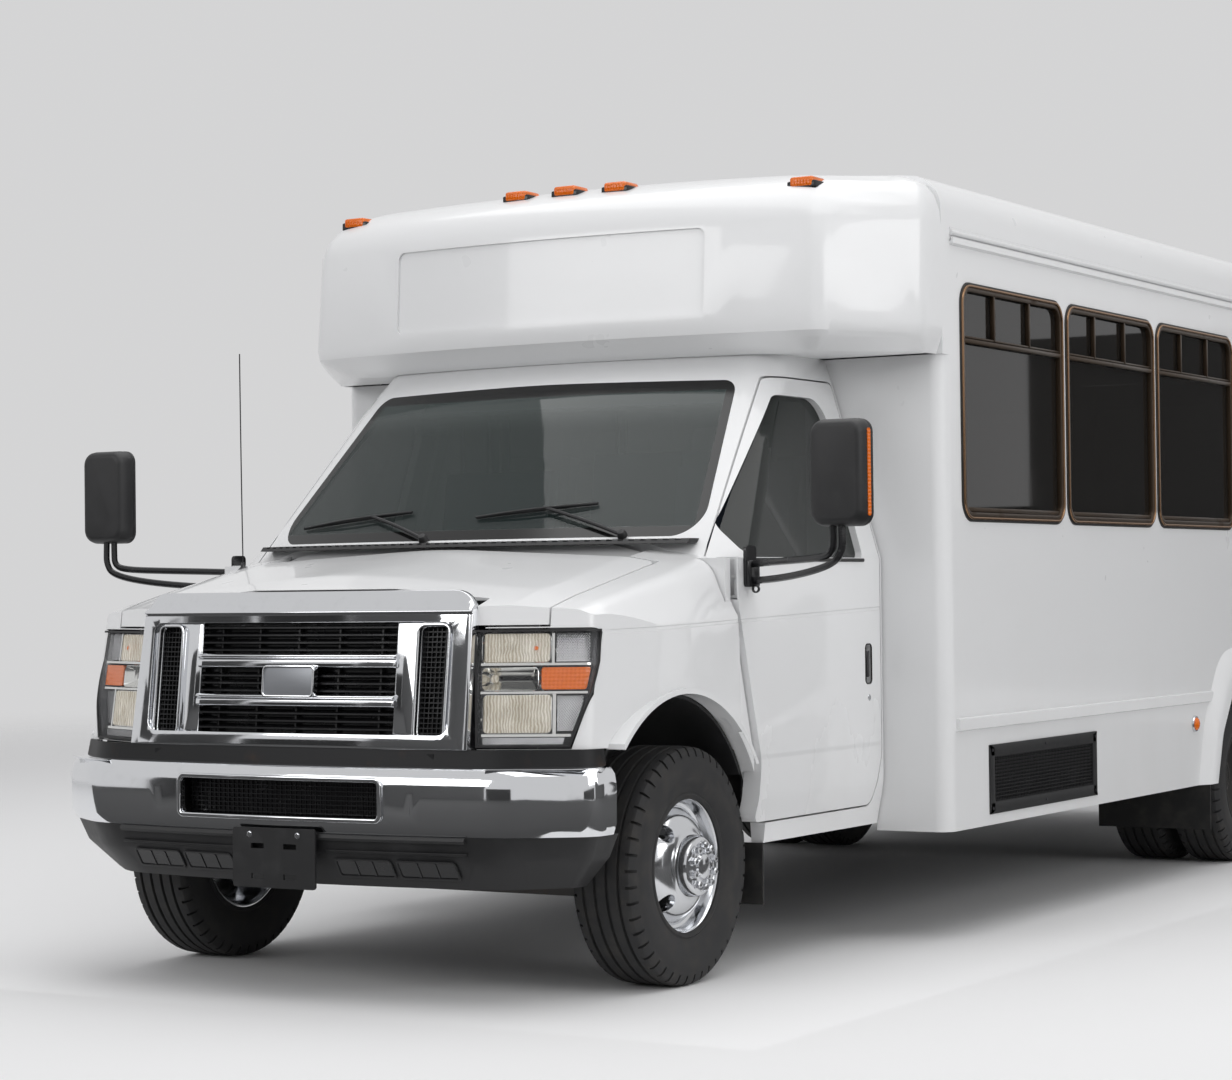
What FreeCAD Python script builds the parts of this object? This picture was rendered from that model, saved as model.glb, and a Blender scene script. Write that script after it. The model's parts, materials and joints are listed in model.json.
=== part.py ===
"""Cutaway shuttle minibus: a wide passenger body with a moulded over-cab cap on a van cab chassis.

Millimetres. +Z is up, the front of the bus faces -Y and the driver's side is +X. The origin is on the
ground, in the middle of the bus's length and width. Places along the bus are written as distances
behind the front axle, and st() turns such a station into a Y of the part.
"""
import FreeCAD, Part

from functools import lru_cache
import math
import os

# Driving dimensions of the whole bus
OVERALL_LENGTH = 7620.0
FRONT_OVERHANG = 830.0
WHEELBASE = 4470.0
BODY_HALF = 1245.0
CAB_HALF = 1005.0
ROOF_Z = 2650.0
ROOF_SIDE_Z = 2592.0
ROOF_CORNER = 120.0
SKIRT_Z = 375.0
EAVES_Z = 2404.0
WALL = 40.0
PANEL = 22.0
CAB_FLOOR = 722.0
GAP = 6.0
SEAT_GAP = 0.3

# Stations along the bus, behind the front axle
CORNER_FRONT = 1256.0
SIDE_FRONT = 1316.0
REAR_SEAM = 6610.0
REAR_FACE = 6700.0
REAR_END = OVERALL_LENGTH - FRONT_OVERHANG

# Floor and frame
FLOOR_TOP = 800.0
FLOOR_THICK = 36.0
STEP_DEEP = 560.0
RAIL_X = 430.0
RAIL_WIDE = 66.0
RAIL_HIGH = 190.0
RAIL_TOP = 700.0
RAIL_WEB = 9.0
CROSS_STATIONS = (-560.0, 420.0, 1500.0, 2500.0, 3500.0, 4830.0, 6500.0)
CROSS_HIGH = 48.0

# Wheels
TYRE_R = 364.0
TYRE_WIDE = 225.0
BEAD_R = 205.0
RIM_R = 222.0
FRONT_TYRE_X = 848.0
REAR_OUTER_X = 1080.0
REAR_INNER_X = 806.0
KINGPIN_X = 742.0
SPINDLE_R = 32.0
HUB_R = 92.0
LUG_COUNT = 10
LUG_CIRCLE_R = 70.0
LUG_R = 12.0
HAND_HOLES = 4
HAND_HOLE_R = 29.0
HAND_HOLE_CIRCLE = 148.0

# Side windows: each is one framed unit, set at an even pitch
WINDOW_FIRST = 1392.0
WINDOW_WIDE = 922.0
WINDOW_HIGH = 824.0
WINDOW_PITCH = 948.0
WINDOW_BASE_Z = 1425.0
WINDOW_CORNER = 78.0
FRAME_WIDE = 34.0
FRAME_PROUD = 11.0
MULLION_Z = 2048.0
MULLION_HIGH = 24.0
PANE = 6.0
LEFT_WINDOWS = (0, 1, 2, 3, 4)
RIGHT_WINDOWS = (1, 2, 3, 4)

# Entrance, cab doors, back door
ENTRY_FRONT = 1376.0
ENTRY_WIDE = 900.0
ENTRY_BASE_Z = 455.0
ENTRY_TOP_Z = 2235.0
LEAF_THICK = 34.0
DOOR_THICK = 62.0
BELT_Z = 1302.0
SHOULDER_X = 826.0
GREENHOUSE_Z = 1915.0
BACK_DOOR_HALF = 450.0
BACK_DOOR_BASE_Z = 822.0
BACK_DOOR_TOP_Z = 2250.0

# Nose
ARCH_CENTRE = -110.0
ARCH_R = 520.0
ARCH_Z = 372.0
HOOD_HALF = 806.0
HOOD_REAR = 62.0
GRILLE_BASE_Z = 748.0
GRILLE_TOP_Z = 1212.0
GRILLE_HALF = 622.0
LAMP_OUTER_X = 926.0
LAMP_TOP_Z = 1096.0

# Bumpers
BUMPER_BASE_Z = 500.0
BUMPER_HIGH = 200.0
BUMPER_SKIN = 14.0
VALANCE_BASE_Z = 342.0
PLATE_WIDE = 305.0
PLATE_HIGH = 178.0
PLATE_HOLE_SPACING = 178.0
PLATE_HOLE_R = 3.2

# Over-cab cap
CAP_BASE_Z = 1990.0
CAP_FRONT = 672.0
SIGN_HALF = 622.0
SIGN_BASE_Z = 2119.0
SIGN_TOP_Z = 2410.0
SIGN_DEEP = 9.0


def st(station):
    """Y of a station given as a distance behind the front axle."""
    return station + FRONT_OVERHANG - OVERALL_LENGTH / 2.0


def vec(x, y, z):
    return FreeCAD.Vector(x, y, z)


def box(x0, x1, s0, s1, z0, z1):
    """Block between two X, two stations and two Z."""
    return Part.makeBox(x1 - x0, s1 - s0, z1 - z0, vec(x0, st(s0), z0))


def rounded(points, place):
    """Closed wire through (u, v, radius) corners; place(u, v) gives the point in space."""
    corners = [(FreeCAD.Vector(p[0], p[1], 0), p[2] if len(p) > 2 else 0.0) for p in points]
    count = len(corners)
    starts, ends, mids = [], [], []
    for i, (here, radius) in enumerate(corners):
        before = (corners[i - 1][0] - here).normalize()
        after = (corners[(i + 1) % count][0] - here).normalize()
        if radius <= 0:
            starts.append(here)
            ends.append(here)
            mids.append(None)
            continue
        half = before.getAngle(after) / 2.0
        reach = radius / math.tan(half)
        bisector = (before + after).normalize()
        centre = here + bisector * (radius / math.sin(half))
        starts.append(here + before * reach)
        ends.append(here + after * reach)
        mids.append(centre - bisector * radius)
    edges = []
    for i in range(count):
        if mids[i] is not None:
            arc = [place(p.x, p.y) for p in (starts[i], mids[i], ends[i])]
            edges.append(Part.Arc(*arc).toShape())
        nxt = (i + 1) % count
        if (starts[nxt] - ends[i]).Length > 1e-6:
            line = [place(p.x, p.y) for p in (ends[i], starts[nxt])]
            edges.append(Part.LineSegment(*line).toShape())
    return Part.Wire(edges)


def prism_x(points, x0, x1):
    """Outline of (station, z, radius) corners, extruded from x0 to x1."""
    wire = rounded(points, lambda s, z: vec(x0, st(s), z))
    return Part.Face(wire).extrude(vec(x1 - x0, 0, 0))


def prism_y(points, s0, s1):
    """Outline of (x, z, radius) corners, extruded from station s0 to s1."""
    wire = rounded(points, lambda x, z: vec(x, st(s0), z))
    return Part.Face(wire).extrude(vec(0, s1 - s0, 0))


def prism_z(points, z0, z1):
    """Outline of (x, station, radius) corners, extruded from z0 to z1."""
    wire = rounded(points, lambda x, s: vec(x, st(s), z0))
    return Part.Face(wire).extrude(vec(0, 0, z1 - z0))


def loft_z(sections):
    """Ruled solid through plan outlines: sections are (z, [(x, station, radius), ...])."""
    wires = [rounded(pts, lambda x, s, z=z: vec(x, st(s), z)) for z, pts in sections]
    return Part.makeLoft(wires, True, True)


def loft_y(sections):
    """Ruled solid through cross-sections: sections are (station, [(x, z, radius), ...])."""
    wires = [rounded(pts, lambda x, z, s=s: vec(x, st(s), z)) for s, pts in sections]
    return Part.makeLoft(wires, True, True)


def rect(u0, u1, v0, v1, radius=0.0):
    """Corners of a rectangle with one corner radius."""
    return [(u0, v0, radius), (u1, v0, radius), (u1, v1, radius), (u0, v1, radius)]


def cyl_x(x0, x1, station, z, radius):
    return Part.makeCylinder(radius, abs(x1 - x0), vec(min(x0, x1), st(station), z), vec(1, 0, 0))


def cyl_y(s0, s1, x, z, radius):
    return Part.makeCylinder(radius, s1 - s0, vec(x, st(s0), z), vec(0, 1, 0))


def cyl_z(z0, z1, x, station, radius):
    return Part.makeCylinder(radius, z1 - z0, vec(x, st(station), z0))


def bow(front, end_x, end_s, share=0.9):
    """Corner for the middle of a bowed line whose true middle and ends are given."""
    slope = (end_s - front) / (end_x * (1.0 - share / 2.0))
    angle = math.atan(slope)
    return (0.0, end_s - end_x * slope, abs(share * end_x / math.sin(angle)))


BEND_BALL = 0.6


def tube(points, radius):
    """Round bar along straight runs; each joint is closed by a slightly larger ball."""
    parts = []
    for a, b in zip(points, points[1:]):
        step = b - a
        parts.append(Part.makeCylinder(radius, step.Length, a, step))
    parts += [Part.makeSphere(radius + BEND_BALL, p) for p in points[1:-1]]
    return fuse(parts)


def fuse(shapes):
    first, rest = shapes[0], shapes[1:]
    return first.fuse(rest).removeSplitter() if rest else first


def flip(shape):
    """The same shape on the other side of the bus."""
    return shape.mirror(vec(0, 0, 0), vec(1, 0, 0))


def both(shape):
    return Part.makeCompound([shape, flip(shape)])


def save(name, shape):
    shape.exportStep(os.path.join("parts", name + ".step"))


# Body outlines seen from the front

def body_outline(inset=0.0, base=SKIRT_Z):
    """Front view of the passenger body: upright sides, round eaves and a crowned roof."""
    half = BODY_HALF - inset
    corner = ROOF_CORNER - inset
    crown = ROOF_Z - inset
    eaves = ROOF_SIDE_Z - inset
    return [
        (-half, base), (half, base), (half, eaves, corner), bow(crown, half, eaves, 0.86),
        (-half, eaves, corner)
    ]


def body_tube(s0, s1, z0, z1):
    """Length of the hollow body shell between two stations and two heights."""
    outer = prism_y(body_outline(), s0, s1)
    inner = prism_y(body_outline(WALL, SKIRT_Z - 10.0), s0 - 1.0, s1 + 1.0)
    keep = box(-BODY_HALF - 1, BODY_HALF + 1, s0, s1, z0, z1)
    return outer.cut(inner).common(keep)


def window_outline(index, inset=0.0):
    s0 = WINDOW_FIRST + index * WINDOW_PITCH + inset
    s1 = s0 + WINDOW_WIDE - 2 * inset
    z1 = WINDOW_BASE_Z + WINDOW_HIGH - inset
    return rect(s0, s1, WINDOW_BASE_Z + inset, z1, WINDOW_CORNER - inset)


# Rear wheel opening and its moulded flare: half widths about the axle at each height
FLARE_OUTER = [(745.0, SKIRT_Z), (668.0, 640.0, 320.0), (470.0, 905.0, 260.0), (0.0, 975.0, 900.0)]
FLARE_INNER = [(610.0, SKIRT_Z), (530.0, 580.0, 200.0), (350.0, 800.0, 170.0)]
FLARE_PROUD = 34.0


def arch_outline(corners, drop=0.0):
    """Wheel arch outline about the rear axle, its base lowered by drop."""
    first = (corners[0][0], corners[0][1] - drop)
    pts = [first] + list(corners[1:])
    left = [(-p[0],) + tuple(p[1:]) for p in reversed(pts) if p[0] > 0]
    return [(WHEELBASE + p[0],) + tuple(p[1:]) for p in pts + left]


def side_wall(side):
    """One side of the body with its window, wheel and entrance openings, and its two rails."""
    wall = body_tube(SIDE_FRONT, REAR_SEAM, SKIRT_Z, EAVES_Z)
    wall = wall.common(box(0, BODY_HALF + 1, SIDE_FRONT, REAR_SEAM, SKIRT_Z - 1, EAVES_Z + 1))
    x0, x1 = BODY_HALF - WALL - 1, BODY_HALF + 1
    cuts = [prism_x(arch_outline(FLARE_INNER, 20.0), x0, x1)]
    for index in LEFT_WINDOWS if side > 0 else RIGHT_WINDOWS:
        cuts.append(prism_x(window_outline(index), x0, x1))
    rails_from = SIDE_FRONT + 4.0
    if side < 0:
        rails_from = ENTRY_FRONT + ENTRY_WIDE + 50.0
        opening = rect(ENTRY_FRONT, ENTRY_FRONT + ENTRY_WIDE, SKIRT_Z - 20.0, ENTRY_TOP_Z)
        cuts.append(prism_x(opening, x0, x1))
    wall = wall.cut(cuts)
    rub = [(0, 711.0), (14, 715.0), (14, 753.0), (0, 757.0)]
    rub = [(BODY_HALF + u, v) for u, v in rub]
    drip = [(0, 0), (15, 6), (15, 26), (8, 26), (8, 14), (0, 14)]
    drip = [(BODY_HALF + u, EAVES_Z - 40.0 + v) for u, v in drip]
    rear_from = WHEELBASE + FLARE_OUTER[0][0] - 60.0
    rails = [
        prism_y(rub, rails_from, WHEELBASE - FLARE_OUTER[0][0] + 155.0),
        prism_y(rub, rear_from - 95.0, REAR_SEAM),
        prism_y(drip, SIDE_FRONT, REAR_SEAM),
    ]
    if side > 0:
        vent = rect(VENT_FRONT, VENT_FRONT + VENT_WIDE, VENT_BASE_Z, VENT_BASE_Z + VENT_HIGH)
        wall = wall.cut(prism_x(vent, x0, x1))
    flare = prism_x(arch_outline(FLARE_OUTER, 2.0), BODY_HALF, x1 + 60.0)
    rails = [r.cut(flare) for r in rails]
    pins = []
    if side < 0:
        for pin_s, reach in zip(ENTRY_PINS, (-26.0, 26.0)):
            near, far = sorted((pin_s, pin_s + reach))
            pins += hinge_pins(
                ENTRY_PIN_X, pin_s, ENTRY_HINGES,
                lambda a, b: box(BODY_HALF - 1.0, ENTRY_PIN_X, near, far, a, b)
            )
    wall = fuse([wall] + rails + pins)
    return wall if side > 0 else flip(wall)


VENT_FRONT = 1590.0
VENT_WIDE = 1000.0
VENT_BASE_Z = 412.0
VENT_HIGH = 240.0
VENT_RIM = 42.0
VENT_SLATS = 13


def side_vent():
    """Black louvred intake in the driver's side skirt."""
    s0, s1 = VENT_FRONT + SEAT_GAP, VENT_FRONT + VENT_WIDE - SEAT_GAP
    z0, z1 = VENT_BASE_Z + SEAT_GAP, VENT_BASE_Z + VENT_HIGH - SEAT_GAP
    x0, x1 = BODY_HALF - 26.0, BODY_HALF + 5.0
    frame = prism_x(rect(s0, s1, z0, z1), x0, x1)
    frame = frame.cut(prism_x(
        rect(s0 + VENT_RIM, s1 - VENT_RIM, z0 + VENT_RIM, z1 - VENT_RIM), x0 - 1, x1 + 1
    ))
    opening = VENT_HIGH - 2 * VENT_RIM
    slats = []
    for i in range(VENT_SLATS):
        z = z0 + VENT_RIM + (i + 0.5) * opening / VENT_SLATS
        slat = [
            (BODY_HALF - 22.0, z - 1.0), (BODY_HALF - 3.0, z - 5.0), (BODY_HALF - 3.0, z - 3.0),
            (BODY_HALF - 22.0, z + 1.0)
        ]
        slats.append(prism_y(slat, s0 + VENT_RIM - 1.0, s1 - VENT_RIM + 1.0))
    ribs = [box(
        BODY_HALF - 24.0, BODY_HALF - 20.0, s - 3.0, s + 3.0, z0 + VENT_RIM - 1.0, z1 - VENT_RIM + 1.0
    )
            for s in (s0 + VENT_WIDE / 3.0, s0 + 2.0 * VENT_WIDE / 3.0)]
    return fuse([frame] + slats + ribs)


def wheel_flares():
    """Moulded flares round the rear wheel openings, stood proud of the sides."""
    outer = prism_x(arch_outline(FLARE_OUTER), BODY_HALF, BODY_HALF + FLARE_PROUD)
    inner = prism_x(arch_outline(FLARE_INNER, 20.0), BODY_HALF - 1, BODY_HALF + FLARE_PROUD + 1)
    ring = outer.cut(inner)
    face = arch_outline([(FLARE_OUTER[0][0] - 62.0, SKIRT_Z)] + [
        (p[0] * 0.91, p[1] - 55.0, p[2]) for p in FLARE_OUTER[1:]
    ])
    bevel_wires = [
        rounded(arch_outline(FLARE_OUTER), lambda s, z: vec(BODY_HALF, st(s), z)),
        rounded(face, lambda s, z: vec(BODY_HALF + FLARE_PROUD, st(s), z)),
    ]
    return both(ring.common(Part.makeLoft(bevel_wires, True, True)))


def window_frames():
    """Dark frames of the side windows, each with a transom and two upright bars above it."""
    units = []
    x0, x1 = BODY_HALF - 24.0, BODY_HALF + FRAME_PROUD
    for side, indexes in ((1, LEFT_WINDOWS), (-1, RIGHT_WINDOWS)):
        for index in indexes:
            ring = prism_x(window_outline(index, SEAT_GAP), x0, x1)
            ring = ring.cut(prism_x(window_outline(index, FRAME_WIDE), x0 - 1, x1 + 1))
            s0 = WINDOW_FIRST + index * WINDOW_PITCH
            s1 = s0 + WINDOW_WIDE
            top = WINDOW_BASE_Z + WINDOW_HIGH - FRAME_WIDE + 2.0
            bar_x = (BODY_HALF - 12.0, BODY_HALF + FRAME_PROUD - 4.0)
            bars = [box(
                *bar_x, s0 + FRAME_WIDE - 2, s1 - FRAME_WIDE + 2, MULLION_Z - MULLION_HIGH / 2,
                MULLION_Z + MULLION_HIGH / 2
            )]
            for share in (0.32, 0.66):
                s = s0 + share * WINDOW_WIDE
                bars.append(box(*bar_x, s - 7.0, s + 7.0, MULLION_Z, top))
            unit = fuse([ring] + bars)
            units.append(unit if side > 0 else flip(unit))
    return Part.makeCompound(units)


def window_glass():
    panes = []
    for side, indexes in ((1, LEFT_WINDOWS), (-1, RIGHT_WINDOWS)):
        for index in indexes:
            pane = prism_x(
                window_outline(index, FRAME_WIDE + SEAT_GAP), BODY_HALF - 12.5 - PANE, BODY_HALF - 12.5
            )
            panes.append(pane if side > 0 else flip(pane))
    return Part.makeCompound(panes)


# Over-cab cap and the corner pillars under it
# Plan of the cap at a height: half width, station of the front's middle, of its ends and of the side corner
CAP_BACK = SIDE_FRONT
CAP_SHELL = 34.0


def cap_plan(front, end_x, end_s, side_x, side_s, radius):
    """Plan outline of the cap: bowed front, canted corners, straight sides."""
    return mirrored_plan([
        (side_x, CAP_BACK, 0.0),
        (side_x, side_s, radius),
        (end_x, end_s, radius),
        bow(front, end_x, end_s),
    ])


def mirrored_plan(points):
    """Plan outline from the +X half, from the back round to the middle of the front."""
    left = [(-p[0],) + tuple(p[1:]) for p in reversed(points) if p[0] > 0]
    return list(points) + left


# z, front middle, end x, end station, side x, side station, corner radius
CAP_SECTIONS = [
    (1990.0, 790.0, 935.0, 890.0, 1222.0, 1190.0, 60.0),
    (2034.0, 700.0, 1000.0, 805.0, 1238.0, 1140.0, 90.0),
    (2052.0, 678.0, 1016.0, 783.0, 1244.0, 1122.0, 100.0),
    (2088.0, CAP_FRONT, 1020.0, 777.0, 1245.0, 1116.0, 105.0),
    (2424.0, 692.0, 1010.0, 800.0, 1245.0, 1130.0, 105.0),
    (2478.0, 712.0, 1000.0, 822.0, 1240.0, 1142.0, 100.0),
    (2528.0, 752.0, 975.0, 862.0, 1222.0, 1160.0, 92.0),
    (2566.0, 812.0, 930.0, 920.0, 1190.0, 1184.0, 84.0),
    (2596.0, 900.0, 860.0, 1002.0, 1120.0, 1222.0, 70.0),
    (2622.0, 1040.0, 700.0, 1130.0, 900.0, 1262.0, 50.0),
]


@lru_cache(maxsize=None)
def cap_solid(inset=0.0):
    sections = []
    for z, front, end_x, end_s, side_x, side_s, radius in CAP_SECTIONS:
        pts = cap_plan(
            front + inset, end_x - inset * 0.7, end_s + inset * 0.8, side_x - inset, side_s + inset * 0.5,
            radius
        )
        sections.append((z, pts))
    return loft_z(sections)


def front_cap():
    """Hollow moulded cap with its brow, canted corners and blank sign recess; open to the cabin and below."""
    outer = cap_solid()
    z_low = CAP_SECTIONS[0][0]
    z_high = CAP_SECTIONS[-1][0]
    inner = cap_solid(CAP_SHELL)
    inner = inner.common(box(-BODY_HALF, BODY_HALF, 0, CAP_BACK + 1, z_low + 40.0, z_high - 34.0))
    hood = prism_y(body_outline(0.0, 1900.0), CAP_BACK - 150.0, CAP_BACK)
    core = prism_y(body_outline(CAP_SHELL, 1890.0), CAP_BACK - 116.0, CAP_BACK + 1)
    arch = hood.cut(box(-2000, 2000, 0, 5000, 1000, CAP_BASE_Z))
    ramp = prism_x(
        [
            (CAP_BACK - 150.0, 3000), (CAP_BACK - 150.0, 2560), (CAP_BACK - 62.0, 2700),
            (CAP_BACK - 62.0, 3000)
        ],
        -2000, 2000
    )
    arch = arch.cut(ramp)
    arch = arch.common(box(-BODY_HALF, BODY_HALF, CAP_BACK - 66.0, CAP_BACK, CAP_BASE_Z, 2700))
    shell = outer.fuse(arch).cut(inner).cut(core)
    mouth = box(
        -BODY_HALF + CAP_SHELL, BODY_HALF - CAP_SHELL, CAP_BACK - 90.0, CAP_BACK + 1, CAP_BASE_Z + 40.0,
        2540.0
    )
    hatch = box(-780.0, 780.0, 960.0, CAP_BACK + 1, CAP_BASE_Z - 1, CAP_BASE_Z + 60.0)
    shell = shell.cut([mouth, hatch])
    sign = prism_y(
        rect(-SIGN_HALF, SIGN_HALF, SIGN_BASE_Z, SIGN_TOP_Z, 26.0), CAP_FRONT - 30.0, CAP_FRONT + 400.0
    )
    floor = cap_solid(SIGN_DEEP)
    recess = sign.common(outer).cut(floor)
    return shell.cut(recess).removeSplitter()


CORNER_PANEL_X = 720.0


def corner_pillars():
    """Rounded front corners of the body beside the cab, with a flat panel where the cab leans in."""
    outer = [(BODY_HALF, SIDE_FRONT), (BODY_HALF, CORNER_FRONT, 55.0), (CAB_HALF - 30.0, CORNER_FRONT)]
    inner = [
        (CAB_HALF - 30.0, CORNER_FRONT + PANEL), (BODY_HALF - PANEL, CORNER_FRONT + PANEL, 34.0),
        (BODY_HALF - PANEL, SIDE_FRONT)
    ]
    corner = prism_z(outer + inner, SKIRT_Z, CAP_BASE_Z)
    filler = box(
        CORNER_PANEL_X, CAB_HALF - 29.0, CORNER_FRONT, CORNER_FRONT + PANEL, BELT_Z - 12.0, CAP_BASE_Z
    )
    return both(corner.fuse(filler).removeSplitter())


def roof():
    """Crowned roof with round eaves and cross ribs pressed in its underside."""
    return body_tube(SIDE_FRONT, REAR_SEAM, EAVES_Z, ROOF_Z + 1)


def rear_wall():
    """Moulded back of the body with its emergency doorway and two windows beside it."""
    outer = prism_y(body_outline(), REAR_SEAM, REAR_FACE)
    edges = [e for e in outer.Edges if min(v.Y for v in e.Vertexes) > st(REAR_FACE) - 1
             and max(v.Z for v in e.Vertexes) > SKIRT_Z + 1]
    outer = outer.makeFillet(62.0, edges)
    inner = prism_y(body_outline(WALL, SKIRT_Z - 10.0), REAR_SEAM - 1, REAR_FACE - WALL)
    doorway = rect(-BACK_DOOR_HALF, BACK_DOOR_HALF, BACK_DOOR_BASE_Z, BACK_DOOR_TOP_Z, 40.0)
    lights = rect(BACK_LIGHT_INNER, BACK_LIGHT_OUTER, BACK_LIGHT_BASE_Z, BACK_LIGHT_TOP_Z, 60.0)
    lamps = [
        cyl_y(REAR_FACE - 12.0, REAR_FACE + 5, side * TAIL_X, z, r + SEAT_GAP) for z, r in TAIL_LAMPS
        for side in (1, -1)
    ]
    light = prism_y(lights, REAR_FACE - 100.0, REAR_FACE + 10)
    cuts = [inner, prism_y(doorway, REAR_FACE - 100.0, REAR_FACE + 10), light, flip(light)]
    g = SEAT_GAP
    arm = box(HITCH[0] - g, HITCH[1] + g, REAR_FACE - 100.0, REAR_FACE + 10.0, HITCH[2] - g, HITCH[3] + g)
    x, s = BACK_DOOR_PIN
    pins = hinge_pins(x, s, BACK_DOOR_HINGES, lambda a, b: box(x, x + 30.0, REAR_FACE - 1.0, s, a, b))
    return fuse([outer.cut(cuts + lamps + [arm, flip(arm)])] + pins)


BACK_LIGHT_INNER = 600.0
BACK_LIGHT_OUTER = 1060.0
BACK_LIGHT_BASE_Z = 1560.0
BACK_LIGHT_TOP_Z = 2120.0
TAIL_X = 1080.0
TAIL_LAMPS = [(1200.0, 54.0), (1050.0, 54.0), (900.0, 54.0)]


def tail_lamps():
    """Three round lamps in a column on each side of the back, and the reversing pair below."""
    lamps = []
    for z, r in TAIL_LAMPS:
        base = cyl_y(REAR_FACE - 12.0, REAR_FACE + 3.0, TAIL_X, z, r)
        dome = Part.makeCone(r, r * 0.8, 12.0, vec(TAIL_X, st(REAR_FACE + 3.0), z), vec(0, 1, 0))
        lamps.append(fuse([base, dome]))
    return Part.makeCompound(lamps + [flip(s) for s in lamps])


def rear_window():
    light = rect(
        BACK_LIGHT_INNER + SEAT_GAP, BACK_LIGHT_OUTER - SEAT_GAP, BACK_LIGHT_BASE_Z + SEAT_GAP,
        BACK_LIGHT_TOP_Z - SEAT_GAP, 60.0
    )
    return both(prism_y(light, REAR_FACE - 18.0, REAR_FACE - 12.0))


# Marker lamps: x, station, z of each base, on the brow, the back and the sides
FRONT_MARKERS = [
    (0.0, 903.0, 2597.0), (203.0, 905.0, 2595.0), (-203.0, 905.0, 2595.0), (915.0, 922.0, 2556.0),
    (-915.0, 922.0, 2556.0)
]
MARKER_WIDE = 92.0
MARKER_HIGH = 32.0
BACK_MARKER_X = (0.0, 165.0, 330.0)
SIDE_MARKER = (3681.0, 629.0)


def marker_lamps():
    """Amber clearance lamps on the brow, red ones across the back, one amber on each side."""
    lamps = []
    cap = cap_solid()
    for x, station, z in FRONT_MARKERS:
        lamp = box(
            x - MARKER_WIDE / 2, x + MARKER_WIDE / 2, station - 46.0, station + 46.0, z - 22.0, z + 18.0
        )
        lamp = lamp.makeFillet(
            8.0, [e for e in lamp.Edges if abs(e.Vertexes[0].Z - e.Vertexes[-1].Z) > 1]
        )
        lamps.append(lamp.cut(cap))
    for x in BACK_MARKER_X:
        z = ROOF_Z - 120.0
        lamp = box(
            x - MARKER_WIDE / 2, x + MARKER_WIDE / 2, REAR_FACE, REAR_FACE + 20.0, z, z + MARKER_HIGH
        )
        lamps += [lamp] if x == 0 else [lamp, flip(lamp)]
    station, z = SIDE_MARKER
    side = cyl_x(BODY_HALF, BODY_HALF + 22.0, station, z, 27.0)
    return Part.makeCompound(lamps + [side, flip(side)])


# Cab greenhouse, seen in plan at the belt, the windscreen's top and the roof
# z, front middle, windscreen corner x and station, side x and station
GREENHOUSE = [
    (BELT_Z, 72.0, 896.0, 236.0, CAB_HALF, 330.0),
    (GREENHOUSE_Z, 705.0, 752.0, 797.0, SHOULDER_X, 875.0),
    (CAP_BASE_Z - SEAT_GAP, 800.0, 722.0, 872.0, SHOULDER_X - 26.0, 945.0),
]
CAB_BACK = 1250.0
GLASS_THICK = 7.0
SCREEN_BASE = (842.0, 1374.0)
SCREEN_TOP = (716.0, 1900.0)
SCREEN_BLEND = 14.0


def greenhouse_plan(row, inset=0.0, back=CAB_BACK, forward=0.0):
    z, front, corner_x, corner_s, side_x, side_s = row
    shift = inset - forward
    return mirrored_plan([
        (side_x - inset, back, 0.0),
        (side_x - inset, side_s + shift, 100.0),
        (corner_x - inset * 0.7, corner_s + shift, 80.0),
        bow(front + shift, corner_x - inset * 0.7, corner_s + shift),
    ])


def greenhouse(inset=0.0, back=CAB_BACK, forward=0.0, under_roof=0.0):
    """Solid of the cab above the belt, or that solid with its walls and front moved in."""
    rows = [(row[0] - (under_roof if row is GREENHOUSE[-1] else 0.0), row) for row in GREENHOUSE]
    return loft_z([(z, greenhouse_plan(row, inset, back, forward)) for z, row in rows])


def windscreen_outline(margin=0.0):
    """Front view of the windscreen, its corners rounded."""
    low, z0 = SCREEN_BASE[0] - margin, SCREEN_BASE[1] + margin
    high, z1 = SCREEN_TOP[0] - margin, SCREEN_TOP[1] - margin
    return [
        (-low, z0, 80.0), (low, z0, 80.0), (high, z1, 60.0), (0.0, z1 + 12.0, 9000.0), (-high, z1, 60.0)
    ]


def windscreen():
    front = greenhouse().cut(greenhouse(0.0, CAB_BACK, -GLASS_THICK * 1.5))
    pane = front.common(prism_y(windscreen_outline(SEAT_GAP), 60.0, 960.0))
    return pane


def cab_section(inset=0.0, base=400.0):
    """Front view of the cab below the belt: tucked sills and upright sides."""
    half = CAB_HALF - inset
    return [
        (-half + 28.0, base), (half - 28.0, base), (half, 545.0, 200.0), (half, BELT_Z), (-half, BELT_Z),
        (-half, 545.0, 200.0)
    ]


@lru_cache(maxsize=None)
def cab_solid(inset=0.0, front=100.0, back=CAB_BACK, base=400.0):
    """Whole cab as one solid, from the sills to the roof, with its surface moved in by an inset."""
    lower = prism_y(cab_section(inset, base), front, back)
    return lower.fuse(greenhouse(inset, back, 0.0, inset)).removeSplitter()


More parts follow.
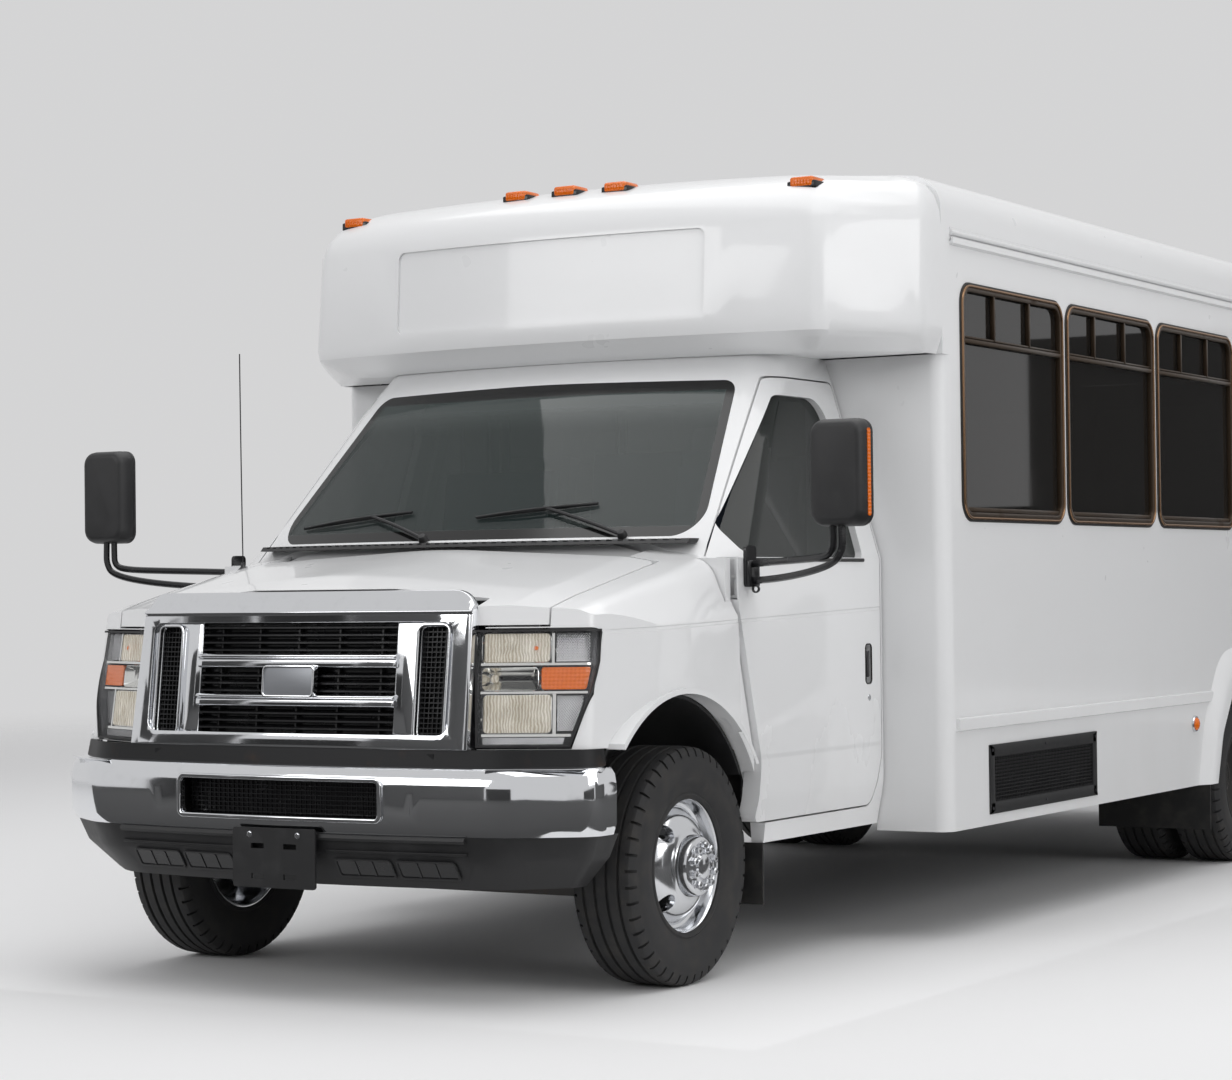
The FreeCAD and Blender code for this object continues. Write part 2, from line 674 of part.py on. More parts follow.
# Side view of a cab door and of its window: station, z and corner radius
DOOR_REAR = 1236.0
DOOR_SWING_R = 1002.0
DOOR_OUTLINE = [
    (336.0, 470.0, 25.0),
    (1168.0, 470.0, 50.0),
    (DOOR_REAR, 640.0, 160.0),
    (DOOR_REAR, 1906.0, 26.0),
    (818.0, 1906.0, 60.0),
    (226.0, 1350.0, 50.0),
    (226.0, 1170.0, 300.0),
    (370.0, 660.0, 160.0),
]
WINDOW_OUTLINE = [
    (322.0, 1304.0, 30.0),
    (1112.0, 1304.0, 24.0),
    (1132.0, 1846.0, 90.0),
    (800.0, 1846.0, 50.0),
    (330.0, 1408.0, 60.0),
]
FENDER_BACK = [
    (330.0, 425.0), (330.0, 470.0), (DOOR_OUTLINE[7][0] - GAP, 660.0), (DOOR_OUTLINE[6][0] - GAP, 1170.0),
    (DOOR_OUTLINE[5][0] - GAP, 1352.0),
]
PILLAR = 94.0
DOOR_INNER_X = (885.0, 775.0)
HINGE_X = 990.0
HINGE_S = 248.0
HINGE_R = 6.0
HINGE_CLEAR = 0.05
SWEEP_GAP = 5.0
DOOR_HINGES = ((1186.0, 1236.0), (1252.0, 1296.0))


def grow(points, by):
    """Side-view outline with every edge moved outwards by a distance."""
    normals = []
    for p, q in zip(points, points[1:] + points[:1]):
        length = math.hypot(q[0] - p[0], q[1] - p[1])
        normals.append(((q[1] - p[1]) / length, (p[0] - q[0]) / length))
    area = sum(p[0] * q[1] - q[0] * p[1] for p, q in zip(points, points[1:] + points[:1]))
    reach = by if area > 0 else -by
    grown = []
    for p, m, n in zip(points, normals[-1:] + normals[:-1], normals):
        share = reach / (1.0 + m[0] * n[0] + m[1] * n[1])
        grown.append((p[0] + (m[0] + n[0]) * share, p[1] + (m[1] + n[1]) * share, p[2]))
    return grown


def door_side(by=0.0):
    """Room outboard of the front pillar, which leans in above the belt with the cab."""
    low, high = DOOR_INNER_X[0] + by, DOOR_INNER_X[1] + by
    return prism_y(
        [(low, 300.0), (low, BELT_Z), (high, 1950.0), (1200.0, 1950.0), (1200.0, 300.0)], 100.0, 1400.0
    )


def cab_door():
    """Driver's door: skin and frame with the window cut through, a handle and hinge barrels."""
    half = box(0, 1200, 100, 1400, 300, 2000)
    slab = cab_solid().cut(cab_solid(DOOR_THICK, 90.0, CAB_BACK + 10.0, 390.0)).common(half)
    leaf = slab.common(door_side()).common(prism_x(DOOR_OUTLINE, 600.0, 1100.0))
    leaf = leaf.common(cyl_z(400.0, 2000.0, HINGE_X, HINGE_S, DOOR_SWING_R))
    leaf = leaf.cut(prism_x(WINDOW_OUTLINE, 600.0, 1100.0))
    cup = prism_x(rect(1120.0, 1168.0, 880.0, 1012.0, 14.0), CAB_HALF - 22.0, CAB_HALF + 10.0)
    lever = prism_x(rect(1132.0, 1156.0, 900.0, 992.0, 8.0), CAB_HALF - 24.0, CAB_HALF - 4.0)
    z0, z1 = DOOR_HINGES[0][0] - 14.0, DOOR_HINGES[-1][1] + 14.0
    pocket = box(CAB_HALF - DOOR_THICK - 1.0, CAB_HALF - 5.0, 200.0, HINGE_S + 20.0, z0, z1)
    barrels = []
    for a, b in DOOR_HINGES:
        barrels.append(cyl_z(a, b, HINGE_X, HINGE_S, HINGE_R + 4.0))
        barrels.append(box(HINGE_X - 4.0, HINGE_X + 9.0, HINGE_S, HINGE_S + 22.0, a, b))
    leaf = fuse([leaf.cut([cup, pocket]), lever] + barrels)
    return leaf.cut(cyl_z(z0, z1, HINGE_X, HINGE_S, HINGE_R + HINGE_CLEAR))


def cab_door_glass():
    half = box(0, 1200, 100, 1400, 1200, 2000)
    slab = cab_solid(24.0).cut(cab_solid(30.0, 90.0, CAB_BACK + 10.0, 390.0)).common(half)
    return slab.common(door_side()).common(prism_x(grow(WINDOW_OUTLINE, -SEAT_GAP), 600.0, 1100.0))


def door_sweep():
    """Room behind the fender's edge that the door's outer front edge turns through about its hinge."""
    skin = CAB_HALF - HINGE_X
    edge_s, edge_z = DOOR_OUTLINE[6][0], DOOR_OUTLINE[6][1]
    foot_s, foot_z = DOOR_OUTLINE[7][0], DOOR_OUTLINE[7][1]
    level = edge_z - (HINGE_S - edge_s) * (edge_z - foot_z) / (foot_s - edge_s)
    near, far = skin + SWEEP_GAP, math.hypot(skin, HINGE_S - edge_s) + SWEEP_GAP
    low = cyl_z(level - 36.0, level + 4.0, HINGE_X, HINGE_S, near)
    middle = Part.makeCone(near, far, edge_z - level - 4.0, vec(HINGE_X, st(HINGE_S), level + 4.0))
    high = cyl_z(edge_z, DOOR_OUTLINE[5][1] + 20.0, HINGE_X, HINGE_S, far)
    return fuse([low, middle, high])


def door_hinge_pin():
    """Fixed pin of a cab door's hinges with its three ears, reaching out from the front pillar."""
    z0, z1 = DOOR_HINGES[0][0], DOOR_HINGES[-1][1]
    ears = []
    for a, b in (
        (z0 - 9.0, z0 - 1.0), (DOOR_HINGES[0][1] + 4.0, DOOR_HINGES[1][0] - 4.0), (z1 + 1.0, z1 + 9.0)
    ):
        ears.append(box(CAB_HALF - PILLAR + 10.0, HINGE_X, HINGE_S - 7.0, HINGE_S + 7.0, a, b))
        ears.append(cyl_z(a, b, HINGE_X, HINGE_S, HINGE_R + 2.0))
    return fuse(ears + [cyl_z(z0 - 9.0, z1 + 9.0, HINGE_X, HINGE_S, HINGE_R)])


def cab_shell():
    """Cab body: sills, floor, firewall, pillars, header and roof in one welded shell."""
    beside = cab_solid(
        0.0, 200.0
    ).cut(prism_x(FENDER_BACK + [(190.0, 1352.0), (190.0, 390.0), (330.0, 390.0)], -1100, 1100))
    ahead = prism_y(cab_section(PANEL + SEAT_GAP), 184.0, 400.0)
    shell = beside.fuse(ahead)
    room = cab_solid(
        PILLAR, 232.0, CAB_BACK + 1
    ).common(box(-1100, 1100, 200, CAB_BACK + 1, CAB_FLOOR, 1989))
    under = box(-CAB_HALF + 70, CAB_HALF - 70, 180, CAB_BACK + 1, 390, RAIL_TOP + SEAT_GAP)
    screen = prism_y(
        windscreen_outline(), 50.0, 960.0
    ).cut(greenhouse(PILLAR + 4.0, CAB_BACK, 0.0, PILLAR))
    doorway = prism_x(grow(DOOR_OUTLINE, GAP), 600.0, 1300.0).common(door_side(-GAP))
    doorway = doorway.cut(cab_solid(DOOR_THICK + GAP, 90.0, 1400.0, 390.0))
    inner_edge = prism_x(grow(DOOR_OUTLINE, -34.0), 500.0, 1300.0)
    engine = box(-300, 300, 180, 240, RAIL_TOP, 1060)
    arch = cyl_x(540, 1100, ARCH_CENTRE, ARCH_Z, ARCH_R + 14.0)
    back = box(-700, 700, CAB_BACK - 110, CAB_BACK + 10, CAB_FLOOR, 1880)
    cuts = [
        room, under, screen, doorway, flip(doorway), inner_edge, flip(inner_edge), engine, arch,
        flip(arch), back
    ]
    cuts.append(cyl_x(-HOOD_HALF - 2 * GAP, HOOD_HALF + 2 * GAP, HOOD_PIN_S, HOOD_PIN_Z, HOOD_SWING_R))
    sweep = door_sweep()
    cuts += [sweep, flip(sweep)]
    shell = shell.cut(cuts)
    pin = door_hinge_pin()
    hood_pins = hood_hinge_pins()
    whole = fuse([shell, pin, flip(pin), hood_pins, flip(hood_pins)])
    return max(whole.Solids, key=lambda s: s.Volume)


HOOD_PIN_S = 44.0
HOOD_PIN_Z = 1280.0
HOOD_PIN_X = (600.0, 650.0)
HOOD_SWING_R = 82.0


# Side view of an ear of the hood hinge from its pin: it dips below the hood's edge as that turns down
HOOD_EAR = [
    (-8.0, -4.0), (14.0, -30.0), (46.0, -34.0), (186.0, -12.0), (186.0, 20.0), (62.0, -6.0), (46.0, -16.0),
    (22.0, -17.0), (7.0, -2.0),
]


def hood_hinge_pins():
    """Fixed hinge pin of the hood between two ears on the cowl."""
    x0, x1 = HOOD_PIN_X
    ears = [cyl_x(x0 - 12.0, x1 + 12.0, HOOD_PIN_S, HOOD_PIN_Z, HINGE_R)]
    profile = [(HOOD_PIN_S + p, HOOD_PIN_Z + q) for p, q in HOOD_EAR]
    for a, b in ((x0 - 12.0, x0 - 3.0), (x1 + 3.0, x1 + 12.0)):
        ears.append(prism_x(profile, a, b))
        ears.append(cyl_x(a, b, HOOD_PIN_S, HOOD_PIN_Z, HINGE_R + 3.0))
    return fuse(ears)


def nose_plan(z_share):
    """Plan outline of the nose at the bottom (0) and top (1) of the grille, leaning back."""
    low = [
        (CAB_HALF, 320.0, 0.0), (CAB_HALF, -250.0, 500.0), (940.0, -560.0, 50.0), (632.0, -700.0, 80.0)
    ]
    high = [
        (CAB_HALF - 4.0, 320.0, 0.0), (CAB_HALF - 4.0, -220.0, 500.0), (912.0, -500.0, 60.0),
        (606.0, -636.0, 90.0)
    ]
    pts = [
        (a[0] + (b[0] - a[0]) * z_share, a[1] + (b[1] - a[1]) * z_share, a[2]) for a, b in zip(low, high)
    ]
    return mirrored_plan(pts + [bow(-735.0 + 47.0 * z_share, pts[-1][0], pts[-1][1])])


@lru_cache(maxsize=None)
def nose_front(shift=0.0):
    """Body of the nose as its leaning, bowed front sets it, moved back by a shift."""
    def moved(points):
        return [(p[0], p[1] + shift, p[2]) for p in points]
    return loft_z([(440.0, moved(nose_plan(-0.6))), (1420.0, moved(nose_plan(1.4)))])


# Cross-sections of the nose: station, half width, crease z, shoulder x and z, hood edge z, centre z
NOSE_SECTIONS = [
    (-800.0, 960.0, 1062.0, 880.0, 1096.0, 1112.0, 1184.0),
    (-600.0, 975.0, 1078.0, 886.0, 1132.0, 1166.0, 1236.0),
    (-430.0, 990.0, 1092.0, 900.0, 1172.0, 1210.0, 1270.0),
    (0.0, CAB_HALF, 1106.0, 925.0, 1256.0, 1298.0, 1336.0),
    (320.0, CAB_HALF, 1118.0, 930.0, 1326.0, 1354.0, 1384.0),
]


@lru_cache(maxsize=None)
def nose_sections(inset=0.0):
    rows = []
    for station, half, crease, shoulder_x, shoulder_z, edge_z, centre_z in NOSE_SECTIONS:
        h, i = half - inset, inset
        rows.append((station, [
            (-h, 440.0 - i), (h, 440.0 - i), (h, crease, 30.0), (shoulder_x - i, shoulder_z - i, 90.0),
            (700.0, edge_z - i, 240.0), (0.0, centre_z - i, 2600.0), (-700.0, edge_z - i, 240.0),
            (-shoulder_x + i, shoulder_z - i, 90.0), (-h, crease, 30.0),
        ]))
    return loft_y(rows)


@lru_cache(maxsize=None)
def nose_solid(thick=0.0):
    """Nose inside its sections and its leaning front."""
    return nose_sections(thick).common(nose_front(thick * 1.2))


@lru_cache(maxsize=None)
def nose_shell(thick=PANEL):
    return nose_solid().cut(nose_solid(thick))


HOOD_FRONT_Z = 1108.0
HOOD_OUTLINE = [
    (HOOD_HALF, HOOD_REAR, 30.0), (HOOD_HALF, -900.0), (-HOOD_HALF, -900.0), (-HOOD_HALF, HOOD_REAR, 30.0)
]


def lamp_outline(side_gap=0.0):
    """Front view of a headlamp: upright inboard edge and a cut lower outer corner."""
    g = side_gap
    return [
        (GRILLE_HALF + 14.0 - g, GRILLE_BASE_Z + 4.0 - g), (LAMP_OUTER_X - 36.0, GRILLE_BASE_Z + 4.0 - g),
        (LAMP_OUTER_X + 4.0 + g, 905.0), (
            LAMP_OUTER_X + 4.0 + g, LAMP_TOP_Z + g, 16.0
        ), (GRILLE_HALF + 14.0 - g, LAMP_TOP_Z + g),
    ]


def headlamps():
    slab = nose_front(-2.0).cut(nose_front(78.0))
    lamp = slab.common(prism_y(lamp_outline(), -900.0, 0.0))
    return both(lamp.common(box(500, 1000, -900, -330, 700, 1150)))


def hood():
    """Hood from the cowl to the top of the grille and lamps, with stiffening ribs and hinge barrels."""
    blank = prism_z(HOOD_OUTLINE, HOOD_FRONT_Z, 1500.0)
    panel = nose_shell(24.0).common(blank)
    grille_gap = prism_y(grille_outline(5.0), -900.0, -560.0)
    rib = box(
        -HOOD_HALF + 60, HOOD_HALF - 60, -430, -390, 1080, 1290
    ).common(nose_sections(23.0)).common(nose_front(30.0))
    rib = rib.cut(box(-2000, 2000, -500, -300, 1000, 1196))
    x0, x1 = HOOD_PIN_X
    top = nose_sections(10.0)
    barrels = []
    for side in (1, -1):
        a, b = sorted((side * x0, side * x1))
        barrels.append(cyl_x(a, b, HOOD_PIN_S, HOOD_PIN_Z, HINGE_R + 5.0))
        barrels.append(box(
            a, b, HOOD_PIN_S - 16.0, HOOD_PIN_S + 8.0, HOOD_PIN_Z - 2.0, HOOD_PIN_Z + 40.0
        ).common(top))
    pockets = [box(
        *sorted((side * (x0 - 15.0), side * (x1 + 15.0))), HOOD_PIN_S - 15.0, 100.0, 1200.0,
        HOOD_PIN_Z + 12.0
    )
               for side in (1, -1)]
    body = fuse([panel.cut([grille_gap] + pockets), rib.cut(grille_gap)] + barrels)
    bores = [
        cyl_x(side * (x0 - 20.0), side * (x1 + 20.0), HOOD_PIN_S, HOOD_PIN_Z, HINGE_R + HINGE_CLEAR)
        for side in (1, -1)
    ]
    return body.cut(bores)


def front_fenders():
    """Front fenders with round wheel arches, running back to the door and forward to the lamp."""
    reach = [
        (-900.0, GRILLE_BASE_Z), (ARCH_CENTRE, GRILLE_BASE_Z), (ARCH_CENTRE, 425.0)
    ] + FENDER_BACK + [(-900.0, 1352.0)]
    panel = nose_shell().common(prism_x(reach, 600.0, 1100.0))
    hood_cut = prism_z(
        [
            (HOOD_HALF + GAP, HOOD_REAR + 14.0), (HOOD_HALF + GAP, -900), (590, -900),
            (590, HOOD_REAR + 14.0)
        ],
        HOOD_FRONT_Z - GAP, 1500
    )
    arch = cyl_x(590, 1100, ARCH_CENTRE, ARCH_Z, ARCH_R)
    lamp = prism_y(lamp_outline(3.0), -900.0, -330.0)
    inboard = box(590, GRILLE_HALF + 16, -900, -300, 400, HOOD_FRONT_Z)
    cab = cab_solid(-3.0, 236.0).fuse(greenhouse(-3.0))
    inner_cab = prism_y(cab_section(PANEL), 180.0, 420.0)
    panel = panel.cut([
        hood_cut, arch, lamp, inboard, cab, inner_cab, box(590, 704, -300, 400, 400, 1500), door_sweep()
    ])
    lip = cyl_x(
        CAB_HALF - 60.0, CAB_HALF + 4.0, ARCH_CENTRE, ARCH_Z, ARCH_R + 16.0
    ).cut(cyl_x(700, 1100, ARCH_CENTRE, ARCH_Z, ARCH_R))
    lip = lip.common(prism_x(
        [
            (-480.0, 745.0), (ARCH_CENTRE, 600.0), (FENDER_BACK[2][0] - 2.0, 660.0), (300.0, 1000.0),
            (-480.0, 1000.0)
        ],
        700, 1100
    ))
    solids = fuse([panel, lip.cut([cab, inner_cab])]).Solids
    biggest = max(solids, key=lambda s: s.Volume)
    return both(biggest)


def wheel_liners():
    """Black liners over the front wheels, closing the wheel arches off from the engine bay."""
    outer = cyl_x(560.0, CAB_HALF - 62.0, ARCH_CENTRE, ARCH_Z, ARCH_R - SEAT_GAP)
    inner = cyl_x(550.0, CAB_HALF, ARCH_CENTRE, ARCH_Z, ARCH_R - 12.0)
    liner = outer.cut(inner).common(box(500, 1100, -480.0, 500.0, 620.0, 1000.0))
    return both(liner)


def radiator_support():
    """Front frame of the nose: radiator core, lamp and grille carrier, and the filler over the bumper."""
    frame = prism_y(rect(-600.0, 600.0, 712.0, 1180.0), -610.0, -570.0)
    frame = frame.cut(prism_y(rect(-540.0, 540.0, 752.0, 1120.0), -620.0, -560.0))
    core = box(-540.0, 540.0, -600.0, -580.0, 752.0, 1120.0)
    wings = [
        box(*sorted((side * 600.0, side * 900.0)), -500.0, -480.0, 750.0, 1060.0) for side in (1, -1)
    ]
    stays = [
        box(*sorted((side * 590.0, side * 612.0)), -600.0, -480.0, 750.0, 1060.0) for side in (1, -1)
    ]
    feet = [
        box(*sorted((side * 397.0, side * 463.0)), -610.0, -570.0, RAIL_TOP + SEAT_GAP, 760.0)
        for side in (1, -1)
    ]
    carriers = [
        box(*sorted((side * 560.0, side * 600.0)), -640.0, -600.0, 770.0, 1100.0).common(nose_front(31.0))
        for side in (1, -1)
    ]
    z0, z1 = BUMPER_BASE_Z + BUMPER_HIGH + SEAT_GAP, GRILLE_BASE_Z - SEAT_GAP
    filler = loft_z([
        (z0, bumper_plan(44.0)), (z1, bumper_plan(52.0))
    ]).cut(loft_z([(z0 - 1, bumper_plan(44.0, 12.0)), (z1 + 1, bumper_plan(52.0, 12.0))]))
    ties = [box(*sorted((side * 480.0, side * 520.0)), -745.0, -600.0, 712.0, 736.0) for side in (1, -1)]
    lamp_room = prism_y(lamp_outline(1.0), -900.0, 0.0).cut(nose_front(78.0 + SEAT_GAP))
    support = fuse([frame, core, filler] + wings + stays + feet + carriers + ties)
    return support.cut([lamp_room, flip(lamp_room)])


def grille_outline(margin=0.0):
    """Front view of the grille surround: square base, rounded upper corners."""
    half = GRILLE_HALF + margin
    return [
        (-half, GRILLE_BASE_Z - margin), (half, GRILLE_BASE_Z - margin),
        (half - 16.0, GRILLE_TOP_Z + margin, 70.0), (-half + 16.0, GRILLE_TOP_Z + margin, 70.0)
    ]


# Openings in the grille: x from, x to, z from, z to
GRILLE_OPENINGS = [
    (-368.0, 368.0, 1026.0, 1100.0),
    (-368.0, 368.0, 905.0, 984.0),
    (-368.0, 368.0, 792.0, 868.0),
    (448.0, 536.0, 778.0, 1108.0),
    (-536.0, -448.0, 778.0, 1108.0),
]
BADGE_HALF = 95.0
BADGE_Z = 944.5
BADGE_HIGH = 93.0
BADGE_CORNER = 12.0
BADGE_FRONT = -757.0
BADGE_BACK = -714.0


def grille_surround():
    """Bright grille: bowed surround, two heavy cross bars, two side slots and a blank badge plate."""
    slab = nose_front(-34.0).cut(nose_front(14.0))
    frame = slab.common(prism_y(grille_outline(), -900.0, -400.0))
    cuts = [prism_y(rect(x0, x1, z0, z1, 12.0), -900.0, -400.0) for x0, x1, z0, z1 in GRILLE_OPENINGS]
    frame = frame.cut(cuts)
    behind = nose_front(-16.0)
    field = prism_y(rect(-378.0, 378.0, 782.0, 1110.0, 10.0), -900.0, -400.0).cut(behind)
    frame = frame.cut(field)
    z0, z1 = BADGE_Z - BADGE_HIGH / 2, BADGE_Z + BADGE_HIGH / 2
    badge = prism_y(rect(-BADGE_HALF, BADGE_HALF, z0, z1, BADGE_CORNER), BADGE_FRONT, BADGE_BACK)
    frame = fuse([frame, badge])
    return frame.common(box(-700, 700, -900, -540, 700, 1230))


def grille_insert():
    """Black slatted insert behind the bright bars."""
    slab = nose_front(14.0 + SEAT_GAP).cut(nose_front(30.0))
    plate = slab.common(prism_y(rect(-560.0, 560.0, 766.0, 1112.0), -900.0, -400.0))
    slots = []
    for x0, x1, z0, z1 in GRILLE_OPENINGS:
        rows = 3 if x1 - x0 > 200 else 12
        pitch = (z1 - z0) / rows
        for i in range(rows):
            slots.append(box(
                x0 + 4.0, x1 - 4.0, -900.0, -400.0, z0 + i * pitch + 4.0, z0 + (i + 1) * pitch - 4.0
            ))
    return plate.cut(slots)


# Front bumper: z, and how far the face stands back from its fullest line
BUMPER_LINES = [(0.0, 16.0), (30.0, 3.0), (140.0, 0.0), (176.0, 8.0), (194.0, 24.0), (200.0, 40.0)]


def bumper_plan(back, inner=0.0):
    """Plan of the front bumper: bowed middle and ends wrapped back to the wheel arch."""
    b = back + inner
    half = 994.0 - back * 0.8 - inner
    return mirrored_plan([
        (half, -502.0 if inner == 0 else -480.0, 0.0),
        (half, -610.0 + b, 90.0),
        (760.0 - inner * 0.5, -762.0 + b, 300.0),
        bow(-822.0 + b, 760.0 - inner * 0.5, -762.0 + b, 0.76),
    ])


def front_bumper():
    """Bright pressed bumper, open behind, with a rounded air slot."""
    outer = loft_z([(BUMPER_BASE_Z + z, bumper_plan(back)) for z, back in BUMPER_LINES])
    inner_rows = [(BUMPER_BASE_Z - 1.0, BUMPER_LINES[0][1])]
    inner_rows += [
        (BUMPER_BASE_Z + z, back) for z, back in BUMPER_LINES[1:-2]
    ] + [(BUMPER_BASE_Z + 190.0, 26.0)]
    inner = loft_z([(z, bumper_plan(back, BUMPER_SKIN)) for z, back in inner_rows])
    slot = prism_y(rect(-366.0, 366.0, 548.0, 654.0, 18.0), -900.0, -600.0)
    z0, z1 = BUMPER_BASE_Z + 150.0, BUMPER_BASE_Z + 210.0
    shelf = [box(-760, 760, -700, -470, z0, z1), box(-900, 900, -600, -470, z0, z1)]
    shell = outer.cut([inner, slot] + shelf)
    brackets = [
        box(*sorted((side * 400.0, side * 470.0)), -797.0, -760.0 - SEAT_GAP, 560.0, 640.0)
        for side in (1, -1)
    ]
    return fuse([shell] + brackets)


VALANCE_TOP = BUMPER_BASE_Z - SEAT_GAP


def lower_valance():
    """Black lower valance with its row of pockets, and the plate bracket on it."""
    def plan(back, tuck, inner=0.0):
        b = back + inner
        return mirrored_plan([
            (972.0 - tuck - inner, -460.0, 0.0), (972.0 - tuck - inner, -590.0 + b, 40.0),
            (745.0 - tuck * 0.5 - inner * 0.5, -748.0 + b, 300.0), bow(
                -808.0 + b, 745.0 - tuck * 0.5 - inner * 0.5, -748.0 + b, 0.76
            ),
        ])
    outer = loft_z([
        (VALANCE_BASE_Z, plan(70.0, 110.0)), (430.0, plan(14.0, 30.0)), (VALANCE_TOP, plan(0.0, 0.0))
    ])
    inner = loft_z([
        (VALANCE_BASE_Z + 20.0, plan(70.0, 110.0, 20.0)), (430.0, plan(14.0, 30.0, 20.0)),
        (VALANCE_TOP + 1, plan(0.0, 0.0, 20.0))
    ])
    rear = box(-1000, 1000, -600, -480, 300, VALANCE_TOP + 1).common(box(-760, 760, -600, -480, 300, 600))
    shell = outer.cut([inner, rear])
    pockets = [
        box(x - 95.0, x + 95.0, -800.0, -786.0, 372.0, 424.0) for x in (-290.0, -500.0, 290.0, 500.0)
    ]
    shell = shell.cut(pockets)
    s0 = -FRONT_OVERHANG
    plate = prism_y(rect(-PLATE_WIDE / 2, PLATE_WIDE / 2, 334.0, 334.0 + PLATE_HIGH, 10.0), s0, s0 + 8.0)
    holes = [
        cyl_y(s0 - 1, s0 + 20.0, side * PLATE_HOLE_SPACING / 2, 334.0 + PLATE_HIGH - 20.0, PLATE_HOLE_R)
        for side in (1, -1)
    ]
    slots = [
        box(x - 24.0, x + 24.0, s0 - 1, s0 + 9, z, z + 16.0) for x in (-60.0, 60.0)
        for z in (360.0, 450.0)
    ]
    stand = [box(x - 9.0, x + 9.0, s0 + 8.0, -740.0, 430.0, 470.0) for x in (-110.0, 110.0)]
    stand = [s.cut(inner).cut(box(-1000, 1000, -780, -480, 300, 600)) for s in stand]
    return fuse([shell, plate.cut(slots)] + stand).cut(holes)


def cowl_grille():
    """Black slotted cowl strip below the windscreen."""
    strip = greenhouse(0.0, CAB_BACK, 66.0).cut(greenhouse(0.0, CAB_BACK, 4.0))
    strip = strip.common(box(-840, 840, -100, 330, 1351.0, 1366.0))
    slots = []
    for i in range(46):
        x = -806.0 + i * 1612.0 / 45.0
        slots.append(box(x - 9.0, x + 9.0, -100.0, 400.0, 1360.0, 1370.0))
    return strip.cut(slots)


def mirror():
    """Tall towing mirror on a twin bent arm from the door's front corner."""
    x, s, z0, high = 1427.0, 90.0, 1389.0, 322.0
    shell = prism_z(
        [
            (x - 94.0, s + 44.0, 14.0), (x - 86.0, s - 30.0, 40.0), (x + 80.0, s - 46.0, 44.0),
            (x + 94.0, s + 44.0, 14.0)
        ],
        z0, z0 + high
    )
    ends = [e for e in shell.Edges if len(e.Vertexes) == 2 and abs(e.Vertexes[0].Z - e.Vertexes[1].Z) < 1]
    shell = shell.makeFillet(18.0, [e for e in ends if e.BoundBox.YMax < st(s + 43.9)])
    face = prism_z(
        [(x - 80.0, s + 40.0), (x + 80.0, s + 40.0), (x + 80.0, s + 46.0), (x - 80.0, s + 46.0)],
        z0 + 16.0, z0 + high - 16.0
    )
    shell = shell.cut(face)
    base = box(CAB_HALF + SEAT_GAP, CAB_HALF + 26.0, 262.0, 330.0, 1208.0, 1296.0)
    upper = tube(
        [
            vec(CAB_HALF + 13.0, st(296.0), 1282.0), vec(1180.0, st(200.0), 1290.0),
            vec(1400.0, st(96.0), 1340.0), vec(1400.0, st(96.0), z0 + 20.0)
        ],
        11.0
    )
    lower = tube(
        [
            vec(CAB_HALF + 13.0, st(296.0), 1228.0), vec(1190.0, st(196.0), 1232.0),
            vec(1436.0, st(92.0), 1300.0), vec(1400.0, st(96.0), 1352.0)
        ],
        11.0
    )
    return fuse([shell, base, upper, lower])


# Wheels: profiles are (x from the wheel's middle, radius)
def revolve(profile, centre_x, station, z):
    pts = [vec(centre_x + x, st(station), z + r) for x, r in profile]
    wire = Part.makePolygon(pts + [pts[0]])
    return Part.Face(wire).revolve(vec(centre_x, st(station), z), vec(1, 0, 0), 360)


TYRE_PROFILE = [
    (-0.42, BEAD_R), (0.42, BEAD_R), (0.5, BEAD_R + 68.0), (0.44, TYRE_R - 14.0), (0.36, TYRE_R),
    (-0.36, TYRE_R), (-0.44, TYRE_R - 14.0), (-0.5, BEAD_R + 68.0),
]


def tyre(centre_x, station):
    return revolve([(x * TYRE_WIDE, r) for x, r in TYRE_PROFILE], centre_x, station, TYRE_R)


# Pressed wheel with a crowned face: outboard is +x, and the hub stands proud of the rim
FRONT_RIM = [
    (
        -92, BEAD_R - SEAT_GAP
    ), (88, BEAD_R - SEAT_GAP), (92, RIM_R), (80, RIM_R), (76, 196), (44, 188), (44, 176), (80, 150),
    (96, 112), (100, HUB_R), (132, HUB_R), (142, 78), (142, 40), (156, 34), (156, 0), (-36, 0), (-36, 80),
    (70, 100), (30, 150), (22, 190), (-80, 192), (-92, RIM_R - 6),
]
REAR_RIM = [
    (
        -92, BEAD_R - SEAT_GAP
    ), (88, BEAD_R - SEAT_GAP), (92, RIM_R), (80, RIM_R), (76, 196), (-40, 190), (-70, 150), (-70, 84),
    (10, 80), (16, 70), (16, 0), (-60, 0), (-92, 0), (-92, 150), (-62, 196), (-86, 199),
]


def lugs(x_face, centre_x, station, circle, length):
    nuts = []
    for i in range(LUG_COUNT):
        a = 2 * math.pi * i / LUG_COUNT
        y, z = circle * math.cos(a), circle * math.sin(a)
        nuts.append(cyl_x(
            centre_x + x_face - 2.0, centre_x + x_face + length, station + y, TYRE_R + z, LUG_R
        ))
    return nuts


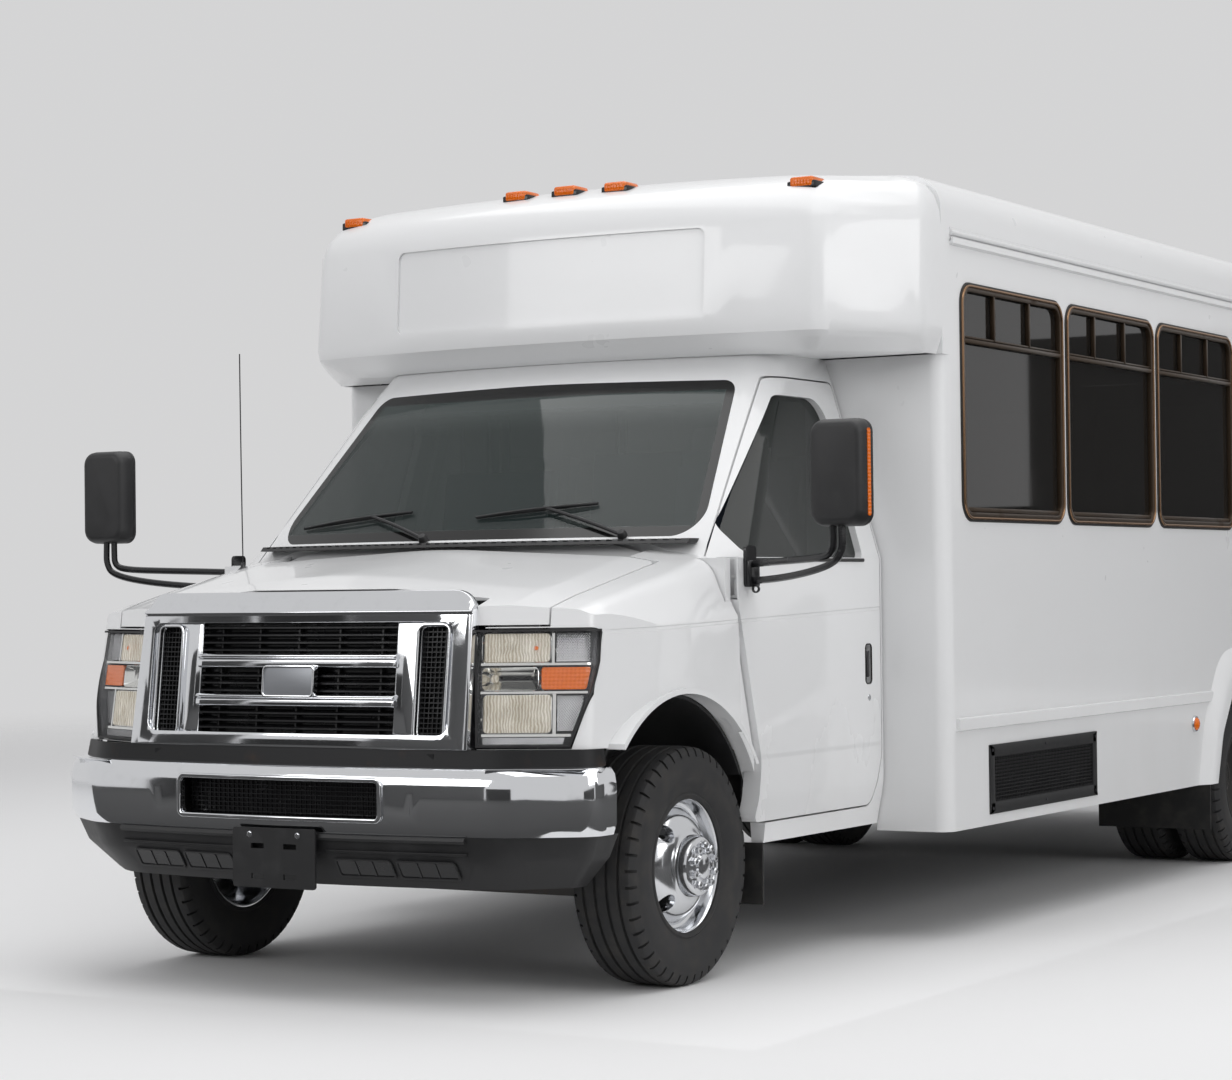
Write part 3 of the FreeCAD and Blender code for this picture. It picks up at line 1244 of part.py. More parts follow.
def front_wheel():
    """Front wheel: rim and crowned bright face, hub and its ring of nuts."""
    wheel = revolve([(x, r) for x, r in FRONT_RIM], FRONT_TYRE_X, 0.0, TYRE_R)
    holes = []
    for i in range(HAND_HOLES):
        a = math.pi / 4 + 2 * math.pi * i / HAND_HOLES
        y, z = HAND_HOLE_CIRCLE * math.cos(a), HAND_HOLE_CIRCLE * math.sin(a)
        holes.append(cyl_x(FRONT_TYRE_X, FRONT_TYRE_X + 130.0, y, TYRE_R + z, HAND_HOLE_R))
    spindle = cyl_x(KINGPIN_X - 20.0, FRONT_TYRE_X + 100.0, 0.0, TYRE_R, SPINDLE_R + SEAT_GAP)
    wheel = wheel.cut(holes + [spindle])
    return fuse([wheel] + lugs(142.0, FRONT_TYRE_X, 0.0, 64.0, 16.0))


def rear_wheels():
    """Twin rear wheels bolted face to face on one hub, the outer one dished."""
    parts = []
    outer = revolve(REAR_RIM, REAR_OUTER_X, WHEELBASE, TYRE_R)
    holes = []
    for i in range(HAND_HOLES):
        a = math.pi / 4 + 2 * math.pi * i / HAND_HOLES
        y, z = 128.0 * math.cos(a), 128.0 * math.sin(a)
        holes.append(cyl_x(
            REAR_OUTER_X - 100.0, REAR_OUTER_X - 40.0, WHEELBASE + y, TYRE_R + z, HAND_HOLE_R
        ))
    inner_face = REAR_OUTER_X - 92.0
    inner_rim = revolve([
        (
            -92, BEAD_R - SEAT_GAP
        ), (92, BEAD_R - SEAT_GAP), (92, RIM_R), (84, RIM_R), (80, 196), (-84, 196), (-92, RIM_R - 6),
    ], REAR_INNER_X, WHEELBASE, TYRE_R)
    web = revolve(
        [
            (0, 0), (inner_face - REAR_INNER_X, 0), (inner_face - REAR_INNER_X, 120), (70, 198),
            (60, 198), (60, 130), (0, 110)
        ],
        REAR_INNER_X, WHEELBASE, TYRE_R
    )
    parts = fuse([outer.cut(holes), inner_rim, web] + lugs(-70.0, REAR_OUTER_X, WHEELBASE, 104.0, 16.0))
    axle = cyl_x(REAR_INNER_X - 60.0, REAR_INNER_X + 120.0, WHEELBASE, TYRE_R, 46.0 + SEAT_GAP)
    return parts.cut(axle)


def knuckle():
    """Steering knuckle: yoke round the axle eye, kingpin, and the wheel's spindle."""
    pin = cyl_z(TYRE_R - 92.0, TYRE_R + 92.0, KINGPIN_X, 0.0, 18.0)
    web = box(KINGPIN_X + 44.0, KINGPIN_X + 44.0 + 22.0, -46.0, 46.0, TYRE_R - 92.0, TYRE_R + 92.0)
    ears = [
        box(KINGPIN_X - 26.0, KINGPIN_X + 50.0, -26.0, 26.0, z, z + 22.0)
        for z in (TYRE_R - 92.0, TYRE_R + 70.0)
    ]
    spindle = cyl_x(KINGPIN_X + 60.0, FRONT_TYRE_X + 96.0, 0.0, TYRE_R, SPINDLE_R)
    arm = box(KINGPIN_X - 40.0, KINGPIN_X + 4.0, 20.0, 170.0, TYRE_R - 112.0, TYRE_R - 92.0)
    arm = arm.fuse(box(KINGPIN_X + 20.0, KINGPIN_X + 60.0, -20.0, 46.0, TYRE_R - 112.0, TYRE_R - 80.0))
    return fuse([pin, web, spindle, arm] + ears)


def front_axle():
    """Front beam axle with eyes for the kingpins, coil springs and radius arms."""
    beam_z = TYRE_R - 60.0
    beam = prism_y(
        [
            (-700, TYRE_R - 40), (-600, beam_z - 46), (600, beam_z - 46), (700, TYRE_R - 40),
            (700, TYRE_R + 40), (580, beam_z + 46), (-580, beam_z + 46), (-700, TYRE_R + 40)
        ],
        -38.0, 38.0
    )
    pocket = prism_y(
        [
            (-640, TYRE_R - 14), (-585, beam_z - 20), (585, beam_z - 20), (640, TYRE_R - 14),
            (640, TYRE_R + 14), (570, beam_z + 20), (-570, beam_z + 20), (-640, TYRE_R + 14)
        ],
        10.0, 39.0
    )
    beam = beam.cut([pocket, pocket.mirror(vec(0, st(0.0), 0), vec(0, 1, 0))])
    eyes = [cyl_z(TYRE_R - 68.0, TYRE_R + 68.0, side * KINGPIN_X, 0.0, 40.0) for side in (1, -1)]
    webs = [
        box(
            min(side * 640.0, side * 730.0), max(side * 640.0, side * 730.0), -30.0, 30.0, TYRE_R - 40.0,
            TYRE_R + 40.0
        )
        for side in (1, -1)
    ]
    springs = [cyl_z(beam_z + 46.0, RAIL_TOP - 30.0, side * 545.0, 0.0, 62.0) for side in (1, -1)]
    seats = [cyl_z(beam_z + 30.0, beam_z + 60.0, side * 545.0, 0.0, 72.0) for side in (1, -1)]
    arms = [
        tube([vec(side * 545.0, st(20.0), beam_z), vec(side * 480.0, st(800.0), 470.0)], 26.0)
        for side in (1, -1)
    ]
    pivot_x = RAIL_X + RAIL_WIDE / 2 + SEAT_GAP
    pivots = [
        box(*sorted((side * pivot_x, side * 504.0)), 780.0, 840.0, 440.0, 560.0) for side in (1, -1)
    ]
    body = fuse([beam] + eyes + webs + springs + seats + arms + pivots)
    bores = [
        cyl_z(TYRE_R - 100.0, TYRE_R + 100.0, side * KINGPIN_X, 0.0, 18.0 + SEAT_GAP) for side in (1, -1)
    ]
    swing = [cyl_z(TYRE_R + 68.0, TYRE_R + 120.0, side * KINGPIN_X, 0.0, 70.0) for side in (1, -1)]
    return body.cut(bores + swing)


def rear_axle():
    """Rear axle housing with its round differential, and the leaf springs it hangs on."""
    tube_part = cyl_x(-(REAR_INNER_X + 70.0), REAR_INNER_X + 70.0, WHEELBASE, TYRE_R, 46.0)
    housing = Part.makeSphere(
        170.0, vec(0, st(WHEELBASE), TYRE_R)
    ).common(box(-200, 200, WHEELBASE - 175, WHEELBASE + 130, 150, 600))
    pinion = cyl_y(WHEELBASE - 290.0, WHEELBASE - 120.0, 0.0, TYRE_R + 10.0, 62.0)
    axle = fuse([tube_part, housing, pinion])
    springs = []
    for side in (1, -1):
        x0, x1 = sorted((side * 522.0, side * 598.0))
        leaves = prism_x(
            [
                (WHEELBASE - 690, 520), (WHEELBASE - 120, 410), (WHEELBASE + 120, 410),
                (WHEELBASE + 690, 540), (WHEELBASE + 690, 558), (WHEELBASE + 120, 466),
                (WHEELBASE - 120, 466), (WHEELBASE - 690, 538)
            ],
            x0, x1
        )
        hangers = [
            box(x0, x1, s - 30.0, s + 30.0, 520.0, 620.0) for s in (WHEELBASE - 690.0, WHEELBASE + 690.0)
        ]
        brackets = [
            box(
                *sorted((side * (RAIL_X + RAIL_WIDE / 2), side * 530.0)), s - 30.0, s + 30.0, 560.0, 620.0
            )
            for s in (WHEELBASE - 690.0, WHEELBASE + 690.0)
        ]
        springs.append(fuse([leaves] + hangers + brackets))
    return fuse([axle] + springs)


HITCH = (385.0, 456.0, 520.0, 590.0)


def chassis_frame():
    """Ladder frame: two channel rails and the cross members between them, with body outriggers."""
    parts = []
    for side in (1, -1):
        x0, x1 = sorted((side * (RAIL_X - RAIL_WIDE / 2), side * (RAIL_X + RAIL_WIDE / 2)))
        rail = box(x0, x1, -690.0, REAR_FACE - 90.0, RAIL_TOP - RAIL_HIGH, RAIL_TOP)
        hollow = (x0 - 1, x1 - RAIL_WEB) if side > 0 else (x0 + RAIL_WEB, x1 + 1)
        rail = rail.cut(box(
            *hollow, -700.0, REAR_FACE, RAIL_TOP - RAIL_HIGH + RAIL_WEB, RAIL_TOP - RAIL_WEB
        ))
        parts.append(rail)
    for s in CROSS_STATIONS:
        parts.append(box(
            -RAIL_X - 26.0, RAIL_X + 26.0, s - 35.0, s + 35.0, RAIL_TOP - CROSS_HIGH, RAIL_TOP
        ))
    reach = BODY_HALF - WALL - 20.0
    for s in (1700.0, 2900.0, 3600.0, 5400.0, 6300.0):
        short = ENTRY_FRONT < s < ENTRY_FRONT + ENTRY_WIDE
        parts.append(box(
            -BODY_HALF + STEP_DEEP + 40.0 if short else -reach, reach, s - 25.0, s + 25.0, RAIL_TOP,
            FLOOR_TOP - FLOOR_THICK
        ))
    parts.append(box(
        -60.0, 60.0, CROSS_STATIONS[1] - 30.0, CROSS_STATIONS[1] + 30.0, 640.0 + SEAT_GAP, RAIL_TOP
    ))
    for side in (1, -1):
        parts.append(box(
            *sorted((side * (280.0 + SEAT_GAP), side * (RAIL_X + RAIL_WIDE / 2 - 2.0))), -200.0, -120.0,
            560.0, 620.0
        ))
    tie = box(-RAIL_X, RAIL_X, -690.0, -650.0, RAIL_TOP - 150.0, RAIL_TOP - 30.0)
    horns = [box(*sorted((side * 400.0, side * 470.0)), -760.0, -640.0, 560.0, 640.0) for side in (1, -1)]
    hitch = [
        box(
            *sorted((side * HITCH[0], side * HITCH[1])), REAR_FACE - 200.0, REAR_FACE + 10.0, HITCH[2],
            HITCH[3]
        )
        for side in (1, -1)
    ]
    return fuse(parts + [tie] + horns + hitch)


def body_floor():
    """Floor of the passenger body, with the entrance step well let into it."""
    floor = box(
        -BODY_HALF + WALL + SEAT_GAP, BODY_HALF - WALL - SEAT_GAP, CAB_BACK + 30.0,
        REAR_FACE - WALL - SEAT_GAP, FLOOR_TOP - FLOOR_THICK, FLOOR_TOP
    )
    x0, x1 = -BODY_HALF + WALL + SEAT_GAP, -BODY_HALF + STEP_DEEP
    s0, s1 = ENTRY_FRONT, ENTRY_FRONT + ENTRY_WIDE
    well = box(x0, x1, s0, s1, FLOOR_TOP - FLOOR_THICK - 1, FLOOR_TOP + 1)
    treads = [(x0, x0 + 270.0, 400.0), (x0 + 270.0, x1, 600.0)]
    parts = [floor.cut(well)]
    for a, b, z in treads:
        parts.append(box(a, b, s0, s1, z - 20.0, z))
    parts.append(box(x0 + 270.0, x0 + 290.0, s0, s1, 380.0, 600.0))
    parts.append(box(x1, x1 + 20.0, s0, s1, 580.0, FLOOR_TOP))
    for s in (s0 - 20.0, s1):
        parts.append(prism_y(
            [
                (x0, 380.0), (x0 + 290.0, 380.0), (x0 + 290.0, 580.0), (x1 + 20.0, 580.0),
                (x1 + 20.0, FLOOR_TOP), (x0, FLOOR_TOP)
            ],
            s, s + 20.0
        ))
    return fuse(parts).cut(corner_pillars())


def powertrain():
    """Engine and gearbox as plain blocks, and the shaft back to the axle."""
    engine = box(-280.0, 280.0, -520.0, 236.0, 520.0, 1020.0)
    gearbox = prism_y([(-150, 470), (150, 470), (150, 640, 40.0), (-150, 640, 40.0)], 236.0, 900.0)
    shaft = tube([vec(0, st(890.0), 560.0), vec(0, st(WHEELBASE - 297.0), TYRE_R + 12.0)], 44.0)
    return fuse([engine, gearbox, shaft])


def fuel_tank():
    """Fuel tank behind the rear axle, strapped between the frame rails."""
    tank = prism_y(
        [(-380, 400, 40), (380, 400, 40), (380, 628, 40), (-380, 628, 40)], WHEELBASE + 420.0,
        WHEELBASE + 1500.0
    )
    straps = [box(-390, 390, WHEELBASE + s - 25, WHEELBASE + s + 25, 392, 400) for s in (700.0, 1250.0)]
    hangers = []
    inner = RAIL_X - RAIL_WIDE / 2 - SEAT_GAP
    for side in (1, -1):
        for s in (700.0, 1250.0):
            hangers.append(box(
                *sorted((side * 380.0, side * inner)), WHEELBASE + s - 25, WHEELBASE + s + 25, 392, 640
            ))
    return fuse([tank] + straps + hangers)


def exhaust():
    """Exhaust pipe and silencer under the passenger side, turned out behind the rear wheels."""
    x, z = -640.0, 560.0
    pipe = tube(
        [
            vec(-313, st(150), 640), vec(-345, st(240), 450), vec(-345, st(700), 440),
            vec(x, st(1300), 470), vec(x, st(3400), 470), vec(x, st(3700), 640), vec(x, st(5150), 640),
            vec(x - 60, st(5600), 480), vec(-1165, st(5900), 440)
        ],
        32.0
    )
    silencer = cyl_y(2500.0, 3200.0, x, 470.0, 105.0)
    hangers = [
        box(x - 12, x + 12, s - 12, s + 12, 480, FLOOR_TOP - FLOOR_THICK) for s in (2200.0, 3300.0)
    ]
    return fuse([pipe, silencer] + hangers)


def mud_flaps():
    """Black flaps behind the front wheels and ahead of and behind the rear ones."""
    front = box(700.0, 978.0, 415.0, 423.0, 205.0, 400.0 - SEAT_GAP)
    front = front.fuse(box(700.0, 900.0, 415.0, 423.0, 300.0, RAIL_TOP)).removeSplitter()
    rear = [
        box(700.0, 1196.0, WHEELBASE + s, WHEELBASE + s + 8.0, 170.0, FLOOR_TOP - FLOOR_THICK - SEAT_GAP)
        for s in (-470.0, 470.0)
    ]
    return Part.makeCompound([s for r in [front] + rear for s in (r, flip(r))])


def rear_bumper():
    """Black steel step bumper across the back, on two arms from the frame."""
    plan = mirrored_plan([
        (1180.0, REAR_FACE + 12.0, 0.0), (1180.0, REAR_END - 40.0, 30.0), (1100.0, REAR_END, 60.0)
    ])
    bar = prism_z([(p[0], p[1], p[2]) for p in plan], 440.0, 600.0)
    hollow = prism_z(
        [
            (1160.0, REAR_FACE), (1160.0, REAR_END - 20.0), (-1160.0, REAR_END - 20.0),
            (-1160.0, REAR_FACE)
        ],
        400.0, 584.0
    )
    arms = [
        box(
            *sorted((side * HITCH[0], side * HITCH[1])), REAR_FACE + 10.0, REAR_END - 19.0, HITCH[2],
            HITCH[3] - 6.0
        )
        for side in (1, -1)
    ]
    return fuse([bar.cut(hollow)] + arms)


STRAP_R = 9.0
STRAP_PIN_R = 5.0


def hinge_leaves(x, s, spans, lug):
    """Barrels of a strap hinge on the moving leaf, each with the lug that carries it."""
    return [shape for a, b in spans for shape in (cyl_z(a, b, x, s, STRAP_R), lug(a, b))]


def hinge_bore(x, s, spans):
    return cyl_z(spans[0][0] - 20.0, spans[-1][1] + 20.0, x, s, STRAP_PIN_R + HINGE_CLEAR)


def hinge_pins(x, s, spans, lug):
    """Fixed pins of a strap hinge, each between two ears on the wall."""
    shapes = []
    for a, b in spans:
        shapes.append(cyl_z(a - 8.0, b + 8.0, x, s, STRAP_PIN_R))
        for z0, z1 in ((a - 8.0, a - 1.0), (b + 1.0, b + 8.0)):
            shapes += [cyl_z(z0, z1, x, s, STRAP_R - 1.0), lug(z0, z1)]
    return shapes


ENTRY_HINGES = ((640.0, 700.0), (1240.0, 1300.0), (2150.0, 2210.0))
ENTRY_PIN_X = BODY_HALF + 10.0
ENTRY_PINS = (ENTRY_FRONT + 3.0, ENTRY_FRONT + ENTRY_WIDE - 3.0)


def entry_leaf(front):
    """One leaf of the entrance: a framed door with two tall lights."""
    s0 = ENTRY_FRONT + GAP if front else ENTRY_FRONT + ENTRY_WIDE / 2 + GAP / 2
    s1 = ENTRY_FRONT + ENTRY_WIDE / 2 - GAP / 2 if front else ENTRY_FRONT + ENTRY_WIDE - GAP
    leaf = prism_x(rect(s0, s1, ENTRY_BASE_Z, ENTRY_TOP_Z - GAP, 18.0), BODY_HALF - LEAF_THICK, BODY_HALF)
    lights = [
        prism_x(rect(s0 + 58.0, s1 - 58.0, z0, z1, 26.0), BODY_HALF - LEAF_THICK - 1, BODY_HALF + 1)
        for z0, z1 in ENTRY_LIGHTS
    ]
    pin_s, along = (ENTRY_PINS[0], 30.0) if front else (ENTRY_PINS[1], -30.0)
    near, far = sorted((pin_s, pin_s + along))
    leaves = hinge_leaves(
        ENTRY_PIN_X, pin_s, ENTRY_HINGES, lambda a, b: box(BODY_HALF - 1.0, ENTRY_PIN_X, near, far, a, b)
    )
    return flip(fuse([leaf.cut(lights)] + leaves).cut(hinge_bore(ENTRY_PIN_X, pin_s, ENTRY_HINGES)))


ENTRY_LIGHTS = [(560.0, 1180.0), (1300.0, 2140.0)]


def entry_glass(front):
    s0 = ENTRY_FRONT + GAP if front else ENTRY_FRONT + ENTRY_WIDE / 2 + GAP / 2
    s1 = ENTRY_FRONT + ENTRY_WIDE / 2 - GAP / 2 if front else ENTRY_FRONT + ENTRY_WIDE - GAP
    g = SEAT_GAP
    panes = [
        prism_x(
            rect(s0 + 58.0 + g, s1 - 58.0 - g, z0 + g, z1 - g, 26.0), BODY_HALF - 20.0, BODY_HALF - 14.0
        )
        for z0, z1 in ENTRY_LIGHTS
    ]
    return Part.makeCompound([flip(p) for p in panes])


BACK_DOOR_LIGHTS = [(1000.0, 1330.0), (1500.0, 2120.0)]
BACK_DOOR_HINGES = ((980.0, 1050.0), (1500.0, 1570.0), (2040.0, 2110.0))
BACK_DOOR_PIN = (BACK_DOOR_HALF + 2.0, REAR_FACE + 12.0)


def back_door():
    """Emergency door in the back wall, with an upper and a lower light and a release lever."""
    door = prism_y(
        rect(
            -BACK_DOOR_HALF + GAP, BACK_DOOR_HALF - GAP, BACK_DOOR_BASE_Z + GAP, BACK_DOOR_TOP_Z - GAP,
            36.0
        ),
        REAR_FACE - 38.0, REAR_FACE + 4.0
    )
    lights = [
        prism_y(rect(-330.0, 330.0, z0, z1, 60.0), REAR_FACE - 60.0, REAR_FACE + 10.0) for z0,
        z1 in BACK_DOOR_LIGHTS
    ]
    lever = box(-400.0, -372.0, REAR_FACE + 4.0, REAR_FACE + 34.0, 1380.0, 1470.0)
    x, s = BACK_DOOR_PIN
    leaves = hinge_leaves(x, s, BACK_DOOR_HINGES, lambda a, b: box(x - 34.0, x, REAR_FACE + 3.0, s, a, b))
    return fuse([door.cut(lights), lever] + leaves).cut(hinge_bore(x, s, BACK_DOOR_HINGES))


def back_door_glass():
    g = SEAT_GAP
    return Part.makeCompound([
        prism_y(rect(-330.0 + g, 330.0 - g, z0 + g, z1 - g, 60.0), REAR_FACE - 14.0, REAR_FACE - 8.0)
        for z0, z1 in BACK_DOOR_LIGHTS
    ])


DASH_HALF = 862.0


def dashboard():
    """Dashboard, engine cover, steering column and wheel."""
    dash = prism_x(
        [(300, 1040), (470, 1040, 40), (520, 1180, 60), (430, 1290, 60), (300, 1335)], -DASH_HALF,
        DASH_HALF
    )
    base = CAB_FLOOR + SEAT_GAP
    cover = prism_x(
        [(344, base), (830, base), (830, 930, 60), (520, 1060, 60), (344, 1060)], -250.0, 250.0
    )
    centre = vec(490.0, st(560.0), 1260.0)
    axis = vec(0, -0.62, -0.78)
    ring = Part.makeTorus(185.0, 16.0, centre, axis * -1)
    hub = Part.makeCylinder(52.0, 40.0, centre + axis * 10.0, axis)
    side = vec(1, 0, 0)
    spokes = [
        Part.makeCylinder(12.0, 185.0, centre + axis * 6.0, d)
        for d in (side, side * -1, axis.cross(side) * -1)
    ]
    column = Part.makeCylinder(30.0, 200.0, centre + axis * 20.0, axis)
    wheel = fuse([ring, hub, column] + spokes)
    return fuse([dash, cover]).fuse(wheel)


def seat_shape(s, x0, x1, base, rise=330.0):
    """One seat: padded cushion and leaning back on a pedestal."""
    low = base + rise
    profile = [
        (s - 20, low, 30), (s + 440, low - 10, 20), (s + 560, low + 650, 40), (s + 450, low + 670, 40),
        (s + 370, low + 130, 40), (s - 30, low + 130, 50),
    ]
    pad = prism_x(profile, x0, x1)
    post = box((x0 + x1) / 2 - 60, (x0 + x1) / 2 + 60, s + 120, s + 320, base, low)
    return fuse([pad, post])


SEAT_PITCH = 760.0
SEAT_FIRST_LEFT = 1560.0
SEAT_FIRST_RIGHT = 2440.0
LEFT_ROWS = 6
RIGHT_ROWS = 5


def cab_seats():
    """Seats of the driver and of the passenger beside the engine cover."""
    return Part.makeCompound([
        seat_shape(650.0, x - 235.0, x + 235.0, CAB_FLOOR, 260.0) for x in (490.0, -490.0)
    ])


def seats():
    """Rows of double seats each side of the aisle."""
    rows = []
    for i in range(LEFT_ROWS):
        rows.append(seat_shape(SEAT_FIRST_LEFT + i * SEAT_PITCH, 300.0, 1170.0, FLOOR_TOP))
    for i in range(RIGHT_ROWS):
        rows.append(seat_shape(SEAT_FIRST_RIGHT + i * SEAT_PITCH, -1170.0, -300.0, FLOOR_TOP))
    return Part.makeCompound(rows)


def main():
    os.makedirs("parts", exist_ok=True)
    nodes = {
        "chassis_frame": chassis_frame,
        "body_floor": body_floor,
        "side_wall_left": lambda: side_wall(1),
        "side_wall_right": lambda: side_wall(-1),
        "rear_wall": rear_wall,
        "roof": roof,
        "front_cap": front_cap,
        "corner_pillars": corner_pillars,
        "cab_shell": cab_shell,
        "front_fenders": front_fenders,
        "hood": hood,
        "wheel_liners": wheel_liners,
        "radiator_support": radiator_support,
        "windscreen": windscreen,
        "grille_surround": grille_surround,
        "grille_insert": grille_insert,
        "headlamps": headlamps,
        "front_bumper": front_bumper,
        "lower_valance": lower_valance,
        "rear_bumper": rear_bumper,
        "window_frames": window_frames,
        "window_glass": window_glass,
        "rear_glass": rear_window,
        "wheel_flares": wheel_flares,
        "marker_lamps": marker_lamps,
        "tail_lamps": tail_lamps,
        "side_vent": side_vent,
        "cowl_grille": cowl_grille,
        "front_axle": front_axle,
        "rear_axle": rear_axle,
        "powertrain": powertrain,
        "fuel_tank": fuel_tank,
        "exhaust": exhaust,
        "mud_flaps": mud_flaps,
        "dashboard": dashboard,
        "cab_seats": cab_seats,
        "seats": seats,
        "driver_door": cab_door,
        "driver_door_glass": cab_door_glass,
        "mirror_left": mirror,
        "passenger_door": lambda: flip(cab_door()),
        "passenger_door_glass": lambda: flip(cab_door_glass()),
        "mirror_right": lambda: flip(mirror()),
        "entry_leaf_front": lambda: entry_leaf(True),
        "entry_leaf_rear": lambda: entry_leaf(False),
        "entry_glass_front": lambda: entry_glass(True),
        "entry_glass_rear": lambda: entry_glass(False),
        "back_door": back_door,
        "back_door_glass": back_door_glass,
        "knuckle_left": knuckle,
        "knuckle_right": lambda: flip(knuckle()),
        "tyre_front_left": lambda: tyre(FRONT_TYRE_X, 0.0),
        "tyre_front_right": lambda: flip(tyre(FRONT_TYRE_X, 0.0)),
        "wheel_front_left": front_wheel,
        "wheel_front_right": lambda: flip(front_wheel()),
        "tyres_rear_left": lambda: Part.makeCompound([
            tyre(REAR_OUTER_X, WHEELBASE), tyre(REAR_INNER_X, WHEELBASE)
        ]),
        "tyres_rear_right": lambda: flip(Part.makeCompound([
            tyre(REAR_OUTER_X, WHEELBASE), tyre(REAR_INNER_X, WHEELBASE)
        ])),
        "wheels_rear_left": rear_wheels,
        "wheels_rear_right": lambda: flip(rear_wheels()),
    }
    for name, make in nodes.items():
        save(name, make())


if __name__ == "__main__":
    main()
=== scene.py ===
"""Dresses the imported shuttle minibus: paint, chrome, glass, tyres, lamps, seats and small fittings.

Metres, in the CAD frame: +Z up, the front faces -Y, the driver's side is +X. Stations are distances
behind the front axle, and at() turns one into a place in the frame.
"""
import json
import math

import bmesh
import bpy
from mathutils import Matrix, Vector

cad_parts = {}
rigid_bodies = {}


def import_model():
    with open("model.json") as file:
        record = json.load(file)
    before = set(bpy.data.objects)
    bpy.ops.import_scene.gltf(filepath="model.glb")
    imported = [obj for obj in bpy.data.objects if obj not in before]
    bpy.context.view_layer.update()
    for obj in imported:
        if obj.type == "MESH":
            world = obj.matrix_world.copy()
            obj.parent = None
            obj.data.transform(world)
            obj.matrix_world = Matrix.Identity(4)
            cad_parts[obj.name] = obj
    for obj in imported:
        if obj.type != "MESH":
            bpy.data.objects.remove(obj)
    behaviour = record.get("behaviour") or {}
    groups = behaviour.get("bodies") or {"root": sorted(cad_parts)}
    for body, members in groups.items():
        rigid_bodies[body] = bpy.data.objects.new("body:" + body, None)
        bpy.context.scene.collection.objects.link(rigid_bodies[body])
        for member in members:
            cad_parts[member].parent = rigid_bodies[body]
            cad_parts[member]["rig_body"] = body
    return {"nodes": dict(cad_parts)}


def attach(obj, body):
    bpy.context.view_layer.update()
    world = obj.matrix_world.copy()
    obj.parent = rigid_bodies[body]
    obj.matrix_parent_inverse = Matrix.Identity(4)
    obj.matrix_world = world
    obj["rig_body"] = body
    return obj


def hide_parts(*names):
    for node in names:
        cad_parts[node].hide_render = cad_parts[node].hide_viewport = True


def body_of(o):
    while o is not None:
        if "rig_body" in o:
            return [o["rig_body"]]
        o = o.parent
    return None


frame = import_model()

bl_info = {
    "name": "Shuttle minibus dressing",
    "version": (1, 0, 0),
    "blender": (4, 5, 0),
    "location": "View3D > Sidebar > Minibus",
    "description": "Builds the visible surfaces of a shuttle minibus round its packed frame",
    "category": "Object",
}

AXLE_Y = -2.98
ACROSS, BACK, UP = Vector((1.0, 0.0, 0.0)), Vector((0.0, 1.0, 0.0)), Vector((0.0, 0.0, 1.0))
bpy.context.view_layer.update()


# Places and selection

def at(x, station, z):
    return Vector((x, station + AXLE_Y, z))


def alone(obj=None):
    """Deselects everything, then makes one object the selected and active one."""
    if bpy.context.object and bpy.context.object.mode != "OBJECT":
        bpy.ops.object.mode_set(mode="OBJECT")
    bpy.ops.object.select_all(action="DESELECT")
    if obj:
        obj.select_set(True)
        bpy.context.view_layer.objects.active = obj
    return obj


def editing(obj, mode="FACE"):
    alone(obj)
    bpy.ops.object.mode_set(mode="EDIT")
    bpy.ops.mesh.select_mode(type=mode)


def settle(obj):
    """Leaves edit mode and puts the object's place into its mesh."""
    alone(obj)
    bpy.ops.object.transform_apply(location=True, rotation=True, scale=True)
    return obj


def modify(obj, kind, **settings):
    """Adds a modifier with these settings and applies it."""
    alone(obj)
    made = obj.modifiers.new(kind.title(), kind)
    for key, value in settings.items():
        setattr(made, key, value)
    bpy.ops.object.modifier_apply(modifier=made.name)
    return obj


def soften(obj, width, segments=2, angle=50.0):
    """Rounds over the edges that are sharper than an angle."""
    return modify(obj, "BEVEL", width=width, segments=segments, limit_method="ANGLE",
                  angle_limit=math.radians(angle))


def smooth(obj, angle):
    alone(obj)
    bpy.ops.object.shade_smooth_by_angle(angle=math.radians(angle))
    return obj


def joined(name, parts):
    alone(parts[0])
    for part in parts:
        part.select_set(True)
    bpy.ops.object.join()
    obj = bpy.context.object
    obj.name = obj.data.name = name
    return obj


def finished(obj, name, finish, body="body"):
    """Names a piece, gives it its finish and lets it ride on its body."""
    obj.name = obj.data.name = name
    obj.data.materials.clear()
    obj.data.materials.append(material(finish))
    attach(obj, body)
    return obj


def copied(obj, name):
    twin = obj.copy()
    twin.data = obj.data.copy()
    bpy.context.scene.collection.objects.link(twin)
    twin.name = twin.data.name = name
    twin.parent = None
    twin.matrix_world = Matrix.Identity(4)
    return twin


def flipped(obj):
    """Turns a piece over to the other side of the bus, with its faces still outwards."""
    obj.data.transform(Matrix.Scale(-1.0, 4, ACROSS))
    obj.data.flip_normals()
    return obj


def pair(piece, name, finish, bodies=("body", "body"), sides=("left", "right")):
    """Finishes a piece of the driver's side and its mirrored twin; %s in the name is the side."""
    both = (piece, flipped(copied(piece, name % sides[1])))
    for obj, side, body in zip(both, sides, bodies):
        finished(obj, name % side, finish, body)
    return both


# Modelling by hand: lines, plates, bars and rings

def select(obj, test):
    """Selects the points that pass a test, in edit mode."""
    bpy.ops.mesh.select_all(action="DESELECT")
    mesh = bmesh.from_edit_mesh(obj.data)
    for vertex in mesh.verts:
        if test(vertex):
            vertex.select_set(True)
    mesh.select_flush_mode()
    bmesh.update_edit_mesh(obj.data)


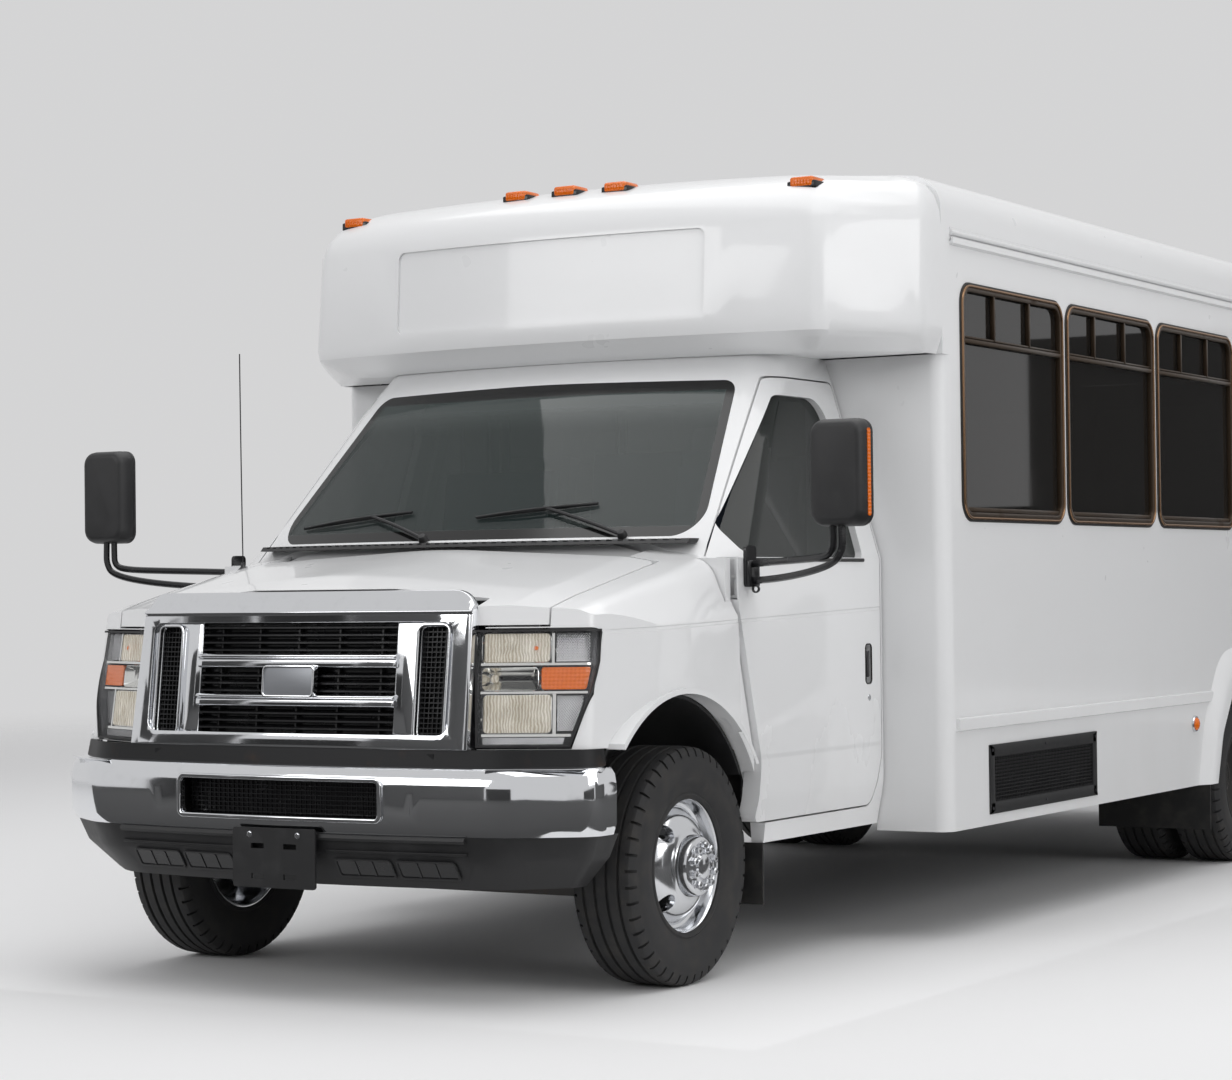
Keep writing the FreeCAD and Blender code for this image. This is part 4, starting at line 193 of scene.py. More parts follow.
def line(points):
    """Wire through points, drawn one point after another from a single one."""
    points = [Vector(p) for p in points]
    alone()
    bpy.ops.mesh.primitive_plane_add(size=0.002, location=points[0])
    obj = bpy.context.object
    bpy.ops.object.mode_set(mode="EDIT")
    bpy.ops.mesh.select_mode(type="VERT")
    bpy.ops.mesh.merge(type="CENTER")
    for start, end in zip(points, points[1:]):
        bpy.ops.mesh.extrude_vertices_move(TRANSFORM_OT_translate={"value": end - start})
    return obj


def plate(points, radius=0.0, steps=5):
    """Flat face with these corners, all rounded by one radius; left in edit mode, selected."""
    obj = line(points)
    bpy.ops.mesh.select_all(action="SELECT")
    bpy.ops.mesh.edge_face_add()
    if radius:
        bpy.ops.mesh.bevel(offset=radius, segments=steps, affect="VERTICES")
    bpy.ops.mesh.select_mode(type="FACE")
    bpy.ops.mesh.select_all(action="SELECT")
    return obj


def push(value):
    bpy.ops.mesh.extrude_region_move(TRANSFORM_OT_translate={"value": value})


def outwards():
    """Turns every face of the piece in edit mode outwards and goes back to object mode."""
    bpy.ops.mesh.select_all(action="SELECT")
    bpy.ops.mesh.remove_doubles(threshold=0.00001)
    bpy.ops.mesh.normals_make_consistent(inside=False)
    bpy.ops.object.mode_set(mode="OBJECT")


def slab(points, value, radius=0.0, steps=5):
    """Solid plate: a rounded outline pushed along a vector."""
    obj = plate(points, radius, steps)
    push(value)
    outwards()
    return settle(obj)


def rect_xz(x0, x1, z0, z1, station):
    return [at(x0, station, z0), at(x1, station, z0), at(x1, station, z1), at(x0, station, z1)]


def rect_yz(s0, s1, z0, z1, x):
    return [at(x, s0, z0), at(x, s1, z0), at(x, s1, z1), at(x, s0, z1)]


def rect_xy(x0, x1, s0, s1, z):
    return [at(x0, s0, z), at(x1, s0, z), at(x1, s1, z), at(x0, s1, z)]


def block(x0, x1, s0, s1, z0, z1, soft=0.0, steps=2):
    """Box with its edges rounded over."""
    obj = slab(rect_xy(x0, x1, s0, s1, z0), (0.0, 0.0, z1 - z0))
    if soft:
        modify(obj, "BEVEL", width=soft, segments=steps, limit_method="ANGLE")
    return smooth(obj, 40.0)


def rimmed(points, value, wide, radius=0.0, steps=5):
    """Frame round an opening: an outline with its middle inset and taken out, pushed along a vector."""
    obj = plate(points, radius, steps)
    bpy.ops.mesh.inset(thickness=wide, depth=0.0, use_even_offset=True)
    bpy.ops.mesh.delete(type="FACE")
    bpy.ops.mesh.select_all(action="SELECT")
    push(value)
    outwards()
    return settle(obj)


def turned(profile, centre, axis, steps=48):
    """Round piece: a profile of radius and distance along an axis, spun about it."""
    axis = Vector(axis).normalized()
    side = UP if abs(axis.z) < 0.5 else ACROSS
    centre = Vector(centre)
    obj = line([centre + axis * along + side * radius for radius, along in profile])
    bpy.ops.mesh.select_all(action="SELECT")
    bpy.ops.mesh.spin(steps=steps, angle=math.tau, center=centre, axis=axis)
    bpy.ops.mesh.select_all(action="SELECT")
    bpy.ops.mesh.remove_doubles(threshold=0.00005)
    outwards()
    return settle(obj)


def board(x0, x1, z0, z1, station, deep, radius=0.0, steps=5):
    """Upright plate across the bus, pushed back from its station by its depth."""
    return slab(rect_xz(x0, x1, z0, z1, station), BACK * deep, radius, steps)


def rod(points, radius):
    """Round bar along a smooth line through points."""
    alone()
    bpy.ops.curve.primitive_nurbs_path_add(location=(0.0, 0.0, 0.0))
    obj = bpy.context.object
    splines = obj.data.splines
    splines.clear()
    spline = splines.new("NURBS")
    spline.points.add(len(points) - 1)
    for point, place in zip(spline.points, points):
        point.co = (*place, 1.0)
    spline.order_u = 3
    spline.use_endpoint_u = True
    obj.data.dimensions = "3D"
    obj.data.resolution_u = 6
    obj.data.bevel_depth = radius
    obj.data.bevel_resolution = 2
    obj.data.use_fill_caps = True
    alone(obj)
    bpy.ops.object.convert(target="MESH")
    return smooth(settle(obj), 50.0)


def sliced(obj, places, normal):
    """Cuts a piece at these places so that it can be bowed."""
    editing(obj)
    for place in places:
        bpy.ops.mesh.select_all(action="SELECT")
        bpy.ops.mesh.bisect(plane_co=place, plane_no=normal)
    bpy.ops.object.mode_set(mode="OBJECT")
    return obj


# Front of the nose, as the CAD has it: a bow in plan that leans back with height

# Nose: foot and height, and the share of its bow that is an arc
NOSE_LOW, NOSE_TALL = 0.440, 0.490
NOSE_SHARE = 0.9


def nose_share(z):
    """Height on the nose as a share of it, counted from the line that its sizes are given for."""
    return -0.6 + (z - NOSE_LOW) / NOSE_TALL


def nose_corner(h):
    """Half width of the nose and the station of its corner."""
    return 0.632 - 0.026 * h, -0.700 + 0.064 * h


def bow(x, end_x, end_s, front, share):
    """Station of a bowed face: an arc over a share of its half width, then straight to its end."""
    slope = (end_s - front) / (end_x * (1.0 - share / 2.0))
    bend = share * end_x / math.sin(math.atan(slope))
    x = abs(x)
    if x <= share * end_x:
        return front + bend - math.sqrt(bend * bend - x * x)
    return end_s - (end_x - x) * slope


def nose_front(x, z):
    """Station of the nose's face at a place across and up."""
    h = nose_share(z)
    return bow(x, *nose_corner(h), -0.735 + 0.047 * h, NOSE_SHARE)


# Places across at which a flat piece is cut before it is bowed
SLICES_X = [i * 0.05 for i in range(-13, 14)]


def set_back(obj, face):
    """Moves each point of a piece back by the station of a face at its place across and up."""
    for vertex in obj.data.vertices:
        vertex.co.y += face(vertex.co.x, vertex.co.z)
    obj.data.update()
    return obj


def bowed(obj, face=nose_front):
    """Slices a flat piece across and lays it on a bowed face."""
    sliced(obj, [at(x, 0.0, 0.0) for x in SLICES_X], ACROSS)
    return set_back(obj, face)


# Windscreen in the front view: half width and height of its foot and of its top
SCREEN_LOW, SCREEN_HIGH = (0.842, 1.374), (0.716, 1.900)


# Materials

class Flow:
    """A number on its way through a material; maths on it adds the nodes."""

    def __init__(self, finish, socket):
        self.finish = finish
        self.socket = socket

    def __add__(self, other):
        return self.finish.maths("ADD", self, other)

    def __radd__(self, other):
        return self.finish.maths("ADD", other, self)

    def __sub__(self, other):
        return self.finish.maths("SUBTRACT", self, other)

    def __rsub__(self, other):
        return self.finish.maths("SUBTRACT", other, self)

    def __mul__(self, other):
        return self.finish.maths("MULTIPLY", self, other)

    def clamp(self, low, high):
        """0 below low, 1 above high, and even between."""
        settings = {"interpolation_type": "SMOOTHSTEP"}
        return self.finish.node("MapRange", {"Value": self, "From Min": low, "From Max": high}, 0, settings)


class Finish:
    """A material under construction round one glossy surface."""

    def __init__(self, name, colour, rough, metal=0.0, **constants):
        self.material = bpy.data.materials.new(name)
        self.material.use_nodes = True
        self.tree = self.material.node_tree
        self.surface = self.tree.nodes["Principled BSDF"]
        self.set(Base_Color=(*colour, 1.0), Roughness=rough, Metallic=metal, **constants)
        self.material.diffuse_color = (*colour, 1.0)

    def set(self, **values):
        for key, value in values.items():
            self.put(self.surface.inputs[key.replace("_", " ")], value)

    def put(self, socket, value):
        if isinstance(value, Flow):
            self.tree.links.new(value.socket, socket)
        else:
            socket.default_value = value

    def node(self, kind, inputs, output=0, settings=None):
        made = self.tree.nodes.new("ShaderNode" + kind)
        for key, value in (settings or {}).items():
            setattr(made, key, value)
        for key, value in inputs.items():
            self.put(made.inputs[key], value)
        return Flow(self, made.outputs[output])

    def maths(self, operation, *values):
        return self.node("Math", dict(enumerate(values)), 0, {"operation": operation})

    def place(self, scale=(1.0, 1.0, 1.0)):
        """Object coordinates, scaled."""
        return self.node("Mapping", {"Vector": self.node("TexCoord", {}, "Object"), "Scale": scale})

    def axes(self):
        where = self.node("TexCoord", {}, "Object")
        return [self.node("SeparateXYZ", {0: where}, i) for i in range(3)]

    def noise(self, scale, detail=3.0, stretch=(1.0, 1.0, 1.0)):
        return self.node("TexNoise", {"Vector": self.place(stretch), "Scale": scale, "Detail": detail,
                                      "Roughness": 0.55}, "Fac")

    def mix(self, share, one, two):
        """One colour fading into another by a share."""
        made = self.tree.nodes.new("ShaderNodeMix")
        made.data_type = "RGBA"
        for index, value in ((0, share), (6, (*one, 1.0)), (7, (*two, 1.0))):
            self.put(made.inputs[index], value)
        return Flow(self, made.outputs[2])

    def bump(self, height, strength, distance):
        self.set(Normal=self.node("Bump", {"Height": height, "Strength": strength, "Distance": distance}))


DUSTY, STREAKS = (0.72, 0.70, 0.66), (1.0, 1.0, 0.25)


def tinted(colour, shares):
    return [c * k for c, k in zip(colour, shares)]


def body_paint(name, colour):
    """Gloss enamel with a faint orange peel, and road dust on the lower body."""
    f = Finish(name, colour, 0.28, Coat_Weight=0.5, Coat_Roughness=0.06, IOR=1.5)
    low = 1.0 - f.axes()[2].clamp(0.35, 1.25)
    dust = low * f.noise(3.0, 5.0, STREAKS).clamp(0.3, 0.8) * 0.16
    mottle = f.noise(1.3).clamp(0.35, 0.75) * 0.03
    f.set(Base_Color=f.mix(dust + mottle, colour, tinted(colour, DUSTY)))
    f.set(Roughness=0.26 + dust * 0.9 + f.noise(9.0, 2.0) * 0.05)
    f.bump(f.noise(260.0, 1.0), 0.05, 0.0004)
    return f.material


def cab_paint(name, colour):
    """The same enamel over pressed steel, with a fine crease below the belt and a soft one near the sill."""
    f = Finish(name, colour, 0.24, Coat_Weight=0.6, Coat_Roughness=0.04, IOR=1.5)
    x, y, z = f.axes()
    groove = f.maths("ABSOLUTE", z - ((y - AXLE_Y) * 0.028 + 1.098)).clamp(0.0025, 0.007)
    fold = z.clamp(0.664, 0.684)
    low = 1.0 - z.clamp(0.35, 1.1)
    dust = low * f.noise(3.0, 5.0, STREAKS).clamp(0.3, 0.8) * 0.14
    f.set(Base_Color=f.mix(dust, colour, tinted(colour, DUSTY)))
    f.set(Roughness=0.22 + dust * 0.9 + f.noise(9.0, 2.0) * 0.05)
    side = f.maths("ABSOLUTE", x).clamp(0.93, 0.95)
    f.bump(1.0 - (1.0 - groove) * side + fold * 1.3, 0.55, 0.006)
    return f.material


def chrome(name, colour=(0.80, 0.81, 0.83), rough=0.07):
    """Polished plate with faint waviness and a haze of water spots."""
    f = Finish(name, colour, rough, 1.0)
    haze = f.noise(22.0, 5.0).clamp(0.5, 0.85)
    f.set(Roughness=rough + haze * 0.07)
    f.set(Base_Color=f.mix(haze * 0.25, colour, [c * 0.82 for c in colour]))
    f.bump(f.noise(7.0, 1.0), 0.05, 0.004)
    return f.material


def plastic(name, colour, rough=0.55, grain=900.0, depth=0.16):
    """Moulded plastic with a fine grain and scuffed patches."""
    f = Finish(name, colour, rough)
    scuff = f.noise(14.0, 6.0).clamp(0.45, 0.8)
    f.set(Base_Color=f.mix(scuff * 0.35, colour, [c * 1.9 + 0.012 for c in colour]))
    f.set(Roughness=rough - 0.05 + scuff * 0.14)
    f.bump(f.noise(grain, 2.0), depth, 0.0005)
    return f.material


def metal(name, colour, rough, rust):
    """Chassis metal under worn paint, with brown bloom in patches."""
    f = Finish(name, colour, rough, 0.6)
    bloom = f.noise(9.0, 6.0).clamp(0.55, 0.78)
    f.set(Base_Color=f.mix(bloom * rust, colour, (0.16, 0.085, 0.045)))
    f.set(Metallic=0.6 - bloom * rust)
    f.set(Roughness=rough + bloom * 0.3)
    f.bump(f.noise(120.0), 0.12, 0.001)
    return f.material


def rubber(name, colour=(0.022, 0.022, 0.023), rough=0.72):
    f = Finish(name, colour, rough)
    dust = f.noise(18.0, 6.0).clamp(0.4, 0.8)
    f.set(Base_Color=f.mix(dust * 0.4, colour, (0.075, 0.068, 0.06)))
    f.set(Roughness=rough + dust * 0.15)
    f.bump(f.noise(420.0, 2.0), 0.15, 0.0006)
    return f.material


SMEARS = (1.0, 1.0, 0.4)


def glass(name, tint, clear):
    """Safety glass: a tinted pane that shows a dim view through and a clean reflection."""
    f = Finish(name, tint, 0.02, IOR=1.5, Coat_Weight=0.0)
    smear = f.noise(5.0, 5.0, SMEARS).clamp(0.5, 0.85)
    f.set(Roughness=0.02 + smear * 0.03)
    f.set(Base_Color=f.mix(smear * 0.12, tint, [c * 1.4 + 0.02 for c in tint]))
    f.set(Alpha=(1.0 - clear) + smear * 0.02)
    return f.material


def screen_glass(name, tint, clear):
    """Windscreen: faintly green glass with a black printed border and a shaded band at the top."""
    f = Finish(name, tint, 0.02, IOR=1.5)
    x, _, z = f.axes()
    (half_low, z_low), (half_high, z_high) = SCREEN_LOW, SCREEN_HIGH
    lean = (z - z_low) * ((half_low - half_high) / (z_high - z_low))
    edge = (f.maths("ABSOLUTE", x) + lean).clamp(half_low - 0.032, half_low - 0.028)
    top = z.clamp(z_high - 0.036, z_high - 0.030)
    foot = 1.0 - z.clamp(z_low + 0.030, z_low + 0.036)
    border = f.maths("MAXIMUM", edge, f.maths("MAXIMUM", top, foot))
    band = z.clamp(z_high - 0.17, z_high - 0.03) * 0.6
    smear = f.noise(5.0, 5.0, SMEARS).clamp(0.5, 0.85)
    f.set(Base_Color=f.mix(border, tint, (0.006, 0.006, 0.006)))
    f.set(Roughness=0.02 + smear * 0.03 + border * 0.12)
    f.set(Alpha=(1.0 - clear) + smear * 0.02 + border + band)
    return f.material


def lens(name, colour, pitch=90.0, clear=0.15):
    """Moulded lamp lens with fine flutes."""
    f = Finish(name, colour, 0.08, Coat_Weight=0.4, Coat_Roughness=0.03)
    x, _, z = f.axes()
    upright, level = (f.maths("SINE", axis * (pitch * 6.2832)) for axis in (x, z))
    f.set(Base_Color=f.mix(f.noise(40.0, 2.0) * 0.3, colour, [c * 0.55 for c in colour]))
    f.bump(upright + level, 0.25, 0.002)
    f.set(Alpha=1.0 - clear)
    return f.material


def flutes(name, colour):
    """Lit lamp optics: upright flutes, with a painted highlight on each ridge and painted shade in each
    valley.
    """
    f = Finish(name, colour, 0.18, Coat_Weight=0.5, Coat_Roughness=0.05)
    x, y, _ = f.axes()
    ridge = f.maths("SINE", (x + y * 0.45 + f.noise(24.0, 2.0) * 0.02) * 620.0)
    glow = f.noise(9.0, 2.0).clamp(0.3, 0.7)
    patches = f.noise(30.0, 3.0, (1.0, 1.0, 0.3)).clamp(0.35, 0.65)
    # painted highlight on each flute's ridge and painted shade in its valley, mixed with random patches
    share = (ridge * 0.5 + 0.5) * 0.7 + patches * 0.3
    f.set(Base_Color=f.mix(share, [c * 0.35 for c in colour], (0.96, 0.93, 0.86)))
    f.set(Emission_Color=f.mix(glow, colour, (1.0, 0.92, 0.78)), Emission_Strength=0.22)
    f.bump(ridge + patches, 0.8, 0.004)
    f.set(Alpha=0.55 + glow * 0.3)
    return f.material


def facets(name, colour):
    """Lamp optics pressed in a grid of small pyramids, with painted highlights on their tops and painted
    shade in the hollows between them.
    """
    f = Finish(name, colour, 0.16, 0.85)
    x, y, z = f.axes()
    across = f.maths("SINE", (x + y * 0.45) * 780.0)
    up = f.maths("SINE", z * 700.0)
    # painted highlights on the pyramid tops and painted shade in the hollows, following the bump's height
    f.set(Base_Color=f.mix(across * up * 0.5 + 0.5, [c * 0.5 for c in colour], [c * 1.6 for c in colour]))
    f.bump(across * up, 0.5, 0.002)
    return f.material


def cloth(name, colour, second):
    """Woven seat cloth: a fine weave with flecks of a second yarn."""
    f = Finish(name, colour, 0.9, Sheen_Weight=0.25, Sheen_Roughness=0.5)
    x, y, z = f.axes()
    turns = 2 * math.pi * 420.0
    weave = f.maths("SINE", (y + z) * turns) * f.maths("SINE", x * turns)
    flecks = f.node("TexVoronoi", {"Vector": f.place(), "Scale": 55.0}, "Distance").clamp(0.18, 0.26)
    f.set(Base_Color=f.mix((1.0 - flecks) * 0.6 + f.noise(6.0) * 0.2, colour, second))
    f.bump(weave * 0.5 + f.noise(300.0, 2.0) * 0.4, 0.4, 0.001)
    return f.material


def make_materials(p):
    """Every finish of the bus, by the name that the pieces use."""
    return {
        "white": body_paint("white_enamel", tuple(p.paint)),
        "chrome": chrome("chrome_plate"),
        "black": plastic("black_moulded", (0.016, 0.016, 0.017)),
        "gloss_black": plastic("black_gloss", (0.012, 0.012, 0.013), 0.25, 400.0, 0.05),
        "dark_grey": plastic("grey_moulded", (0.10, 0.105, 0.11), 0.6, 700.0, 0.3),
        "frame": metal("chassis_black", (0.020, 0.020, 0.021), 0.5, 0.2),
        "iron": metal("cast_iron", (0.12, 0.115, 0.11), 0.6, 0.5),
        "steel": metal("galvanised", (0.42, 0.43, 0.44), 0.35, 0.25),
        "rubber": rubber("tyre_rubber"),
        "flap": rubber("flap_rubber", (0.015, 0.015, 0.015), 0.6),
        "floor": rubber("floor_rubber", (0.075, 0.077, 0.08), 0.7),
        "tinted": glass("tinted_glass", tuple(p.window_tint), 0.12),
        "screen": screen_glass("screen_glass", (0.030, 0.042, 0.040), 0.46),
        "cab_glass": glass("cab_door_glass", (0.022, 0.026, 0.024), 0.30),
        "cab_white": cab_paint("cab_white_enamel", tuple(p.paint)),
        "bronze": metal("bronze_anodised", (0.055, 0.036, 0.022), 0.32, 0.0),
        "amber": lens("amber_lens", (0.86, 0.17, 0.003), 90.0, 0.04),
        "red": lens("red_lens", (0.50, 0.015, 0.015)),
        "clear": glass("clear_lens", (0.45, 0.46, 0.47), 0.95),
        "clear_lamp": lens("reversing_lens", (0.72, 0.72, 0.70), 110.0, 0.1),
        "satin": metal("satin_plate", (0.30, 0.31, 0.33), 0.35, 0.0),
        "lamp_grey": plastic("lamp_housing_grey", (0.085, 0.085, 0.09), 0.25, 300.0, 0.05),
        "reflector": chrome("lamp_reflector", (0.86, 0.86, 0.84), 0.12),
        "warm_flutes_painted_light": flutes("warm_flutes_painted_light", (0.92, 0.80, 0.58)),
        "lamp_facets_painted_light": facets("lamp_facets_painted_light", (0.46, 0.46, 0.47)),
        "wheel_bright": chrome("wheel_bright", (0.74, 0.75, 0.77), 0.14),
        "bolt": chrome("bright_bolt", (0.66, 0.67, 0.69), 0.2),
        "bolt_dark": metal("painted_leg", (0.06, 0.06, 0.065), 0.45, 0.1),
        "bronze_bead": chrome("bronze_bead", (0.36, 0.22, 0.13), 0.2),
        "rubber_seal": rubber("window_seal", (0.010, 0.010, 0.010), 0.45),
        "mirror": chrome("mirror_glass", (0.82, 0.84, 0.85), 0.02),
        "cloth": cloth("seat_cloth", (0.055, 0.075, 0.115), (0.20, 0.22, 0.25)),
    }


# CAD surfaces: the solid's own shape, welded and shaded round

# Finish, the angle up to which edges are shaded round, and the nodes
SKINS = (
    ("white", 40.0, "front_cap"), ("white", 34.0, "hood rear_wall wheel_flares"),
    ("white", 30.0, "cab_shell roof corner_pillars back_door entry_leaf_front entry_leaf_rear"),
    ("white", 28.0, "side_wall_left side_wall_right"), ("cab_white", 34.0, "front_fenders"),
    ("cab_white", 30.0, "driver_door passenger_door"), ("chrome", 30.0, "front_bumper"),
    ("black", 30.0, "lower_valance"), ("iron", 30.0, "wheels_rear_left wheels_rear_right"),
)


# Nodes that stay as they are and only get a finish
PLAIN = {
    "floor": "body_floor", "frame": "chassis_frame radiator_support rear_bumper fuel_tank",
    "black": "wheel_liners side_vent cowl_grille", "amber": "marker_lamps", "red": "tail_lamps",
    "tinted": "window_glass rear_glass entry_glass_front entry_glass_rear back_door_glass",
    "iron": "front_axle rear_axle powertrain knuckle_left knuckle_right", "steel": "exhaust",
    "flap": "mud_flaps", "dark_grey": "dashboard", "screen": "windscreen",
    "cab_glass": "driver_door_glass passenger_door_glass",
}


def body_name(node):
    return body_of(frame["nodes"][node])[0]


def both_bodies(node):
    """Bodies of a CAD node's left and right one."""
    return [body_name(node % side) for side in ("left", "right")]


def skin(node, finish, angle):
    """Piece with a CAD node's own surface, its triangles welded and its curves shaded round."""
    piece = copied(frame["nodes"][node], node + "_skin")
    editing(piece, "VERT")
    bpy.ops.mesh.select_all(action="SELECT")
    bpy.ops.mesh.remove_doubles(threshold=0.00002)
    bpy.ops.mesh.customdata_custom_splitnormals_clear()
    smooth(piece, angle)
    finished(piece, node + "_skin", finish, body_name(node))
    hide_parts(node)


class MinibusFinishes(bpy.types.PropertyGroup):
    paint: bpy.props.FloatVectorProperty(
        name="Body paint", description="Colour of the painted body and cab", subtype="COLOR", size=3,
        min=0.0, max=1.0, default=(0.78, 0.785, 0.79))
    window_tint: bpy.props.FloatVectorProperty(
        name="Window tint", description="Colour of the tinted side glass", subtype="COLOR", size=3,
        min=0.0, max=1.0, default=(0.012, 0.011, 0.010))
    floor: bpy.props.FloatVectorProperty(
        name="Studio floor", description="Colour of the floor under the bus", subtype="COLOR", size=3,
        min=0.0, max=1.0, default=(0.86, 0.86, 0.86))


MATERIALS = {}


def material(name):
    if not MATERIALS:
        MATERIALS.update(make_materials(bpy.context.scene.minibus_finishes))
    return MATERIALS[name]


class MINIBUS_OT_bodywork(bpy.types.Operator):
    """Weld and paint the body, cab, doors and other CAD surfaces"""
    bl_idname = "minibus.bodywork"
    bl_label = "Bodywork"

    def execute(self, context):
        for finish, angle, nodes in SKINS:
            for node in nodes.split():
                skin(node, finish, angle)
        for finish, nodes in PLAIN.items():
            for node in nodes.split():
                slots = frame["nodes"][node].data.materials
                slots.clear()
                slots.append(material(finish))
        return {"FINISHED"}


# Grille: modelled flat, then sliced and laid on the bowed nose

# Surround's heights and half widths, its depth, the posts' inner edge, the bars and the side slot
FRAME_LOW, FRAME_TOP = 0.748, 1.212
FRAME_HALF_LOW, FRAME_HALF_TOP = 0.628, 0.614
FRAME_PROUD = 0.034
MIDDLE_HALF = 0.368
BARS = ((0.868, 0.905), (0.984, 1.026))
SIDE_SLOT = (0.448, 0.536, 0.786, 1.104)


def cut_out(obj, cutters):
    """Takes solid cutters out of a piece and removes them."""
    for cutter in cutters:
        modify(obj, "BOOLEAN", object=cutter, operation="DIFFERENCE", solver="EXACT")
        bpy.data.objects.remove(cutter)
    return obj


def corner_round(x, z, radius, start, station):
    """Points of a quarter round in the front view, from a start angle in degrees."""
    angles = [math.radians(start + 90.0 * i / 8) for i in range(9)]
    return [at(x + radius * math.cos(a), station, z + radius * math.sin(a)) for a in angles]


def grille_frame():
    """Heavy bright surround with rounded top corners and a top band that leans back."""
    back, radius = 0.012, 0.072
    across, up = FRAME_HALF_TOP - radius, FRAME_TOP - radius
    obj = slab([at(-FRAME_HALF_LOW, back, FRAME_LOW), at(FRAME_HALF_LOW, back, FRAME_LOW)]
               + corner_round(across, up, radius, 0.0, back) + corner_round(-across, up, radius, 90.0, back),
               BACK * (-FRAME_PROUD - back))
    cut_out(obj, [board(-0.560, 0.560, 0.790, 1.120, 0.1, -0.3, 0.034)])
    sliced(obj, [at(0.0, 0.0, z) for z in (1.142, 1.150, 1.156)], UP)
    editing(obj, "VERT")
    for low, high, back in ((1.16, 9.0, 0.024), (1.153, 1.158, 0.003), (1.12, 1.146, 0.007)):
        select(obj, lambda v: low < v.co.z < high and v.co.y < AXLE_Y)
        bpy.ops.transform.translate(value=BACK * back)
    bpy.ops.object.mode_set(mode="OBJECT")
    soften(obj, 0.006, 3, 40.0)
    return bowed(obj)


def grille_post():
    """Bright upright at one side with its tall slot, which has a raised rim."""
    x0, x1, z0, z1 = SIDE_SLOT
    post = board(MIDDLE_HALF - 0.004, 0.566, 0.784, 1.126, 0.012, -0.026)
    cut_out(post, [board(x0, x1, z0, z1, 0.1, -0.3, 0.016)])
    soften(post, 0.005, 3)
    rim = rimmed(rect_xz(x0 - 0.012, x1 + 0.012, z0 - 0.012, z1 + 0.012, -0.008), BACK * -0.018, 0.010, 0.026)
    soften(rim, 0.003)
    return bowed(joined("grille_post", [post, rim]))


def grille_bar(z0, z1):
    """Cross bar in two steps: a wide lower face and a narrow ridge above it."""
    middle = z0 + (z1 - z0) * 0.66
    section = ((0.010, z0), (-0.018, z0), (-0.024, z0 + 0.005), (-0.024, middle - 0.004), (-0.019, middle),
               (-0.027, middle + 0.004), (-0.027, z1 - 0.004), (-0.021, z1), (0.010, z1))
    bar = slab([at(-MIDDLE_HALF - 0.002, d, z) for d, z in section], ACROSS * (2 * MIDDLE_HALF + 0.004))
    soften(bar, 0.0012, 2, 30.0)
    return bowed(bar)


def row_of(obj, step, count):
    """Repeats a piece in a row, as one mesh."""
    return modify(obj, "ARRAY", count=count, use_relative_offset=False, use_constant_offset=True,
                  constant_offset_displace=step)


def grille_slats():
    """Black louvres behind the bars, a fine mesh in the side slots and the dark core behind."""
    pieces = []
    vane_section = ((-0.006, 0.0), (0.026, 0.010), (0.026, 0.013), (-0.006, 0.005))
    for z0, count in ((0.800, 3), (0.912, 3), (1.034, 4)):
        vane = slab([at(-MIDDLE_HALF, d, z0 + z) for d, z in vane_section], ACROSS * (2 * MIDDLE_HALF))
        pieces.append(row_of(vane, UP * 0.0225, count))
    for x in (-0.30, -0.15, 0.0, 0.15, 0.30):
        pieces.append(board(x - 0.003, x + 0.003, 0.785, 1.118, 0.010, 0.014))
    x0, x1, z0, z1 = SIDE_SLOT
    for left in (x0, -x1):
        wire_across = board(left, left + x1 - x0, z0 + 0.006, z0 + 0.009, 0.002, 0.010)
        pieces.append(row_of(wire_across, UP * 0.0148, 21))
        wire_up = board(left + 0.008, left + 0.0105, z0, z1, 0.004, 0.010)
        pieces.append(row_of(wire_up, ACROSS * 0.0148, 6))
    pieces.append(board(-0.590, 0.590, 0.760, 1.126, 0.028, 0.004))
    return bowed(joined("grille_slats", pieces))


def badge():
    """Blank plate in the middle of the grille, with a raised rim."""
    body = board(-0.095, 0.095, 0.898, 0.991, -0.020, -0.016, 0.014, 4)
    soften(body, 0.004, 3)
    rim = rimmed(rect_xz(-0.097, 0.097, 0.896, 0.993, -0.018), BACK * -0.022, 0.008, 0.016)
    soften(rim, 0.0025)
    return set_back(body, nose_front), set_back(rim, nose_front)


class MINIBUS_OT_grille(bpy.types.Operator):
    """Model the bright grille with its bars, posts, louvres and blank plate"""
    bl_idname = "minibus.grille"
    bl_label = "Grille"

    def execute(self, context):
        surround = finished(smooth(grille_frame(), 36.0), "grille_frame", "chrome")
        pair(smooth(grille_post(), 36.0), "grille_post_%s", "chrome")
        for index, (z0, z1) in enumerate(BARS):
            finished(smooth(grille_bar(z0, z1), 36.0), "grille_bar_%d" % index, "chrome")
        slats = finished(smooth(grille_slats(), 30.0), "grille_slats", "gloss_black")
        blank, rim = badge()
        finished(smooth(blank, 36.0), "grille_blank_plate", "satin")
        finished(smooth(rim, 36.0), "grille_blank_plate_rim", "chrome")
        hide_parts("grille_surround")
        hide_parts("grille_insert")
        return {"FINISHED"}


# Headlamps: modelled flat, u across from the grille and d into the nose, then set round the corner

LAMP_OUTLINE = (
    (0.004, 0.754), (0.280, 0.754), (0.340, 0.905), (0.368, 1.000), (0.374, 1.094), (-0.004, 1.094),
)
LAMP_TURN = (math.radians(24.4), math.radians(53.5))
LAMP_BEND, LAMP_STRAIGHT = 0.055, 0.310
LAMP_SLICES = [at(0.302 + 0.008 * i, 0.0, 0.0) for i in range(9)]


